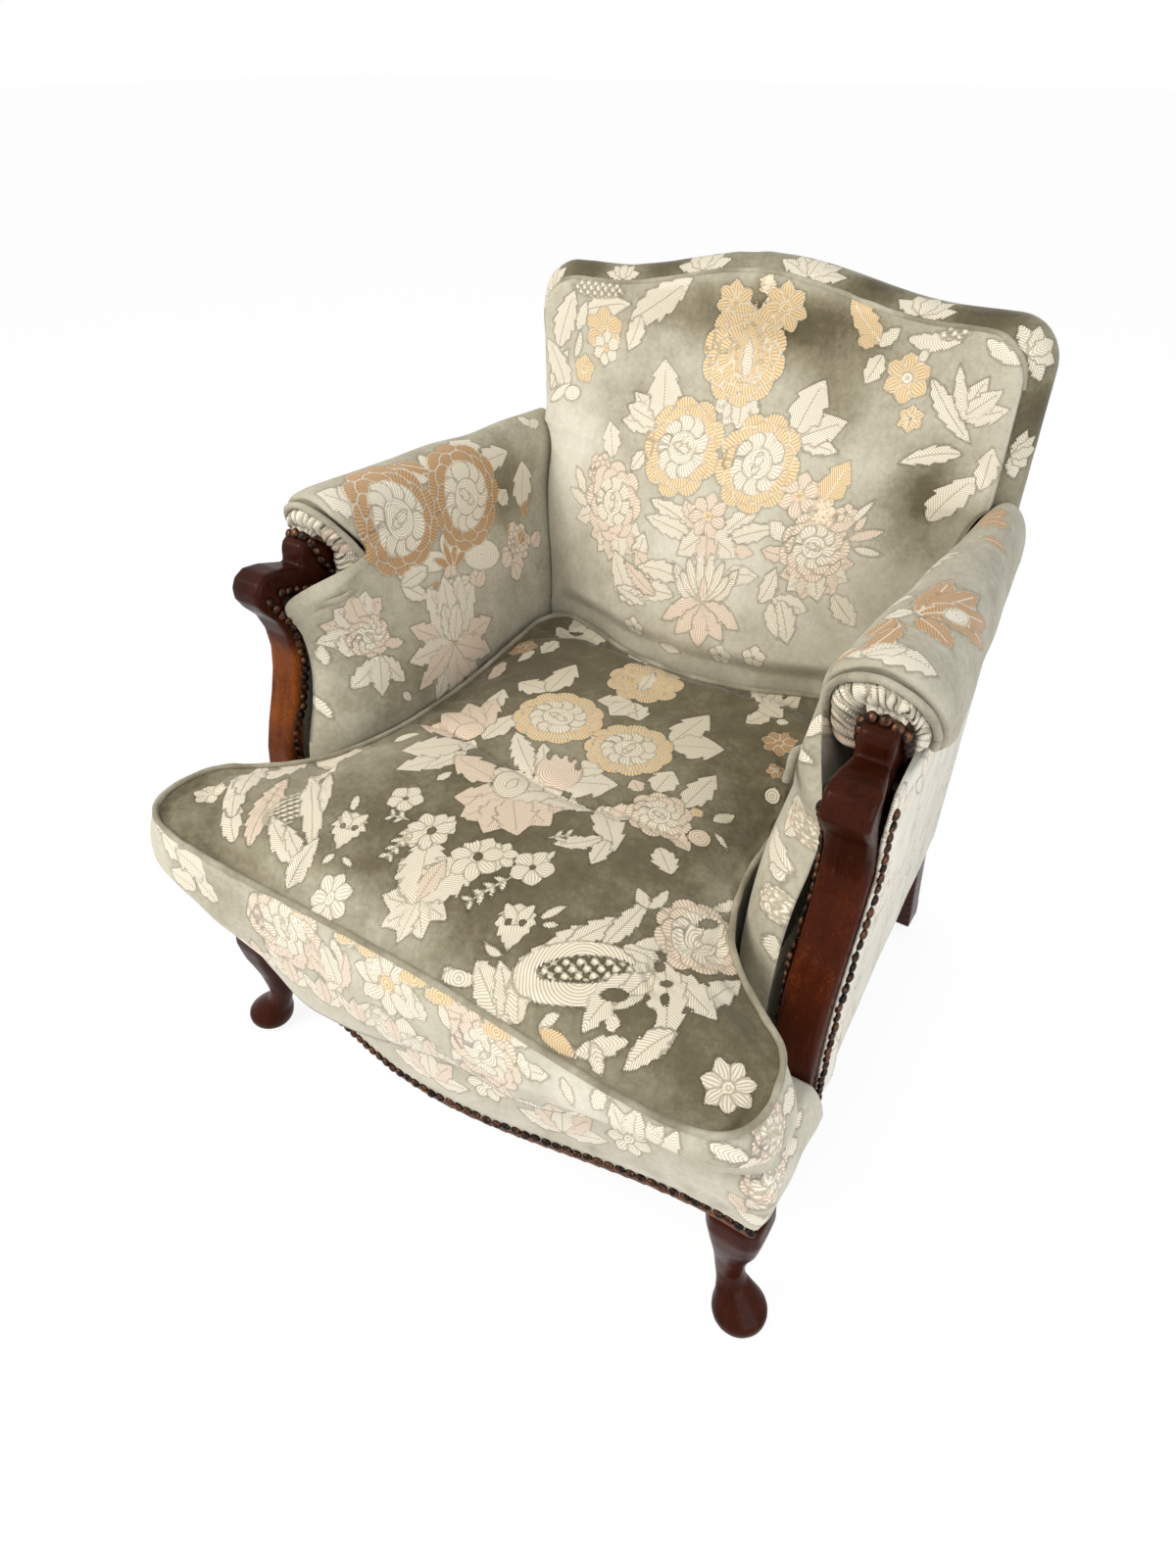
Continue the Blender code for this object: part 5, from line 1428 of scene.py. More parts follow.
    def weave_bell_flower(self, w: Weave) -> None:
        """Bell-shaped flower at the front, between two five-petalled ones on sprigs."""
        w.fan(-11, -306, -85, 160, 5, 35, 21, outer=1.05)
        w.leaves(
            (-14, -306, 140, 47, 23, CREAM, 0.1), (-12, -308, 118, 66, 50),
            (-9, -306, 75, 64, 48, CREAM, -0.1), (-12, -305, 90, 42, 22, BLUSH),
        )
        for x, y, radius in (
            (-40, -232, 15), (-58, -254, 15), (-49, -243, 24), (30, -238, 18), (12, -249, 26),
        ):
            w.daisy(x, y, radius, CREAM, 7, CREAM)
        for x, y, along, over in ((-47, -243, 5, 5), (13, -248, 5, 5), (-28, -222, 5, 9), (-8, -236, 9, 4)):
            w.open(x, y, along, over, 28)
        w.daisy(-99, -221, 19)
        w.daisy(65, -234, 21)
        w.sprig(-65, -245, -92, 42, 4)
        w.sprig(57, -248, -120, 50, 4)
        w.sprig(-73, -241, -168, 26, 2)
        w.leaf(-91, -183, 78, 18, 10)
        w.leaf(71, -220, 92, 14, 6)

    def weave_left_scroll(self, w: Weave) -> None:
        """Cream C-scroll and bud on the left front, running into the left ear."""
        w.leaf(-279, -217, 157, 62, 25, CREAM, 0, 3)
        w.fan(-248, -204, 62, 50, 3, 52, 36, BLUSH, CREAM, 4)
        w.leaves(
            (-201, -337, 125, 96, 26, BLUSH, -0.2), (-220, -339, 149, 68, 24, CREAM, -0.2, 4),
            (-243, -321, 136, 84, 28, CREAM, -0.1, 4), (-260, -295, 125, 72, 30, CREAM, -0.1, 4),
            (-255, -262, 104, 60, 34, CREAM, -0.1, 3), (-211, -243, 92, 38, 23),
        )
        w.lattice(-201, -280, 33, 22, 92)
        w.leaves(
            (-142, -310, 131, 116, 25, CREAM, 0.1, 5), (-160, -275, 130, 70, 14, CREAM, 0, 3),
            (-140, -329, 168, 74, 24, CREAM, -0.2, 4), (-134, -327, 159, 56, 18, CREAM, -0.1),
            (-137, -350, 103, 52, 20, CREAM, -0.1),
        )
        w.bell(-117, -302, 105, 44)
        w.leaves(
            (-134, -260, 120, 22, 8), (-116, -305, -108, 14, 8), (-107, -304, -14, 18, 6),
        )
        w.daisy(-305, -300, 18, CREAM, 6, CREAM)
        w.daisy(-92, -339, 22, CREAM, 7, CREAM)
        w.leaf(59, -344, 163, 14, 10)
        w.disc(63, -341, 16, 7, 18, CREAM)

    def weave_right_scroll(self, w: Weave) -> None:
        """Cream C-scroll with its pierced heart, the bud beside it and the corner flower."""
        w.bell(94, -312, 110, 44)
        w.leaves(
            (103, -275, 57, 25, 8), (108, -279, 24, 14, 5), (93, -317, 175, 28, 7, CREAM, -0.25),
            (125, -357, 156, 66, 26, CREAM, -0.12), (127, -356, 128, 50, 20, CREAM, 0.1),
            (134, -351, 129, 42, 24, CREAM, -0.15), (119, -333, 88, 45, 27, CREAM, -0.1, 4),
            (126, -305, 68, 50, 24, CREAM, -0.05, 4), (137, -287, 59, 58, 22, CREAM, 0, 4),
            (165, -273, 79, 65, 20, CREAM, 0.1), (176, -215, 157, 24, 14, CREAM, -0.2),
            (176, -215, 72, 30, 12, CREAM, 0.25, 3),
        )
        w.disc(162, -300, 58, 28, 25, CREAM)
        w.open(164, -295, 42, 12, 27)
        w.lattice(164, -295, 40, 10, 27, 12)
        w.leaves(
            (192, -259, -29, 40, 24, CREAM, -0.15), (180, -264, 19, 40, 18, CREAM, -0.1),
            (187, -256, 45, 34, 12), (217, -170, 75, 34, 13, CREAM, -0.2),
            (200, -280, -109, 60, 28, CREAM, 0.15, 5), (152, -347, 39, 18, 10, CREAM, 0, 3),
            (258, -278, 72, 57, 22, CREAM, 0.08, 4), (222, -258, -23, 58, 28, CREAM, 0.05, 4),
            (212, -250, -53, 86, 34, CREAM, -0.12, 6), (211, -266, -95, 45, 20, CREAM, -0.2),
            (216, -289, -121, 28, 10),
        )
        for x, y, along, over in (
            (196, -302, 12, 6), (212, -257, 5, 6), (226, -270, 6, 4), (233, -285, 4, 7),
        ):
            w.open(x, y, along, over, 30)
        w.open(232, -305, 5, 9, 27)
        w.leaves(
            (254, -305, -124, 46, 22, CREAM, 0.1, 5), (226, -328, -147, 44, 15, CREAM, 0, 4),
            (200, -341, -37, 24, 12, CREAM, 0, 3), (209, -329, 103, 14, 13, CREAM, 0, 2),
            (153, -348, -7, 40, 9, GOLD),
        )
        w.peony(225, -210, 40, BLUSH)
        w.leaf(225, -210, 68, 34, 14, CREAM, 0.2)
        w.open(222, -190, 11, 4, 56)
        w.daisy(308, -316, 22, CREAM, 7, CREAM)

    def weave_band(self, loop: Array, rings: Sequence[Array]) -> Weave:
        """Figures of the band: the run along the seam from the left corner, and the depth below it."""
        run = chords(loop[:, :2]) * 1000
        tall = np.stack([(loop[:, 2] - ring[:, 2]) * 1000 for ring in rings])
        w = Weave(np.tile(run, len(rings)), tall, 0.66)
        # Scrolls on the left ear
        for x, y, turn, length, width in (
            (30, 10, -120, 30, 18), (64, 18, -154, 36, 30), (96, 24, -150, 42, 32),
        ):
            w.leaf(x, y, turn, length, width, CREAM, -0.2, 3)
        w.leaf(79, 47, -158, 36, 30, CREAM, -0.2)
        w.leaf(109, 46, -143, 32, 24, CREAM, -0.2)
        # Peonies and star flowers run along the band, half of them cut by the seam
        w.leaves(
            (181, -3, 130, 54, 16, CREAM, -0.1, 3), (178, 52, 71, 38, 30, CREAM, 0.2, 3),
            (205, 5, -46, 32, 15, CREAM, 0, 3),
        )
        w.peony(200, 32, 46, BLUSH)
        w.fan(262, 72, -108, 66, 3, 52, 26, BLUSH, CREAM, 4)
        w.leaf(265, 69, 133, 40, 20, CREAM, 0, 3)
        w.leaf(284, 12, -142, 30, 20, CREAM, -0.1, 3)
        w.fan(318, 68, 128, 40, 3, 58, 20)
        w.daisy(327, 28, 40, CREAM, 8, GOLD)
        w.leaf(367, 51, -118, 28, 26, CREAM, 0, 3)
        w.daisy(345, 108, 48, CREAM, 8, CREAM)
        w.open(376, 50, 14, 5, -38)
        w.leaves(
            (408, 23, -91, 24, 22, CREAM, 0, 3), (393, 16, -12, 36, 20, BLUSH, 0, 3),
            (418, 42, 115, 40, 16, CREAM, 0, 3),
        )
        w.peony(441, 41, 40, BLUSH)
        w.leaves(
            (460, 8, -18, 32, 16, CREAM, 0, 3), (478, 30, -18, 34, 20, CREAM, 0, 3),
            (500, 55, 30, 36, 20, BLUSH, 0, 3),
        )
        for x, y in ((163, -18), (225, -4), (279, 2), (305, 2), (357, 6), (388, 8), (452, 8)):
            w.disc(x, y, 18, 8, -22, GOLD)
        # Leaves fill in between them, their feet at the nailed edge
        for x in range(150, 520, 44):
            w.fan(x, 112, -90, 80, 3, 40, 20, CREAM, BLUSH)
            w.leaf(x + 20, 14, 60, 26, 14, CREAM, 0, 3)
        # Leaves round the right front corner and its ear
        w.leaf(556, 23, -78, 24, 16, CREAM, 0, 3)
        w.leaf(586, 42, 169, 34, 22)
        w.fan(594, 45, -92, 60, 3, 46, 24, teeth=4)
        w.fan(620, 41, -98, 34, 2, 40, 16)
        w.leaf(649, 6, 29, 26, 15, CREAM, 0, 3)
        w.leaf(664, 26, -6, 34, 20, CREAM, 0.2, 4)
        w.peony(694, 14, 20, BLUSH, CREAM, 7)
        w.leaf(713, 14, 16, 30, 16, CREAM, 0, 3)
        # The pile is set darker or paler in three patches along the band: partly how it lies, partly painted
        # light and shade
        w.brush(120, 40, 60, 40, -0.16)
        w.brush(540, 30, 50, 40, 0.16)
        w.brush(660, 30, 60, 40, -0.12)
        return w


@dataclass
class Back:
    """The inside back, its camel border, its seam welt and the outside back."""

    seam_y: float = 0.288
    rear_y: float = 0.322
    peak_z: float = 0.831
    shoulder_z: float = 0.803
    corner: float = 0.045
    seam_half: float = 0.277
    foot_z: float = 0.300
    lean: float = 0.32
    lean_top_z: float = 0.690
    bulge: float = 0.062
    flare: float = 0.020
    rise: float = 0.0125
    border_foot_z: float = 0.600
    welt_radius: float = 0.0034
    columns: int = 240
    rows: int = 224

    def camel(self, x: Array, half: float, peak: float, shoulder: float) -> Array:
        """Height of the camel line at x."""
        hump = np.cos(np.minimum(np.abs(x) / (0.70 * half), 1.0) * math.pi) * 0.5 + 0.5
        into = np.clip(np.abs(x) - (half - self.corner), 0, self.corner)
        return lerp(shoulder, peak, hump) - (self.corner - np.sqrt(np.maximum(
            self.corner**2 - into**2, 0.0,
        ))) * (into > 0)

    def half_at(self, z: Array) -> Array:
        """Half width of the pad at a height: held between the arms below, free above."""
        low = lerp(0.227, 0.2950 - 0.0338, smooth((z - 0.42) / (0.596 - 0.42))) - 0.0015
        above = np.clip((z - 0.596) / 0.051, 0.0, 1.0)
        beside = 0.2950 - 0.0338 * np.sqrt(1.0 - above**2) - 0.0015
        return np.where(z < 0.596, low, np.minimum(beside, self.seam_half))

    def surface(self) -> Array:
        """Front face of the pad, seat to camel seam."""
        u = np.sin(math.pi / 2 * np.linspace(-1, 1, self.columns))[None, :]
        t = np.linspace(0, 1, self.rows)[:, None]
        top = self.camel(u * self.seam_half, self.seam_half, self.peak_z, self.shoulder_z)
        z = lerp(self.foot_z, top, t)
        half = self.half_at(z)
        x = u * half
        side = self.seam_y - np.maximum(0.0, self.lean_top_z - z) * self.lean
        climb = (z - self.foot_z) / (self.peak_z - self.foot_z)
        upward = (1.0 - smooth((climb - 0.55) / 0.45)) * 0.9 + 0.1 * (1.0 - climb)
        y = side - self.bulge * np.clip(1.0 - np.abs(u) ** 2.4, 0, None) * np.maximum(upward, 0.0)
        behind = along_x(((0.0, 0.159), (0.09, 0.172), (0.15, 0.196), (0.194, 0.204)), np.abs(x))
        low = smooth((0.470 - z) / 0.03)
        y = lerp(y, np.maximum(y, behind), low)
        y = np.minimum(y, self.seam_y - 0.0095)
        y = y - 0.0025 * smooth((1 - t) / 0.012) * smooth((1 - np.abs(u)) / 0.02)
        return np.stack([x, y + 0.0018 * waves(x * 1000, z * 1000, 31, 140.0) * (1 - t**6), z], -1)

    def border_lines(self, count: int) -> tuple[Array, Array]:
        """Seam line and outer line of the camel border, left foot over the top to the right foot."""
        lines = []
        for shift, rise in ((0.0, 0.0), (self.flare, self.rise)):
            half = self.seam_half + shift
            x = half * np.sin(math.pi / 2 * np.linspace(-1, 1, 161))
            top = np.column_stack([x, self.camel(x, half, self.peak_z + rise, self.shoulder_z + rise)])
            foot = np.array([[-half, z] for z in np.linspace(self.border_foot_z, top[0, 1], 14)[:-1]])
            line = np.concatenate([foot, top, foot[::-1] * [-1, 1]])
            run = chords(line)
            even = np.linspace(0, run[-1], count)
            lines.append(np.stack([np.interp(even, run, line[:, 0]), np.interp(even, run, line[:, 1])], -1))
        return lines[0], lines[1]

    def build(self, velvet: bpy.types.Material, piping: bpy.types.Material) -> list[bpy.types.Object]:
        """Builds pad, border, welt and outside back.

        Args:
            velvet: the brocade.
            piping: the piping's velvet.

        Returns:
            The four pieces.
        """
        surface = self.surface()
        loop = surface.reshape(-1, 3)[rim_indices(self.rows, self.columns)]
        depth = self.rear_y - 0.0345
        rings = [np.column_stack([loop[:, 0], np.full(len(loop), depth - 0.004), loop[:, 2]])]
        rings.append(np.column_stack([loop[:, 0], np.full(len(loop), depth), loop[:, 2]]))
        weave = self.weave(surface)
        fields = woven_fields(weave, rim_weave(weave, self.rows, self.columns, 2))
        pad = joined("inside_back_cover", surface, rings, (0, depth, 0.55), fields)
        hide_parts("back_pad")
        border = self.build_border()
        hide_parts("back_border")
        seam, outer = self.border_lines(520)
        line = np.column_stack([seam[:, 0], np.full(len(seam), self.seam_y - 0.0035), seam[:, 1]])
        line += np.stack([seam[:, 0] * 0, seam[:, 0] * 0, np.full(len(seam), 0.0005)], -1)
        welt = cord("back_seam_welt", line, self.welt_radius, 0.45, seed=8)
        panel = self.build_outside()
        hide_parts("outside_back")
        for piece, stuff in ((pad, velvet), (border, velvet), (welt, piping), (panel, velvet)):
            piece.data.materials.append(stuff)
            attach(piece, "root")
        return [pad, border, welt, panel]

    def build_border(self) -> bpy.types.Object:
        """The padded band from the camel seam to the back edge."""
        count, across = 620, 26
        seam, outer = self.border_lines(count)
        share = np.linspace(0, 1, across)[None, :]
        crown = np.sin(share * math.pi) ** 0.8 * 0.0065
        out = seam * 0
        out[:, 0], out[:, 1] = -np.gradient(seam[:, 1]), np.gradient(seam[:, 0])
        out /= np.linalg.norm(out, axis=1, keepdims=True)
        run = chords(seam) * 1000
        crown = crown + 0.0009 * waves(
            run[:, None] + share * 0, share * 40, 41, 26.0,
        ) * np.sin(share * math.pi)
        x = lerp(seam[:, :1], outer[:, :1], share**0.85) + out[:, :1] * crown
        z = lerp(seam[:, 1:], outer[:, 1:], share**0.85) + out[:, 1:] * crown
        y = lerp(self.seam_y - 0.001, self.rear_y - 0.0005, share ** (1.15)) + 0 * x
        surface = np.stack([x, y, z], -1)
        loop = surface.reshape(-1, 3)[rim_indices(count, across)]
        inner = []
        for inset, back in ((0.0066, 0.0), (0.0066, 0.5)):
            near = np.abs(np.subtract.outer(loop[:, 0], seam[:, 0])) + np.abs(np.subtract.outer(
                loop[:, 2], seam[:, 1],
            ))
            at = near.argmin(1)
            spot = seam[at] - out[at] * inset
            inner.append(np.column_stack([spot[:, 0], lerp(loop[:, 1], 0.305, back), spot[:, 1]]))
        weave = Weave(np.repeat(run, across), np.tile(share.ravel() * 40, count), 0.40)
        self.weave_border(weave, run[-1])
        fields = woven_fields(weave, rim_weave(weave, count, across, 2))
        return strip("back_border_cover", surface, inner, fields)

    def build_outside(self) -> bpy.types.Object:
        """The outside back panel, tacked from the crest to the seat rail."""
        rows, columns = 92, 84
        u = np.linspace(-1, 1, columns)[None, :]
        t = np.linspace(0, 1, rows)[:, None]
        half = self.seam_half + self.flare
        top = self.camel(u * half, half, self.peak_z + self.rise, self.shoulder_z + self.rise)
        z = lerp(0.186, top, t)
        width = lerp(0.305, half, smooth((z - 0.52) / 0.06)) - 0.001
        x = u * width
        edge = np.minimum(1 - np.abs(u), np.minimum(t, 1 - t) * 1.1)
        y = self.rear_y + 0.0035 + 0.0065 * smooth(edge / 0.10) + 0.0007 * waves(
            x * 1000, z * 1000, 51, 90.0,
        )
        surface = np.stack([x, y + 0 * x, z + 0 * x], -1)[:, ::-1]
        loop = surface.reshape(-1, 3)[rim_indices(rows, columns)]
        rings = [np.column_stack([loop[:, 0], np.full(len(loop), self.rear_y + 0.0004), loop[:, 2]])]
        weave = Weave(surface[..., 0] * 1000, surface[..., 2] * 1000, 0.60)
        fields = woven_fields(weave, rim_weave(weave, rows, columns, 1))
        return joined("outside_back_cover", surface, rings, (0, self.rear_y + 0.0004, 0.5), fields)

    def weave(self, surface: Array) -> Weave:
        """Figures of the inside back, x and height in millimetres."""
        w = Weave(surface[..., 0] * 1000, surface[..., 2] * 1000, 0.62)
        # Blush flower at the lower left, with its bud and curls
        w.leaf(-145, 630, 115, 38, 26, CREAM, 0.05)
        w.peony(-160, 611, 20, BLUSH, BLUSH, 6)
        w.leaves(
            (-179, 583, 135, 33, 15), (-172, 571, 165, 36, 13), (-114, 624, 60, 26, 18, CREAM, 0, 3),
            (-150, 572, -150, 43, 22, CREAM, 0, 3),
        )
        w.fan(-122, 566, -78, 130, 6, 45, 30, BLUSH, CREAM)
        w.peony(-132, 585, 42, BLUSH, CREAM, 8)
        w.leaves(
            (-72, 485, 146, 66, 34, CREAM, -0.25, 4), (-58, 489, 155, 46, 20, CREAM, 0.3),
            (-83, 530, 74, 36, 24, CREAM, 0.1, 3), (-55, 520, 143, 40, 21, BLUSH, 0, 3),
        )
        # Small blush flower between leaves under the pair of peonies
        w.leaves(
            (-9, 579, 152, 72, 23, CREAM, 0.18), (-12, 573, 166, 68, 21, CREAM, 0.1),
            (-9, 580, 130, 40, 18, BLUSH), (21, 583, 52, 50, 21, CREAM, -0.12),
            (27, 579, 30, 60, 21, CREAM, -0.12), (26, 571, 3, 36, 16, BLUSH),
        )
        w.fan(3, 583, -80, 112, 3, 44, 28, CREAM, BLUSH)
        w.daisy(-1, 599, 24, BLUSH, 7, GOLD)
        # Blush flower at the right with a gold leaf and sprays
        w.leaves(
            (93, 593, 145, 26, 17, CREAM, 0, 3), (97, 576, 175, 27, 18, BLUSH, 0, 3),
            (155, 545, -46, 42, 22, CREAM, 0, 4),
        )
        w.fan(130, 572, -72, 165, 7, 38, 23, BLUSH, CREAM)
        w.peony(124, 590, 35, BLUSH, CREAM)
        w.daisy(95, 636, 22, BLUSH, 6, GOLD)
        w.leaf(120, 632, 67, 43, 31, GOLD, 0.06)
        w.peony(123, 625, 13, GOLD, GOLD, 6)
        w.leaves(
            (151, 614, 54, 34, 8), (157, 603, 18, 32, 9, BLUSH), (163, 594, -8, 30, 8),
            (160, 610, 65, 18, 8, BLUSH), (136, 610, 23, 24, 14, BLUSH, 0, 3),
        )
        w.daisy(147, 626, 10, BLUSH)
        # Acanthus on each side of the palmette at the foot
        w.leaves(
            (-19, 527, 163, 57, 26, CREAM, 0.3), (-23, 508, 176, 60, 24, CREAM, 0.25),
            (-46, 503, 165, 57, 19, BLUSH, -0.2), (36, 542, 28, 36, 22, CREAM, -0.25),
            (80, 525, 58, 38, 22, CREAM, 0.3), (96, 532, -16, 38, 23, CREAM, 0.1, 3),
            (103, 531, -61, 48, 25, CREAM, -0.1, 4), (94, 526, -82, 37, 15, CREAM, 0.3),
        )
        w.palmette(14, 508, 56, 97)
        # Twin gold peonies under the iris and its ruff
        w.fan(-93, 673, 168, 34, 3, 52, 22, teeth=3)
        w.leaves(
            (-92, 673, 96, 65, 44, CREAM, 0.06, 4), (73, 685, -8, 47, 18),
            (73, 685, 28, 52, 29, CREAM, -0.05, 3), (69, 688, 77, 57, 40, CREAM, -0.1, 3),
        )
        w.fan(0, 720, -98, 85, 4, 38, 26)
        w.peony(-55, 657, 48)
        w.peony(39, 657, 46)
        w.leaf(2, 787, 102, 20, 3, GOLD)
        w.leaf(0, 792, 59, 26, 3, GOLD)
        w.peony(8, 822, 10, GOLD, GOLD, 5)
        w.daisy(-26, 801, 23, GOLD, 7, eye=GOLD)
        w.daisy(31, 803, 25, GOLD, 7, eye=GOLD)
        w.peony(-9, 753, 48, GOLD, GOLD, 10)
        w.leaves(
            (-3, 728, 127, 42, 14, GOLD, -0.2), (2, 727, 67, 44, 15, GOLD, 0.2),
            (-2, 727, 93, 59, 32, GOLD), (-2, 731, 95, 40, 14),
        )
        # Scrolls and gold flowers in the upper left corner
        w.leaves(
            (-268, 678, 68, 55, 20, CREAM, -0.1), (-245, 678, 104, 63, 30, CREAM, 0.2),
            (-256, 728, 75, 69, 31, CREAM, -0.1), (-268, 664, 40, 40, 12),
        )
        w.disc(-232, 680, 13, 8, 10, CREAM)
        w.leaf(-222, 771, 20, 68, 23, CREAM, -0.12, 3)
        w.lattice(-200, 797, 33, 10, 1)
        w.leaves(
            (-155, 769, 31, 90, 34, CREAM, 0.05, 5), (-142, 775, -109, 39, 25, CREAM, 0, 3),
            (-228, 751, 68, 34, 14),
        )
        w.daisy(-191, 753, 27, GOLD, 6, eye=GOLD)
        w.daisy(-187, 736, 19, CREAM, 6, eye=GOLD)
        w.daisy(-217, 709, 16, GOLD, 5, eye=GOLD)
        w.leaf(-233, 719, 63, 33, 9, CREAM, 0.2)
        # Scrolls and flowers in the upper right corner
        w.leaves(
            (138, 782, 141, 55, 25, GOLD, -0.08, 5), (135, 779, 47, 27, 15, CREAM, 0, 3),
            (130, 780, 172, 19, 14, GOLD, 0, 3), (140, 772, -112, 31, 22, CREAM, 0, 3),
            (177, 766, 69, 24, 9),
        )
        w.daisy(169, 754, 24, GOLD, 6, eye=CREAM)
        w.daisy(182, 718, 13, GOLD, 6)
        w.leaf(163, 790, -7, 50, 17, CREAM, 0.18)
        w.leaf(193, 757, -54, 74, 21, CREAM, 0.12)
        w.fan(230, 725, 44, 60, 3, 44, 20, teeth=3, bend=-0.1)
        w.leaves(
            (238, 691, 180, 56, 19, CREAM, 0.25), (232, 723, 112, 53, 14, CREAM, -0.1),
            (226, 627, 68, 56, 34, CREAM, -0.25), (265, 661, 89, 41, 23),
            (237, 798, -36, 39, 16, CREAM, 0.15),
        )
        w.lattice(205, 799, 14, 6, 16)
        # Small flowers low down, mostly under the cushion's rear edge
        for x, y in ((-70, 457), (48, 456), (89, 465)):
            w.daisy(x, y, 14)
        w.leaf(-35, 443, 0, 31, 14)
        # The pile is set pale at the lower left and middle, and dark near the top and at the right: partly
        # how it lies, partly painted light and shade
        w.brush(-230, 610, 70, 90, 0.24)
        w.brush(10, 560, 90, 60, 0.22)
        w.brush(40, 790, 110, 34, -0.46)
        w.brush(105, 730, 50, 40, -0.20)
        w.brush(-110, 790, 60, 30, -0.16)
        w.brush(215, 650, 35, 45, -0.42)
        w.brush(170, 500, 70, 60, 0.10)
        w.brush(-140, 690, 60, 40, -0.10)
        return w

    def weave_border(self, w: Weave, length: float) -> None:
        """Figures of the border: the run from the left foot, and the height from seam to back edge."""
        for share, size in (
            (0.20, 15), (0.31, 12), (0.42, 17), (0.55, 19), (0.68, 16), (0.80, 14), (0.90, 13),
        ):
            w.fan(share * length, 4, 90, 130, 5, size * 1.9, size, teeth=3, bend=0.15)
        # Darker pile in five patches between the fans: partly how it lies, partly painted shade
        for share in (0.26, 0.37, 0.62, 0.74, 0.86):
            w.brush(share * length, 20, 30, 30, -0.30)

class Side(Enum):
    """Which arm, seen from the front."""

    LEFT = "left"
    RIGHT = "right"


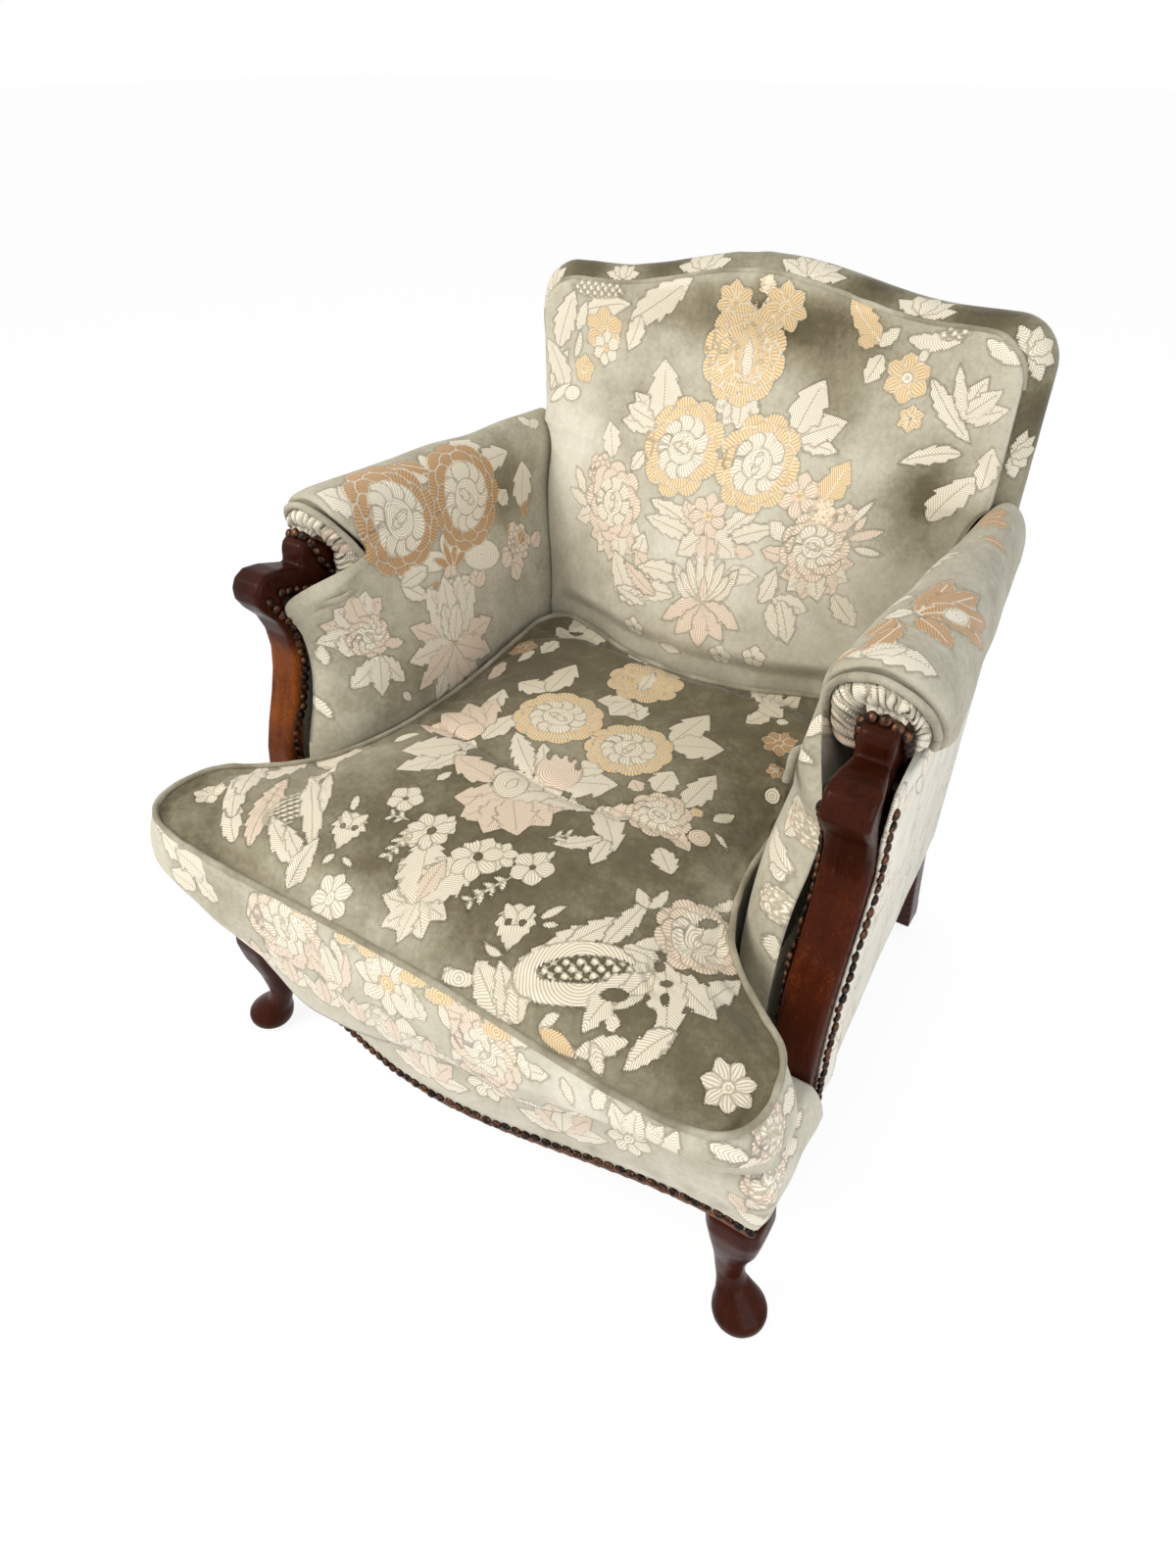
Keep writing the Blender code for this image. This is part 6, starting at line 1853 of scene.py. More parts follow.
@dataclass
class Arm:
    """One rolled arm: inside arm and roll, gathered front with its piping, and the outside panel."""

    side: Side
    post_inner_x: float = 0.299
    post_outer_x: float = 0.341
    hand_taper: float = 0.011
    roll_z: float = 0.596
    roll_top_front: float = 0.660
    roll_top_rear: float = 0.647
    roll_x_front: float = 0.3040
    roll_x_rear: float = 0.2920
    roll_half_front: float = 0.0570
    roll_half_rear: float = 0.0260
    roll_front_y: float = -0.0765
    roll_front_top_y: float = -0.106
    rear_y: float = 0.2877
    foot_z: float = 0.262
    face_x: float = 0.227
    piping_radius: float = 0.0034
    pleats: int = 19
    front_line: tuple[tuple[float, float], ...] = (
        (0.262, -0.186),
        (0.350, -0.187),
        (0.390, -0.183),
        (0.424, -0.171),
        (0.452, -0.160),
        (0.480, -0.152),
        (0.523, -0.152),
        (0.560, -0.166),
    )

    @property
    def mirror(self) -> bool:
        """True where the arm is built at -X."""
        return self.side is Side.LEFT

    def front_at(self, z: float | Array) -> float | Array:
        """Y of the roll's front: its top leans forward over the hand's block."""
        return lerp(self.roll_front_y, self.roll_front_top_y, np.clip((z - self.roll_z) / 0.050, 0, 1))

    def face_at(self, z: float, share: float) -> float:
        """X of the inside arm's face at a height, before it turns into the roll."""
        roll = lerp(self.roll_x_rear, self.roll_x_front, share) - lerp(
            self.roll_half_rear, self.roll_half_front, share,
        )
        return lerp(self.face_x, roll, smooth((z - 0.42) / (self.roll_z - 0.42)))

    def section(
        self, roll_y: float, setback: float | None, outboard: float, fullness: float,
    ) -> list[tuple[float, float, float]]:
        """One line over the arm, from the inside arm's foot up and round the roll.

        Args:
            roll_y: Y of the roll at this station.
            setback: distance behind the front nail line; None away from the front.
            outboard: how far the inside arm has turned towards the post.
            fullness: share of the roll's full radius.

        Returns:
            Points of the line.
        """
        share = (self.rear_y - roll_y) / (self.rear_y - self.roll_front_y)
        cx = lerp(self.roll_x_rear, self.roll_x_front, share)
        rx = lerp(self.roll_half_rear, self.roll_half_front, share)
        rz = lerp(self.roll_top_rear, self.roll_top_front, share) - self.roll_z
        lean = float(smooth((share - 0.80) / 0.20))
        points = []
        for z in (self.foot_z, 0.300, 0.340, 0.370, 0.400, 0.445, 0.480, 0.520, 0.560):
            face = self.face_at(z, share)
            if setback is None:
                points.append((face, roll_y, z))
            else:
                y = float(along_x(self.front_line, z)) + setback
                points.append((min(face + outboard, self.post_inner_x - 0.0043), y, z))
        for degrees in (172, 150, 128, 109, 90, 68, 45, 22, 2, -12):
            angle = math.radians(degrees)
            z = self.roll_z + rz * fullness * math.sin(angle)
            x = cx + rx * fullness * math.cos(angle)
            points.append((x, roll_y + (float(self.front_at(z)) - self.roll_front_y) * lean, z))
        points.append((max(cx + rx * 0.86, 0.334 if share > 0.9 else 0.0), roll_y, 0.581))
        return points

    def pad_surface(self) -> Array:
        """The inside arm and roll as a dense surface, rear row first."""
        nose = (
            (0.080, 0.001, 1.0), (0.045, 0.008, 1.0), (0.025, 0.018, 0.995), (0.010, 0.035, 0.96),
            (0.000, 0.058, 0.91),
        )
        stations = [(self.rear_y, None, 0.0, 1.0), (0.190, None, 0.0, 1.0), (0.080, None, 0.0, 1.0)]
        for back, row in zip((0.060, 0.036, 0.016, 0.005, 0.0), nose):
            stations.append((self.roll_front_y + back, *row))
        coarse = np.array([self.section(*station) for station in stations])
        dense = refine(coarse, 180, 194)
        normal = grid_normals(dense)
        if normal[100, 100, 0] > 0:
            normal = -normal
        y, z = dense[..., 1] * 1000, dense[..., 2] * 1000
        swell = 0.0016 * waves(y, z, 61 if self.mirror else 62, 90.0)
        fade = smooth((dense[..., 1] - dense[-1:, :, 1]) / 0.03)
        return dense + normal * (swell * fade)[..., None]

    def build(self, velvet: bpy.types.Material, piping: bpy.types.Material) -> list[bpy.types.Object]:
        """Builds the arm's four pieces.

        Args:
            velvet: the brocade.
            piping: the piping's velvet.

        Returns:
            The pieces.
        """
        end = self.side.value
        surface = self.pad_surface()
        rows, columns = surface.shape[:2]
        loop = surface.reshape(-1, 3)[rim_indices(rows, columns)]
        inward = loop + (np.array([0.285, 0.0, 0.0]) - loop) * [0.10, 0, 0]
        inward[:, 2] += np.where(loop[:, 2] > 0.57, -0.002, 0.0)
        run = np.linalg.norm(np.diff(surface[60], axis=0), axis=1)
        section = np.concatenate([[0.0], np.cumsum(run)]) * 1000
        weave = Weave(surface[..., 1] * 1000, np.tile(section, (rows, 1)), 0.54)
        self.weave_pad(weave)
        fields = woven_fields(weave, rim_weave(weave, rows, columns, 1))
        pad = joined(f"arm_cover_{end}", surface, [inward], (0.285, 0.06, 0.48), fields, self.mirror)
        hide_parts(f"arm_pad_{end}")
        gathers = self.build_gathers()
        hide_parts(f"arm_gathers_{end}")
        welt = self.build_welt()
        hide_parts(f"arm_piping_{end}")
        outside = self.build_outside()
        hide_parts(f"outside_arm_{end}")
        pieces = [pad, gathers, welt, outside]
        for piece, stuff in zip(pieces, (velvet, velvet, piping, velvet)):
            piece.data.materials.append(stuff)
            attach(piece, "root")
        return pieces

    def hand_edge(self, count: int) -> Array:
        """Inner edge of the gathers, round the hand and its block, as (x, z)."""
        inner, outer = self.post_inner_x - 0.002, self.post_outer_x - self.hand_taper + 0.002
        high = 0.6153
        path = (
            (inner, 0.568), (inner, high - 0.002), (inner + 0.006, high + 0.002),
            (outer - 0.006, high + 0.002), (outer, high - 0.002), (outer, 0.586),
        )
        run = chords(np.asarray(path))
        even = np.linspace(0, run[-1], count)
        return np.stack(
            [np.interp(even, run, [p[0] for p in path]), np.interp(even, run, [p[1] for p in path])], -1,
        )

    def roll_edge(self, count: int, inset: float) -> Array:
        """Outer edge of the gathers round the roll, as (x, z)."""
        angle = np.radians(np.linspace(213, -12, count))
        high = (self.roll_top_front - self.roll_z) * 0.91
        x = self.roll_x_front + (self.roll_half_front * 0.91 - inset) * np.cos(angle)
        return np.stack([x, self.roll_z + (high - inset) * np.sin(angle)], -1)

    def build_gathers(self) -> bpy.types.Object:
        """Pleats that fan out from the hand's block to the piped edge."""
        count, across = 380, 34
        outer, inner = self.roll_edge(count, 0.0100), self.hand_edge(count)
        t = np.linspace(0, 1, across)[None, :]
        around = np.linspace(0, 1, count)[:, None]
        x = lerp(inner[:, :1], outer[:, :1], t)
        z = lerp(inner[:, 1:], outer[:, 1:], t)
        seed = 71 if self.mirror else 72
        drift = 0.55 * waves(around * 1000, t * 300, seed, 160.0)
        wave = around * self.pleats + drift
        fold = np.abs(np.sin(wave * math.pi)) ** 0.65
        deep = 0.0062 * (0.75 + 0.35 * waves(around * 1000, t * 0, seed + 2, 60.0))
        puff = np.sin(math.pi * np.clip(t * 0.93 + 0.07, 0, 1)) ** 0.6
        front = self.front_at(z) - 0.0050 - 0.0125 * puff - deep * (fold - 0.35) * (0.35 + 0.65 * puff)
        over_block = smooth((inner[:, 1:] - 0.600) / 0.015)
        front = np.minimum(front, lerp(9.0, -0.1115, over_block) * np.ones_like(t) + 0.012 * t)
        surface = np.stack([x, front, z], -1)
        loop = surface.reshape(-1, 3)[rim_indices(count, across)]
        behind = np.column_stack([loop[:, 0], self.front_at(loop[:, 2]) - 0.0052, loop[:, 2]])
        weave = Weave(around * 1000 + 0 * t, t * 45 + 0 * around, 0.60)
        weave.nap += 0.0
        weave.cover = 3.2 * waves(weave.u, weave.v, seed + 4, 42.0) + 0.6
        weave.tone = np.where(waves(weave.u, weave.v, seed + 5, 300.0) > 0.45, 1.0, 0.0)
        weave.phase = weave.v / 3.0 + waves(weave.u, weave.v, seed + 6, 30.0)
        # Painted shade in the creases between the pleats: the pile is set darker there and browned by soil,
        # on top of random dirt
        crease = 1 - np.broadcast_to(fold, surface.shape[:2]).ravel()
        weave.nap = 0.62 - 0.55 * smooth((crease - 0.35) / 0.5)
        weave.soil = 0.30 * smooth((crease - 0.3) / 0.5) + 0.25 * np.clip(
            waves(weave.u, weave.v, seed + 7, 120.0), 0, 1,
        )
        fields = woven_fields(weave, rim_weave(weave, count, across, 1))
        return strip(f"arm_gathers_cover_{self.side.value}", surface, [behind], fields, self.mirror)

    def build_welt(self) -> bpy.types.Object:
        """The piping round the front of the roll."""
        head = []
        for y, z in ((-0.158, 0.5645), (-0.146, 0.5645), (-0.120, 0.5650)):
            head.append((self.face_at(z, 1.0) + 0.002 + 0.24 * abs(y + 0.104), y, z))
        ring = self.roll_edge(40, 0.0060)
        body = np.column_stack([ring[:, 0], self.front_at(ring[:, 1]) - 0.0082, ring[:, 1]])
        line = curve_through(np.concatenate([head, body]), 300)
        return cord(
            f"arm_welt_{self.side.value}", line, self.piping_radius, 0.50, mirror=self.mirror, seed=12,
        )

    def outside_x(self, y: Array, z: Array) -> Array:
        """X of the outside arm's inner face: on the side rail below, over post and hand above."""
        low = lerp(0.343, 0.300, (y + 0.3025) / 0.6245) + 0.0006
        beside = self.post_outer_x + 0.0006
        share = np.clip((y + 0.082) / 0.404, 0, None)
        rise = lerp(low, lerp(beside, 0.3006, share), smooth((z - 0.240) / 0.26))
        return np.where((y < -0.149) & (z > 0.239), np.maximum(low, beside), np.maximum(low, rise))

    def build_outside(self) -> bpy.types.Object:
        """The outside panel, nailed along the side of the post and tacked under the roll."""
        rows, columns = 118, 126
        z = np.linspace(0.184, 0.579, rows)[:, None]
        line = (
            (0.184, -0.176), (0.240, -0.181), (0.300, -0.189), (0.350, -0.188), (0.380, -0.184),
            (0.415, -0.175), (0.450, -0.163), (0.500, -0.150), (0.540, -0.158), (0.579, -0.150),
        )
        front = along_x(line, z) + 0.0012 * np.abs(np.sin(z * 1000 / 10.6 * math.pi))
        t = np.linspace(0, 1, columns)[None, :]
        y = lerp(front, 0.322, t)
        x = self.outside_x(y, z)
        kernel = 9
        padded = np.pad(x, ((0, 0), (kernel, kernel)), mode="edge")
        x = np.mean([padded[:, k : k + columns] for k in range(2 * kernel + 1)], axis=0)
        x = np.maximum(x, self.outside_x(y, z))
        edge = np.minimum(np.minimum(t, 1 - t) * 2.4, np.minimum(z - 0.184, 0.579 - z) / 0.20)
        thick = 0.0030 + 0.0022 * smooth(edge / 0.10)
        thick = thick + 0.0007 * waves(y * 1000, z * 1000, 81 if self.mirror else 82, 100.0)
        surface = np.stack([x + thick, y, z + 0 * y], -1)
        loop = surface.reshape(-1, 3)[rim_indices(rows, columns)]
        inner = loop - [0.0028, 0, 0]
        # The pile is set pale: partly the flat pile of the outside arm, partly a painted highlight
        weave = Weave(surface[..., 1] * 1000, surface[..., 2] * 1000, 0.86)
        self.weave_outside(weave)
        fields = woven_fields(weave, rim_weave(weave, rows, columns, 1))
        return strip(f"outside_arm_cover_{self.side.value}", surface, [inner], fields, self.mirror)

    def weave_pad(self, w: Weave) -> None:
        """Figures of the inside arm and roll: across is Y, up is the run from the foot over the roll."""
        if self.side is Side.LEFT:
            self.weave_left_pad(w)
        else:
            self.weave_right_pad(w)

    def weave_left_pad(self, w: Weave) -> None:
        """Brown peonies on the roll over a blush palmette on the inside arm."""
        w.leaves(
            (-73, 376, 127, 38, 33, CREAM, 0.05), (-73, 378, 84, 26, 24),
            (42, 384, 160, 70, 20, BROWN, 0, 4), (46, 385, 150, 38, 18, BROWN, 0, 3),
            (38, 378, 170, 56, 15, CREAM, 0, 3), (46, 385, 69, 20, 16, CREAM, 0, 3),
            (119, 371, 107, 38, 56, CREAM, 0, 3), (123, 370, 0, 58, 32, CREAM, 0, 3),
            (192, 297, 80, 56, 42, CREAM, 0, 3), (150, 272, 33, 26, 18, BROWN),
            (187, 286, 47, 22, 15, BROWN),
        )
        w.peony(168, 261, 23, BLUSH, BLUSH, 6)
        w.leaves(
            (144, 250, 128, 20, 18, BLUSH), (149, 222, 68, 30, 25, BLUSH),
            (192, 245, 33, 25, 22, BLUSH, 0, 3),
        )
        w.fan(238, 387, 54, 90, 2, 22, 16)
        w.leaf(148, 315, 43, 20, 30, CREAM, 0, 3)
        # Cream clouds with a brown and blush star between the peonies and the palmette
        for x, y, along, over in (
            (53, 303, 30, 21), (94, 272, 33, 18), (7, 297, 27, 12), (-27, 295, 22, 11),
        ):
            w.disc(x, y, along, over, -21, CREAM)
        w.fan(38, 278, 80, 128, 4, 34, 11, BROWN, teeth=0)
        w.leaf(38, 278, -163, 22, 11, BLUSH)
        w.leaf(38, 278, -92, 16, 13, BLUSH)
        w.peony(-29, 356, 58, BROWN, CREAM, 11)
        w.peony(87, 344, 60, BROWN, CREAM, 11)
        w.fan(-46, 290, -18, 46, 2, 44, 24, teeth=4)
        w.leaf(4, 261, -7, 66, 20, CREAM, 0, 4)
        w.leaf(2, 259, 113, 14, 32, BROWN, 0, 4)
        # Palmette of the inside arm
        w.fan(8, 196, 205, 125, 5, 74, 30, BLUSH, CREAM, 4)
        w.fan(12, 193, -50, 100, 4, 74, 34, BLUSH, teeth=4)
        w.fan(12, 200, 74, 66, 4, 76, 40, CREAM, teeth=4)
        w.leaves(
            (6, 199, 86, 46, 25), (10, 197, 62, 46, 27), (75, 241, 101, 20, 22, BLUSH, 0, 3),
            (74, 238, 39, 24, 18, BLUSH, 0, 3),
        )
        # Cream flower and scrolls near the front, and small leaves at the rear
        w.fan(-108, 266, 100, 130, 5, 38, 27, BLUSH, CREAM, 4)
        w.fan(-118, 262, -135, 50, 2, 30, 24, teeth=4)
        w.peony(-102, 251, 24, BLUSH)
        w.fan(-98, 226, -103, 70, 3, 46, 24, teeth=4, bend=0.1)
        w.leaves(
            (-88, 236, -16, 25, 14, BLUSH, 0, 3), (-144, 226, 89, 24, 7, CREAM, 0, 3),
            (-160, 168, 90, 24, 8, CREAM, 0, 3), (127, 244, 29, 24, 22, BLUSH, 0, 2),
            (150, 218, 98, 24, 24, BLUSH, 0, 3), (167, 259, 33, 20, 18, BROWN), (-82, 174, -59, 18, 10),
        )
        # The pile is set paler and darker in soft patches: partly how it lies, partly painted light and shade
        w.brush(60, 280, 110, 50, 0.12)
        w.brush(160, 330, 50, 40, -0.30)
        w.brush(-70, 180, 60, 50, -0.14)

    def weave_right_pad(self, w: Weave) -> None:
        """Brown fan flower and cream leaf on the roll, and cream sprays down the inside arm."""
        w.leaves(
            (-96, 397, 10, 62, 18, BROWN, -0.05), (-55, 388, 18, 32, 24, BROWN),
            (-99, 398, -42, 60, 15, CREAM, 0, 3), (-96, 397, 64, 46, 32, CREAM, 0.1),
            (-96, 397, 45, 30, 19), (-93, 372, 55, 28, 10, BROWN), (35, 366, 10, 50, 20, BROWN),
            (55, 366, -4, 42, 12, BROWN), (27, 364, 107, 34, 26, CREAM, -0.1, 3), (-18, 388, 81, 20, 20),
            (-23, 412, 120, 30, 30, BROWN, -0.1, 3),
        )
        w.fan(-18, 411, 24, 44, 4, 104, 24, BROWN, teeth=4, outer=0.8)
        w.disc(9, 431, 16, 7, 22, CREAM)
        w.fan(142, 345, 118, 36, 4, 62, 16, teeth=0)
        w.leaves(
            (241, 383, 60, 42, 34, BROWN, 0, 3), (223, 392, 73, 42, 30, BROWN, 0, 3),
            (177, 413, 56, 34, 18, BROWN, 0.1, 3), (300, 350, 119, 34, 22, CREAM, 0, 3),
        )
        # Inside arm, beside the cushion
        w.leaves(
            (-112, 307, 64, 40, 16, CREAM, 0, 3), (-106, 262, 71, 32, 30, CREAM, 0, 3),
            (-130, 228, 102, 56, 24, CREAM, 0, 3), (-151, 192, 37, 26, 17, CREAM, 0, 3),
        )
        w.peony(-144, 255, 18, BLUSH, CREAM, 7)
        w.peony(-160, 174, 15, CREAM, CREAM, 8)
        w.leaves(
            (-139, 315, -21, 70, 14, CREAM, 0, 3), (-150, 205, 11, 44, 24, CREAM, 0, 3),
            (-172, 150, -111, 22, 10, CREAM, 0, 3),
        )
        w.fan(60, 250, 90, 120, 5, 60, 30, BLUSH, CREAM, 4)
        w.peony(60, 250, 34, BLUSH)
        # The pile is set paler in soft patches: partly how it lies, partly painted light
        w.brush(60, 350, 90, 40, 0.14)
        w.brush(-120, 210, 40, 60, 0.12)

    def weave_outside(self, w: Weave) -> None:
        """Figures of the outside arm: across is Y, up is height, on a pile set pale, partly a painted
        highlight.
        """
        for y in (-150, -70, 20, 110, 200, 280):
            for z in (170, 300, 430, 540):
                shift = 30 if z in (170, 430) else 0
                w.fan(y + shift, z, 90, 110, 5, 44, 15, teeth=0)
                w.leaf(y + shift, z, -90, 60, 9, CREAM, 0.1)
                w.daisy(y + 40 - shift, z + 62, 14, CREAM, 6)
        for y, z, radius, amount in ((-120, 300, 34, 0.35), (-60, 210, 22, 0.3), (40, 250, 30, 0.25)):
            w.stain(y, z, radius, amount, True)


@dataclass
class FrontBorder:
    """The upholstered lip over the front rail, fullest at the right corner."""

    face_y: float = -0.3025
    bow: float = 0.0465
    half: float = 0.3433
    post_y: float = -0.2033
    skirt_z: float = 0.190
    top_z: float = 0.286
    bulge_left: float = 0.007
    bulge_right: float = 0.013
    platform: float = 0.085
    platform_z: float = 0.2872
    post_depth: float = 0.045

    def face(self, x: Array) -> Array:
        """Y of the rail's face under the border."""
        return self.face_y - self.bow * (1.0 - smooth(np.abs(x) / 0.343 * 1.05)) - 0.0006

    def path(self, count: int) -> Array:
        """Plan line round the front, from the left post to the right one."""
        x = np.linspace(-self.half, self.half, 121)
        front = np.column_stack([x, self.face(x)])
        turn = np.linspace(self.post_y, front[0, 1], 12)[:-1]
        line = np.concatenate([
            np.column_stack([turn * 0 - self.half, turn]), front,
            np.column_stack([turn * 0 + self.half, turn])[::-1],
        ])
        run = chords(line)
        even = np.linspace(0, run[-1], count)
        return np.stack([np.interp(even, run, line[:, 0]), np.interp(even, run, line[:, 1])], -1)

    def build(self, velvet: bpy.types.Material) -> bpy.types.Object:
        """Builds the border.

        Args:
            velvet: the brocade.

        Returns:
            The piece.
        """
        count, across = 460, 56
        line = self.path(count)
        tangent = np.gradient(line, axis=0)
        for _ in range(5):
            tangent = (np.roll(tangent, 1, 0) + tangent + np.roll(tangent, -1, 0)) / 3
        out = np.stack([tangent[:, 1], -tangent[:, 0]], -1)
        out /= np.linalg.norm(out, axis=1, keepdims=True)
        run = chords(line) * 1000
        z = np.linspace(self.skirt_z, self.top_z, across)[None, :]
        fullness = along_x(
            (
                (0.190, 0.03), (0.198, 0.08), (0.208, 0.52), (0.225, 0.85), (0.240, 0.96), (0.255, 1.0),
                (0.268, 0.86), (0.279, 0.52), (0.286, 0.0),
            ),
            z,
        )
        right = smooth((line[:, :1] / 0.343 - 0.45) / 0.5)
        bulge = lerp(self.bulge_left, self.bulge_right, right)
        fold = 0.0022 * right * waves(run[:, None] + 0 * z, z * 1000 * 0.55, 91, 24.0)
        ripple = 0.0009 * waves(run[:, None] + 0 * z, z * 1000, 92, 34.0)
        reach = np.maximum(
            bulge * fullness + (fold + ripple) * np.sin(np.clip(fullness, 0, 1) * math.pi / 2), 0.0008,
        )
        scallop = 0.0010 * np.abs(np.sin(run / 10.6 * math.pi))[:, None] * smooth((0.194 - z) / 0.004)
        surface = np.stack(
            [line[:, :1] + out[:, :1] * reach, line[:, 1:] + out[:, 1:] * reach, z + scallop], -1,
        )
        shelf, face_rows, across = self.shelf(line, out), across, across + 6
        surface = np.concatenate([surface, shelf], 1)
        rim = rim_indices(count, across)
        loop = surface.reshape(-1, 3)[rim]
        behind = np.column_stack([line[rim // across], loop[:, 2]])
        rings = [np.where((rim % across < face_rows)[:, None], behind, loop - [0, 0, 0.003])]
        up = np.concatenate([(z[0] - self.skirt_z) * 1000, np.linspace(100, 180, across - face_rows)])
        weave = Weave(np.tile(run[:, None], (1, across)), np.tile(up, (count, 1)), 0.66)
        self.weave(weave)
        made = strip(
            "front_border_cover", surface, rings, woven_fields(weave, rim_weave(weave, count, across, 1)),
        )
        made.data.materials.append(velvet)
        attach(made, "root")
        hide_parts("front_border")
        return made

    def shelf(self, line: Array, out: Array) -> Array:
        """The platform cloth that runs in under the cushion, and round behind the posts at its ends."""
        inward = np.linspace(0.004, self.platform, 6)[None, :]
        plan = line[:, None, :] - out[:, None, :] * inward[..., None]
        ends = smooth((line[:, 1:] - self.post_y + 0.047) / 0.045)
        plan[..., 1] += 2.7 * ends * np.maximum(inward - self.post_depth, 0.0)
        beside = smooth((np.abs(line[:, :1]) - self.half + 0.0004) / 0.0004)
        tucked = self.platform_z - 0.05 * (1.0 - beside) * inward
        return np.concatenate([plan, tucked[..., None]], -1)

    def weave(self, w: Weave) -> None:
        """Figures of the border: across is the run from the left post, up is height over the skirt."""
        for run in (60, 190, 330, 470, 610):
            w.fan(run, 40, 90, 150, 5, 46, 24, CREAM, BLUSH)
            w.daisy(run + 65, 70, 22, CREAM, 7, CREAM)
        w.leaf(782, 58, -63, 27, 16, CREAM, 0, 3)
        w.leaf(772, 65, -42, 22, 20, BLUSH, 0, 3)
        w.fan(800, 86, -90, 50, 3, 30, 12)
        w.peony(801, 93, 25, BLUSH, CREAM, 8)
        w.leaf(848, 94, 0, 20, 10, CREAM, 0, 3)
        w.leaf(825, 89, -6, 20, 14, CREAM, 0, 3)
        for run, height, radius in ((700, 30, 9), (735, 34, 8), (765, 30, 7), (790, 60, 8), (640, 26, 9)):
            w.stain(run, height, radius, 0.5)


@dataclass
class DomedNails:
    """Rows of domed nails along the front rail and round both posts."""

    inner_x: float = 0.2972
    outer_x: float = 0.3455
    block_x: float = 0.315
    block_z: float = 0.592
    radius: float = 0.0052
    spacing: float = 0.0106
    height: float = 0.0030

    def row(self, line: Sequence[Sequence[float]], facing: Sequence[float]) -> tuple[Array, Array]:
        """Nail places along a line.

        Args:
            line: points of the line.
            facing: direction that the domes face.

        Returns:
            Places and directions.
        """
        length = chords(np.asarray(line, float))[-1]
        places = curve_through(line, max(2, int(round(length / self.spacing)) + 1))
        return places, np.tile(np.asarray(facing, float), (len(places), 1))

    def post_rows(self, sign: float) -> list[tuple[Array, Array]]:
        """Nail rows of one arm: on the post's inner side, round the block, and down its outer side."""
        inner = (
            (-0.186, 0.262), (-0.190, 0.330), (-0.186, 0.385), (-0.185, 0.408), (-0.173, 0.431),
            (-0.161, 0.456), (-0.155, 0.479), (-0.155, 0.504), (-0.156, 0.523), (-0.162, 0.541),
            (-0.172, 0.557), (-0.180, 0.570),
        )
        hand = ((-0.180, 0.570), (-0.164, 0.575), (-0.140, 0.568), (-0.115, 0.562), (-0.093, 0.562))
        rows = [self.row([(sign * self.inner_x, y, z) for y, z in inner], (-sign, 0, 0))]
        rows.append(self.row([(sign * self.inner_x, y, z) for y, z in hand[1:]], (-sign, 0, 0.0)))
        block = (
            (0.2960, -0.0965, 0.571), (0.2960, -0.105, 0.585), (0.2965, -0.112, 0.600),
            (0.2985, -0.1165, 0.612), (0.306, -0.119, 0.6185), (0.318, -0.119, 0.6185),
            (0.3285, -0.117, 0.613), (0.3335, -0.111, 0.600), (0.3345, -0.104, 0.588),
        )
        places, facing = self.row([(sign * x, y, z) for x, y, z in block], (0, -1, 0.4))
        away = places - [sign * self.block_x, 0, self.block_z]
        facing = np.column_stack([away[:, 0] * 28, np.full(len(places), -0.9), away[:, 2] * 24])
        rows.append((places, facing))
        outer = (
            (-0.178, 0.190), (-0.182, 0.230), (-0.185, 0.270), (-0.187, 0.300), (-0.187, 0.345),
            (-0.182, 0.380), (-0.174, 0.412), (-0.161, 0.452), (-0.150, 0.490), (-0.151, 0.525),
            (-0.150, 0.560),
        )
        rows.append(self.row([(sign * self.outer_x, y + 0.003, z) for y, z in outer], (sign, 0, 0)))
        return rows

    def tree(self, finish: bpy.types.Material) -> bpy.types.NodeTree:
        """Geometry Nodes tree that sets one dome on each point, turned to the point's facing."""
        group = bpy.data.node_groups.new("domed nails", "GeometryNodeTree")
        group.interface.new_socket("Geometry", in_out="INPUT", socket_type="NodeSocketGeometry")
        group.interface.new_socket("Dome Radius", in_out="INPUT", socket_type="NodeSocketFloat")
        group.interface.new_socket("Dome Height", in_out="INPUT", socket_type="NodeSocketFloat")
        group.interface.new_socket("Geometry", in_out="OUTPUT", socket_type="NodeSocketGeometry")
        new, link = group.nodes.new, group.links.new
        given, result = new("NodeGroupInput"), new("NodeGroupOutput")
        ball = new("GeometryNodeMeshUVSphere")
        ball.inputs["Segments"].default_value = 14
        ball.inputs["Rings"].default_value = 8
        flat = new("GeometryNodeTransform")
        size = new("ShaderNodeCombineXYZ")
        ratio = new("ShaderNodeMath")
        ratio.operation = "DIVIDE"
        link(given.outputs["Dome Height"], ratio.inputs[0])
        link(given.outputs["Dome Radius"], ratio.inputs[1])
        size.inputs[0].default_value = size.inputs[1].default_value = 1.0
        link(ratio.outputs[0], size.inputs[2])
        link(given.outputs["Dome Radius"], ball.inputs["Radius"])
        link(ball.outputs["Mesh"], flat.inputs["Geometry"])
        link(size.outputs[0], flat.inputs["Scale"])
        smooth_faces = new("GeometryNodeSetShadeSmooth")
        link(flat.outputs[0], smooth_faces.inputs["Geometry"])
        facing = new("GeometryNodeInputNamedAttribute")
        facing.data_type = "FLOAT_VECTOR"
        facing.inputs["Name"].default_value = "facing"
        turn = new("FunctionNodeAlignRotationToVector")
        turn.axis = "Z"
        link(facing.outputs["Attribute"], turn.inputs["Vector"])
        copies = new("GeometryNodeInstanceOnPoints")
        link(given.outputs["Geometry"], copies.inputs["Points"])
        link(smooth_faces.outputs[0], copies.inputs["Instance"])
        link(turn.outputs[0], copies.inputs["Rotation"])
        real = new("GeometryNodeRealizeInstances")
        link(copies.outputs[0], real.inputs[0])
        coat = new("GeometryNodeSetMaterial")
        coat.inputs["Material"].default_value = finish
        link(real.outputs[0], coat.inputs["Geometry"])
        link(coat.outputs[0], result.inputs[0])
        return group

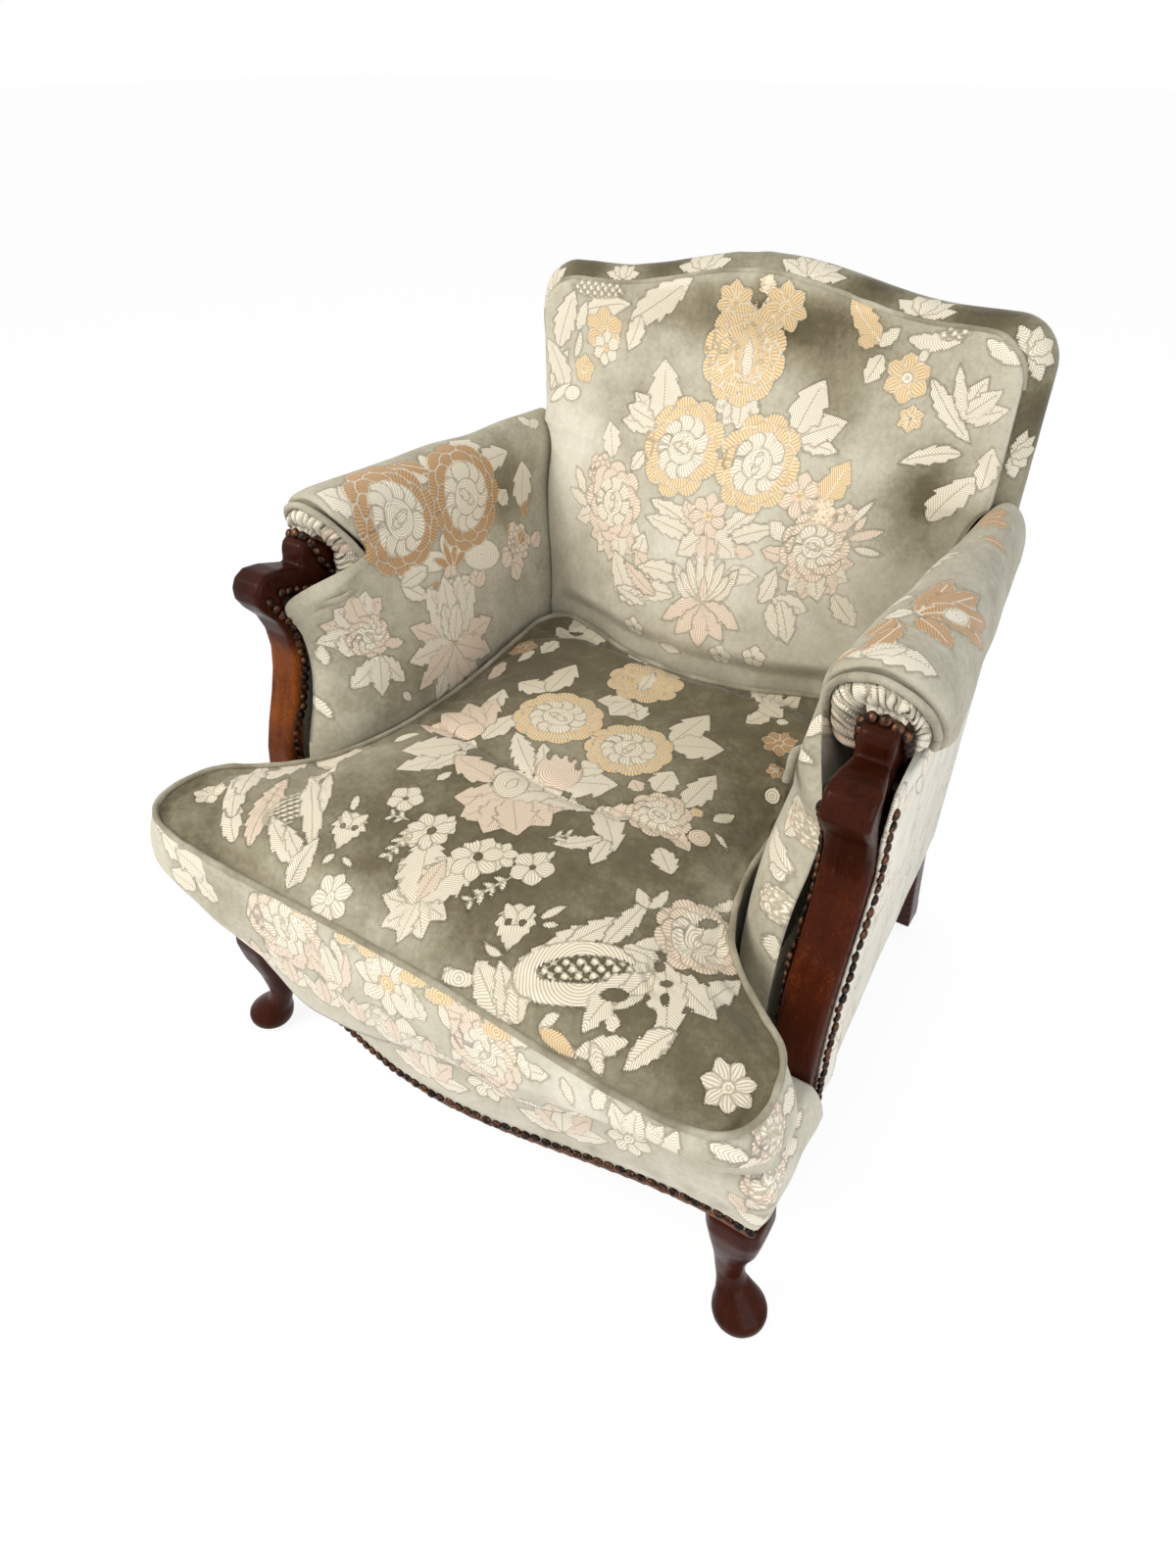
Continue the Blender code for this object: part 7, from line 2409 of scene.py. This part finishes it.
    def build(self, border: FrontBorder, finish: bpy.types.Material) -> bpy.types.Object:
        """Builds every nail as one piece.

        Args:
            border: the front border that the front row is driven through.
            finish: the nails' brass.

        Returns:
            The piece.
        """
        rows = self.post_rows(1.0) + self.post_rows(-1.0)
        x = np.linspace(-0.342, 0.342, 80)
        front = np.column_stack([x, border.face(x) - 0.0022, np.full(80, 0.1940)])
        places, facing = self.row(front, (0, -1, 0))
        slope = np.gradient(places[:, 1], places[:, 0])
        facing[:, 0] = slope
        rows.append((places, facing))
        points = np.concatenate([r[0] for r in rows])
        facings = np.concatenate([r[1] for r in rows])
        rng = np.random.default_rng(5)
        points = points + rng.normal(0, 0.00035, points.shape)
        facings = facings / np.linalg.norm(
            facings, axis=1, keepdims=True,
        ) + rng.normal(0, 0.05, facings.shape)
        mesh = bpy.data.meshes.new("nail_places")
        mesh.from_pydata(points, [], [])
        mesh.attributes.new("facing", "FLOAT_VECTOR", "POINT").data.foreach_set(
            "vector", facings.astype(np.float32).ravel(),
        )
        made = bpy.data.objects.new("domed_nails", mesh)
        bpy.context.scene.collection.objects.link(made)
        group = self.tree(finish)
        modifier = made.modifiers.new("domes", "NODES")
        modifier.node_group = group
        sizes = {"Dome Radius": self.radius, "Dome Height": self.height}
        for item in group.interface.items_tree:
            if item.in_out == "INPUT" and item.name in sizes:
                modifier[item.identifier] = sizes[item.name]
        shape = bpy.data.meshes.new_from_object(made.evaluated_get(bpy.context.evaluated_depsgraph_get()))
        made.modifiers.remove(modifier)
        made.data = shape
        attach(made, "root")
        return made


@dataclass
class ShowWood:
    """Show-wood rubbed smooth, and better finishes for the hidden nodes: timber, webs, springs and cloths."""

    rubs: tuple[tuple[str, float, int], ...] = (
        ("front_leg", 1.6, 44),
        ("arm_post", 1.8, 8),
        ("front_rail", 2.8, 3),
        ("rear_post", 3.6, 2),
    )

    def polished(self, name: str, node: bpy.types.Object, finish: bpy.types.Material) -> bpy.types.Object:
        """A smooth copy of a show-wood node, its arrises rubbed round as on old polished wood.

        Args:
            name: name of the node.
            node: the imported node.
            finish: material of the copy.

        Returns:
            The copy, which stands for the node.
        """
        found = ((size, turns) for start, size, turns in self.rubs if name.startswith(start))
        grain_mm, rubbing = next(found)
        made = bpy.data.objects.new(f"{name}_polished", node.data.copy())
        made.data.transform(node.matrix_world)
        bpy.context.scene.collection.objects.link(made)
        skin = made.modifiers.new("skin", "REMESH")
        skin.mode, skin.voxel_size = "VOXEL", grain_mm / 1000
        rub = made.modifiers.new("rub", "SMOOTH")
        rub.factor, rub.iterations = 0.5, rubbing
        graph = bpy.context.evaluated_depsgraph_get()
        mesh = bpy.data.meshes.new_from_object(made.evaluated_get(graph))
        made.modifiers.clear()
        made.data = mesh
        mesh.materials.clear()
        mesh.materials.append(finish)
        mesh.shade_smooth()
        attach(made, "root")
        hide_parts(name)
        return made

    def build(self, nodes: dict[str, bpy.types.Object]) -> list[bpy.types.Object]:
        """Gives each node that stays its finish, and makes the polished show-wood.

        Args:
            nodes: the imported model's nodes by name.

        Returns:
            The polished pieces.
        """
        upright = (90.0, 90.0, 7.0)
        polish = FrenchPolishedMahogany()
        left = polish.make("french polished mahogany, left post", 0.34, upright, (0.20, 0.515), 0.36)
        right = polish.make("french polished mahogany, right post", 0.34, upright, (0.30, 0.500), 0.16)
        leg = polish.make("french polished mahogany, legs", 0.36, upright)
        rail = polish.make("rubbed mahogany, front rail", 0.72, (7.0, 90.0, 90.0))
        beech = BareFibre("#B08C62", "#8A6842", (60.0, 6.0, 60.0), 0.75).make("sawn beech")
        stained = BareFibre("#4A2C1A", "#2C180D", (60.0, 6.0, 60.0), 0.55).make("stained beech rail")
        jute = BareFibre("#9A7F58", "#6C5535", (120.0, 120.0, 40.0), 0.95).make("woven jute")
        wadding = BareFibre(
            "#CFC6B4", "#B5AB97", (40.0, 40.0, 40.0), 0.95,
        ).make("cotton wadding under calico")
        cloth = BareFibre("#1C1B1A", "#0F0E0E", (150.0, 150.0, 40.0), 0.95).make("black dust cloth")
        spring = Shading("coppered spring wire")
        wire = spring.dress(srgb("#7A5540"), 0.38, None, Metallic=0.9)
        table = (
            (("front_leg", "rear_post"), leg),
            (("arm_post_left",), left),
            (("arm_post_right",), right),
            (("front_rail",), rail),
            (("side_rail",), stained),
            (("back_seat_rail", "arm_rail", "lower_", "crest_rail", "front_corner", "rear_corner"), beech),
            (("back_web", "cross_web", "length_web", "spring_hessian"), jute),
            (("seat_deck",), wadding),
            (("seat_spring",), wire),
            (("dust_cover",), cloth),
        )
        made = []
        for name, node in nodes.items():
            for starts, finish in table:
                if name.startswith(starts):
                    node.data.materials.clear()
                    node.data.materials.append(finish)
                    if finish in (left, right, leg, rail):
                        made.append(self.polished(name, node, finish))
        return made


@dataclass
class Studio:
    """Pale floor, plain soft light, and the camera at the photographed angle."""

    place: tuple[float, float, float] = (0.4664, -0.7432, 1.0242)
    azimuth: float = 33.8
    elevation: float = 37.6
    roll: float = -0.2
    lens: float = 22.275

    def camera(self) -> None:
        """Makes the camera."""
        az, el, roll = (math.radians(a) for a in (self.azimuth, self.elevation, self.roll))
        back = Vector((math.sin(az) * math.cos(el), -math.cos(az) * math.cos(el), math.sin(el)))
        right = Vector((math.cos(az), math.sin(az), 0.0))
        up = back.cross(right)
        c, s = math.cos(roll), math.sin(roll)
        right, up = c * right + s * up, c * up - s * right
        data = bpy.data.cameras.new("camera")
        data.lens, data.sensor_width, data.sensor_fit = self.lens, 36.0, "AUTO"
        made = bpy.data.objects.new("camera", data)
        made.matrix_world = Matrix((right, up, back)).transposed().to_4x4()
        made.location = self.place
        bpy.context.scene.collection.objects.link(made)
        bpy.context.scene.camera = made

    def lamp(
        self,
        name: str,
        place: tuple[float, float, float],
        aim: tuple[float, float, float],
        size: float,
        power: float,
        code: str,
    ) -> None:
        """Adds a soft square lamp aimed at a point."""
        data = bpy.data.lights.new(name, "AREA")
        data.size, data.energy = size, power
        data.color = srgb(code)[:3]
        made = bpy.data.objects.new(name, data)
        made.location = place
        made.rotation_euler = (Vector(aim) - Vector(place)).to_track_quat("-Z", "Y").to_euler()
        bpy.context.scene.collection.objects.link(made)

    def floor(self) -> None:
        """Lays a pale floor that keeps the chair's shadow."""
        mesh = bpy.data.meshes.new("floor")
        mesh.from_pydata([(-30, -30, 0), (30, -30, 0), (30, 30, 0), (-30, 30, 0)], [], [(0, 1, 2, 3)])
        made = bpy.data.objects.new("floor", mesh)
        bpy.context.scene.collection.objects.link(made)
        paint = Shading("pale matt floor")
        paint.dress(srgb("#F2F1EF"), 0.9)
        ray = paint.add("LightPath")
        seen = paint.math("MAXIMUM", ray.outputs["Is Camera Ray"], ray.outputs["Is Glossy Ray"])
        seen = paint.math("MAXIMUM", seen, ray.outputs["Is Transmission Ray"])
        seen = paint.math("MULTIPLY", seen, 0.80)
        glow = paint.add("Emission", None, Strength=1.1)
        both = paint.add("MixShader", None, i0=seen, i1=paint.shader.outputs[0], i2=glow.outputs[0])
        out = paint.tree.nodes["Material Output"]
        paint.tree.links.new(both.outputs[0], out.inputs["Surface"])
        made.data.materials.append(paint.material)

    def world(self) -> None:
        """Even sky light, white where the camera and gloss see it."""
        world = bpy.data.worlds.new("studio")
        world.use_nodes = True
        tree = world.node_tree
        sky = tree.nodes["Background"]
        sky.inputs["Color"].default_value = srgb("#EEF1F5")
        sky.inputs["Strength"].default_value = 0.62
        white = tree.nodes.new("ShaderNodeBackground")
        white.inputs["Color"].default_value = (1.0, 1.0, 1.0, 1.0)
        ray = tree.nodes.new("ShaderNodeLightPath")
        seen = ray.outputs["Is Camera Ray"]
        for kind in ("Is Glossy Ray", "Is Transmission Ray"):
            either = tree.nodes.new("ShaderNodeMath")
            either.operation = "MAXIMUM"
            tree.links.new(seen, either.inputs[0])
            tree.links.new(ray.outputs[kind], either.inputs[1])
            seen = either.outputs[0]
        both = tree.nodes.new("ShaderNodeMixShader")
        tree.links.new(seen, both.inputs[0])
        tree.links.new(sky.outputs[0], both.inputs[1])
        tree.links.new(white.outputs[0], both.inputs[2])
        tree.links.new(both.outputs[0], tree.nodes["World Output"].inputs[0])
        bpy.context.scene.world = world
        bpy.context.scene.view_settings.view_transform = "Standard"

    def build(self) -> None:
        """Sets up the whole stage."""
        self.camera()
        self.floor()
        self.world()
        self.lamp("window", (-1.3, -1.6, 2.2), (0, 0, 0.4), 1.5, 58.0, "#FFFAF2")
        self.lamp("fill", (2.0, -0.9, 1.2), (0, 0, 0.4), 1.8, 26.0, "#F8F9FF")


def main() -> None:
    """Builds the chair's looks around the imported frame."""
    logging.basicConfig(level=logging.INFO, format="%(name)s %(message)s")
    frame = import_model()
    Studio().build()
    velvet = CutVelvetBrocade().make("cut velvet brocade")
    piping = CutVelvetBrocade().make("bias-cut velvet piping", plain=True)
    border = FrontBorder()
    pieces = [
        *SeatCushion().build(velvet, piping),
        *Back().build(velvet, piping),
        *Arm(Side.LEFT).build(velvet, piping),
        *Arm(Side.RIGHT).build(velvet, piping),
        border.build(velvet),
        DomedNails().build(border, AntiquedNailBrass().make("antiqued nail brass")),
    ]
    pieces += ShowWood().build(frame["nodes"])
    for piece in pieces:
        LOG.info("%s: %d faces", piece.name, len(piece.data.polygons))
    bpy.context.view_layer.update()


if __name__ == "__main__":
    main()
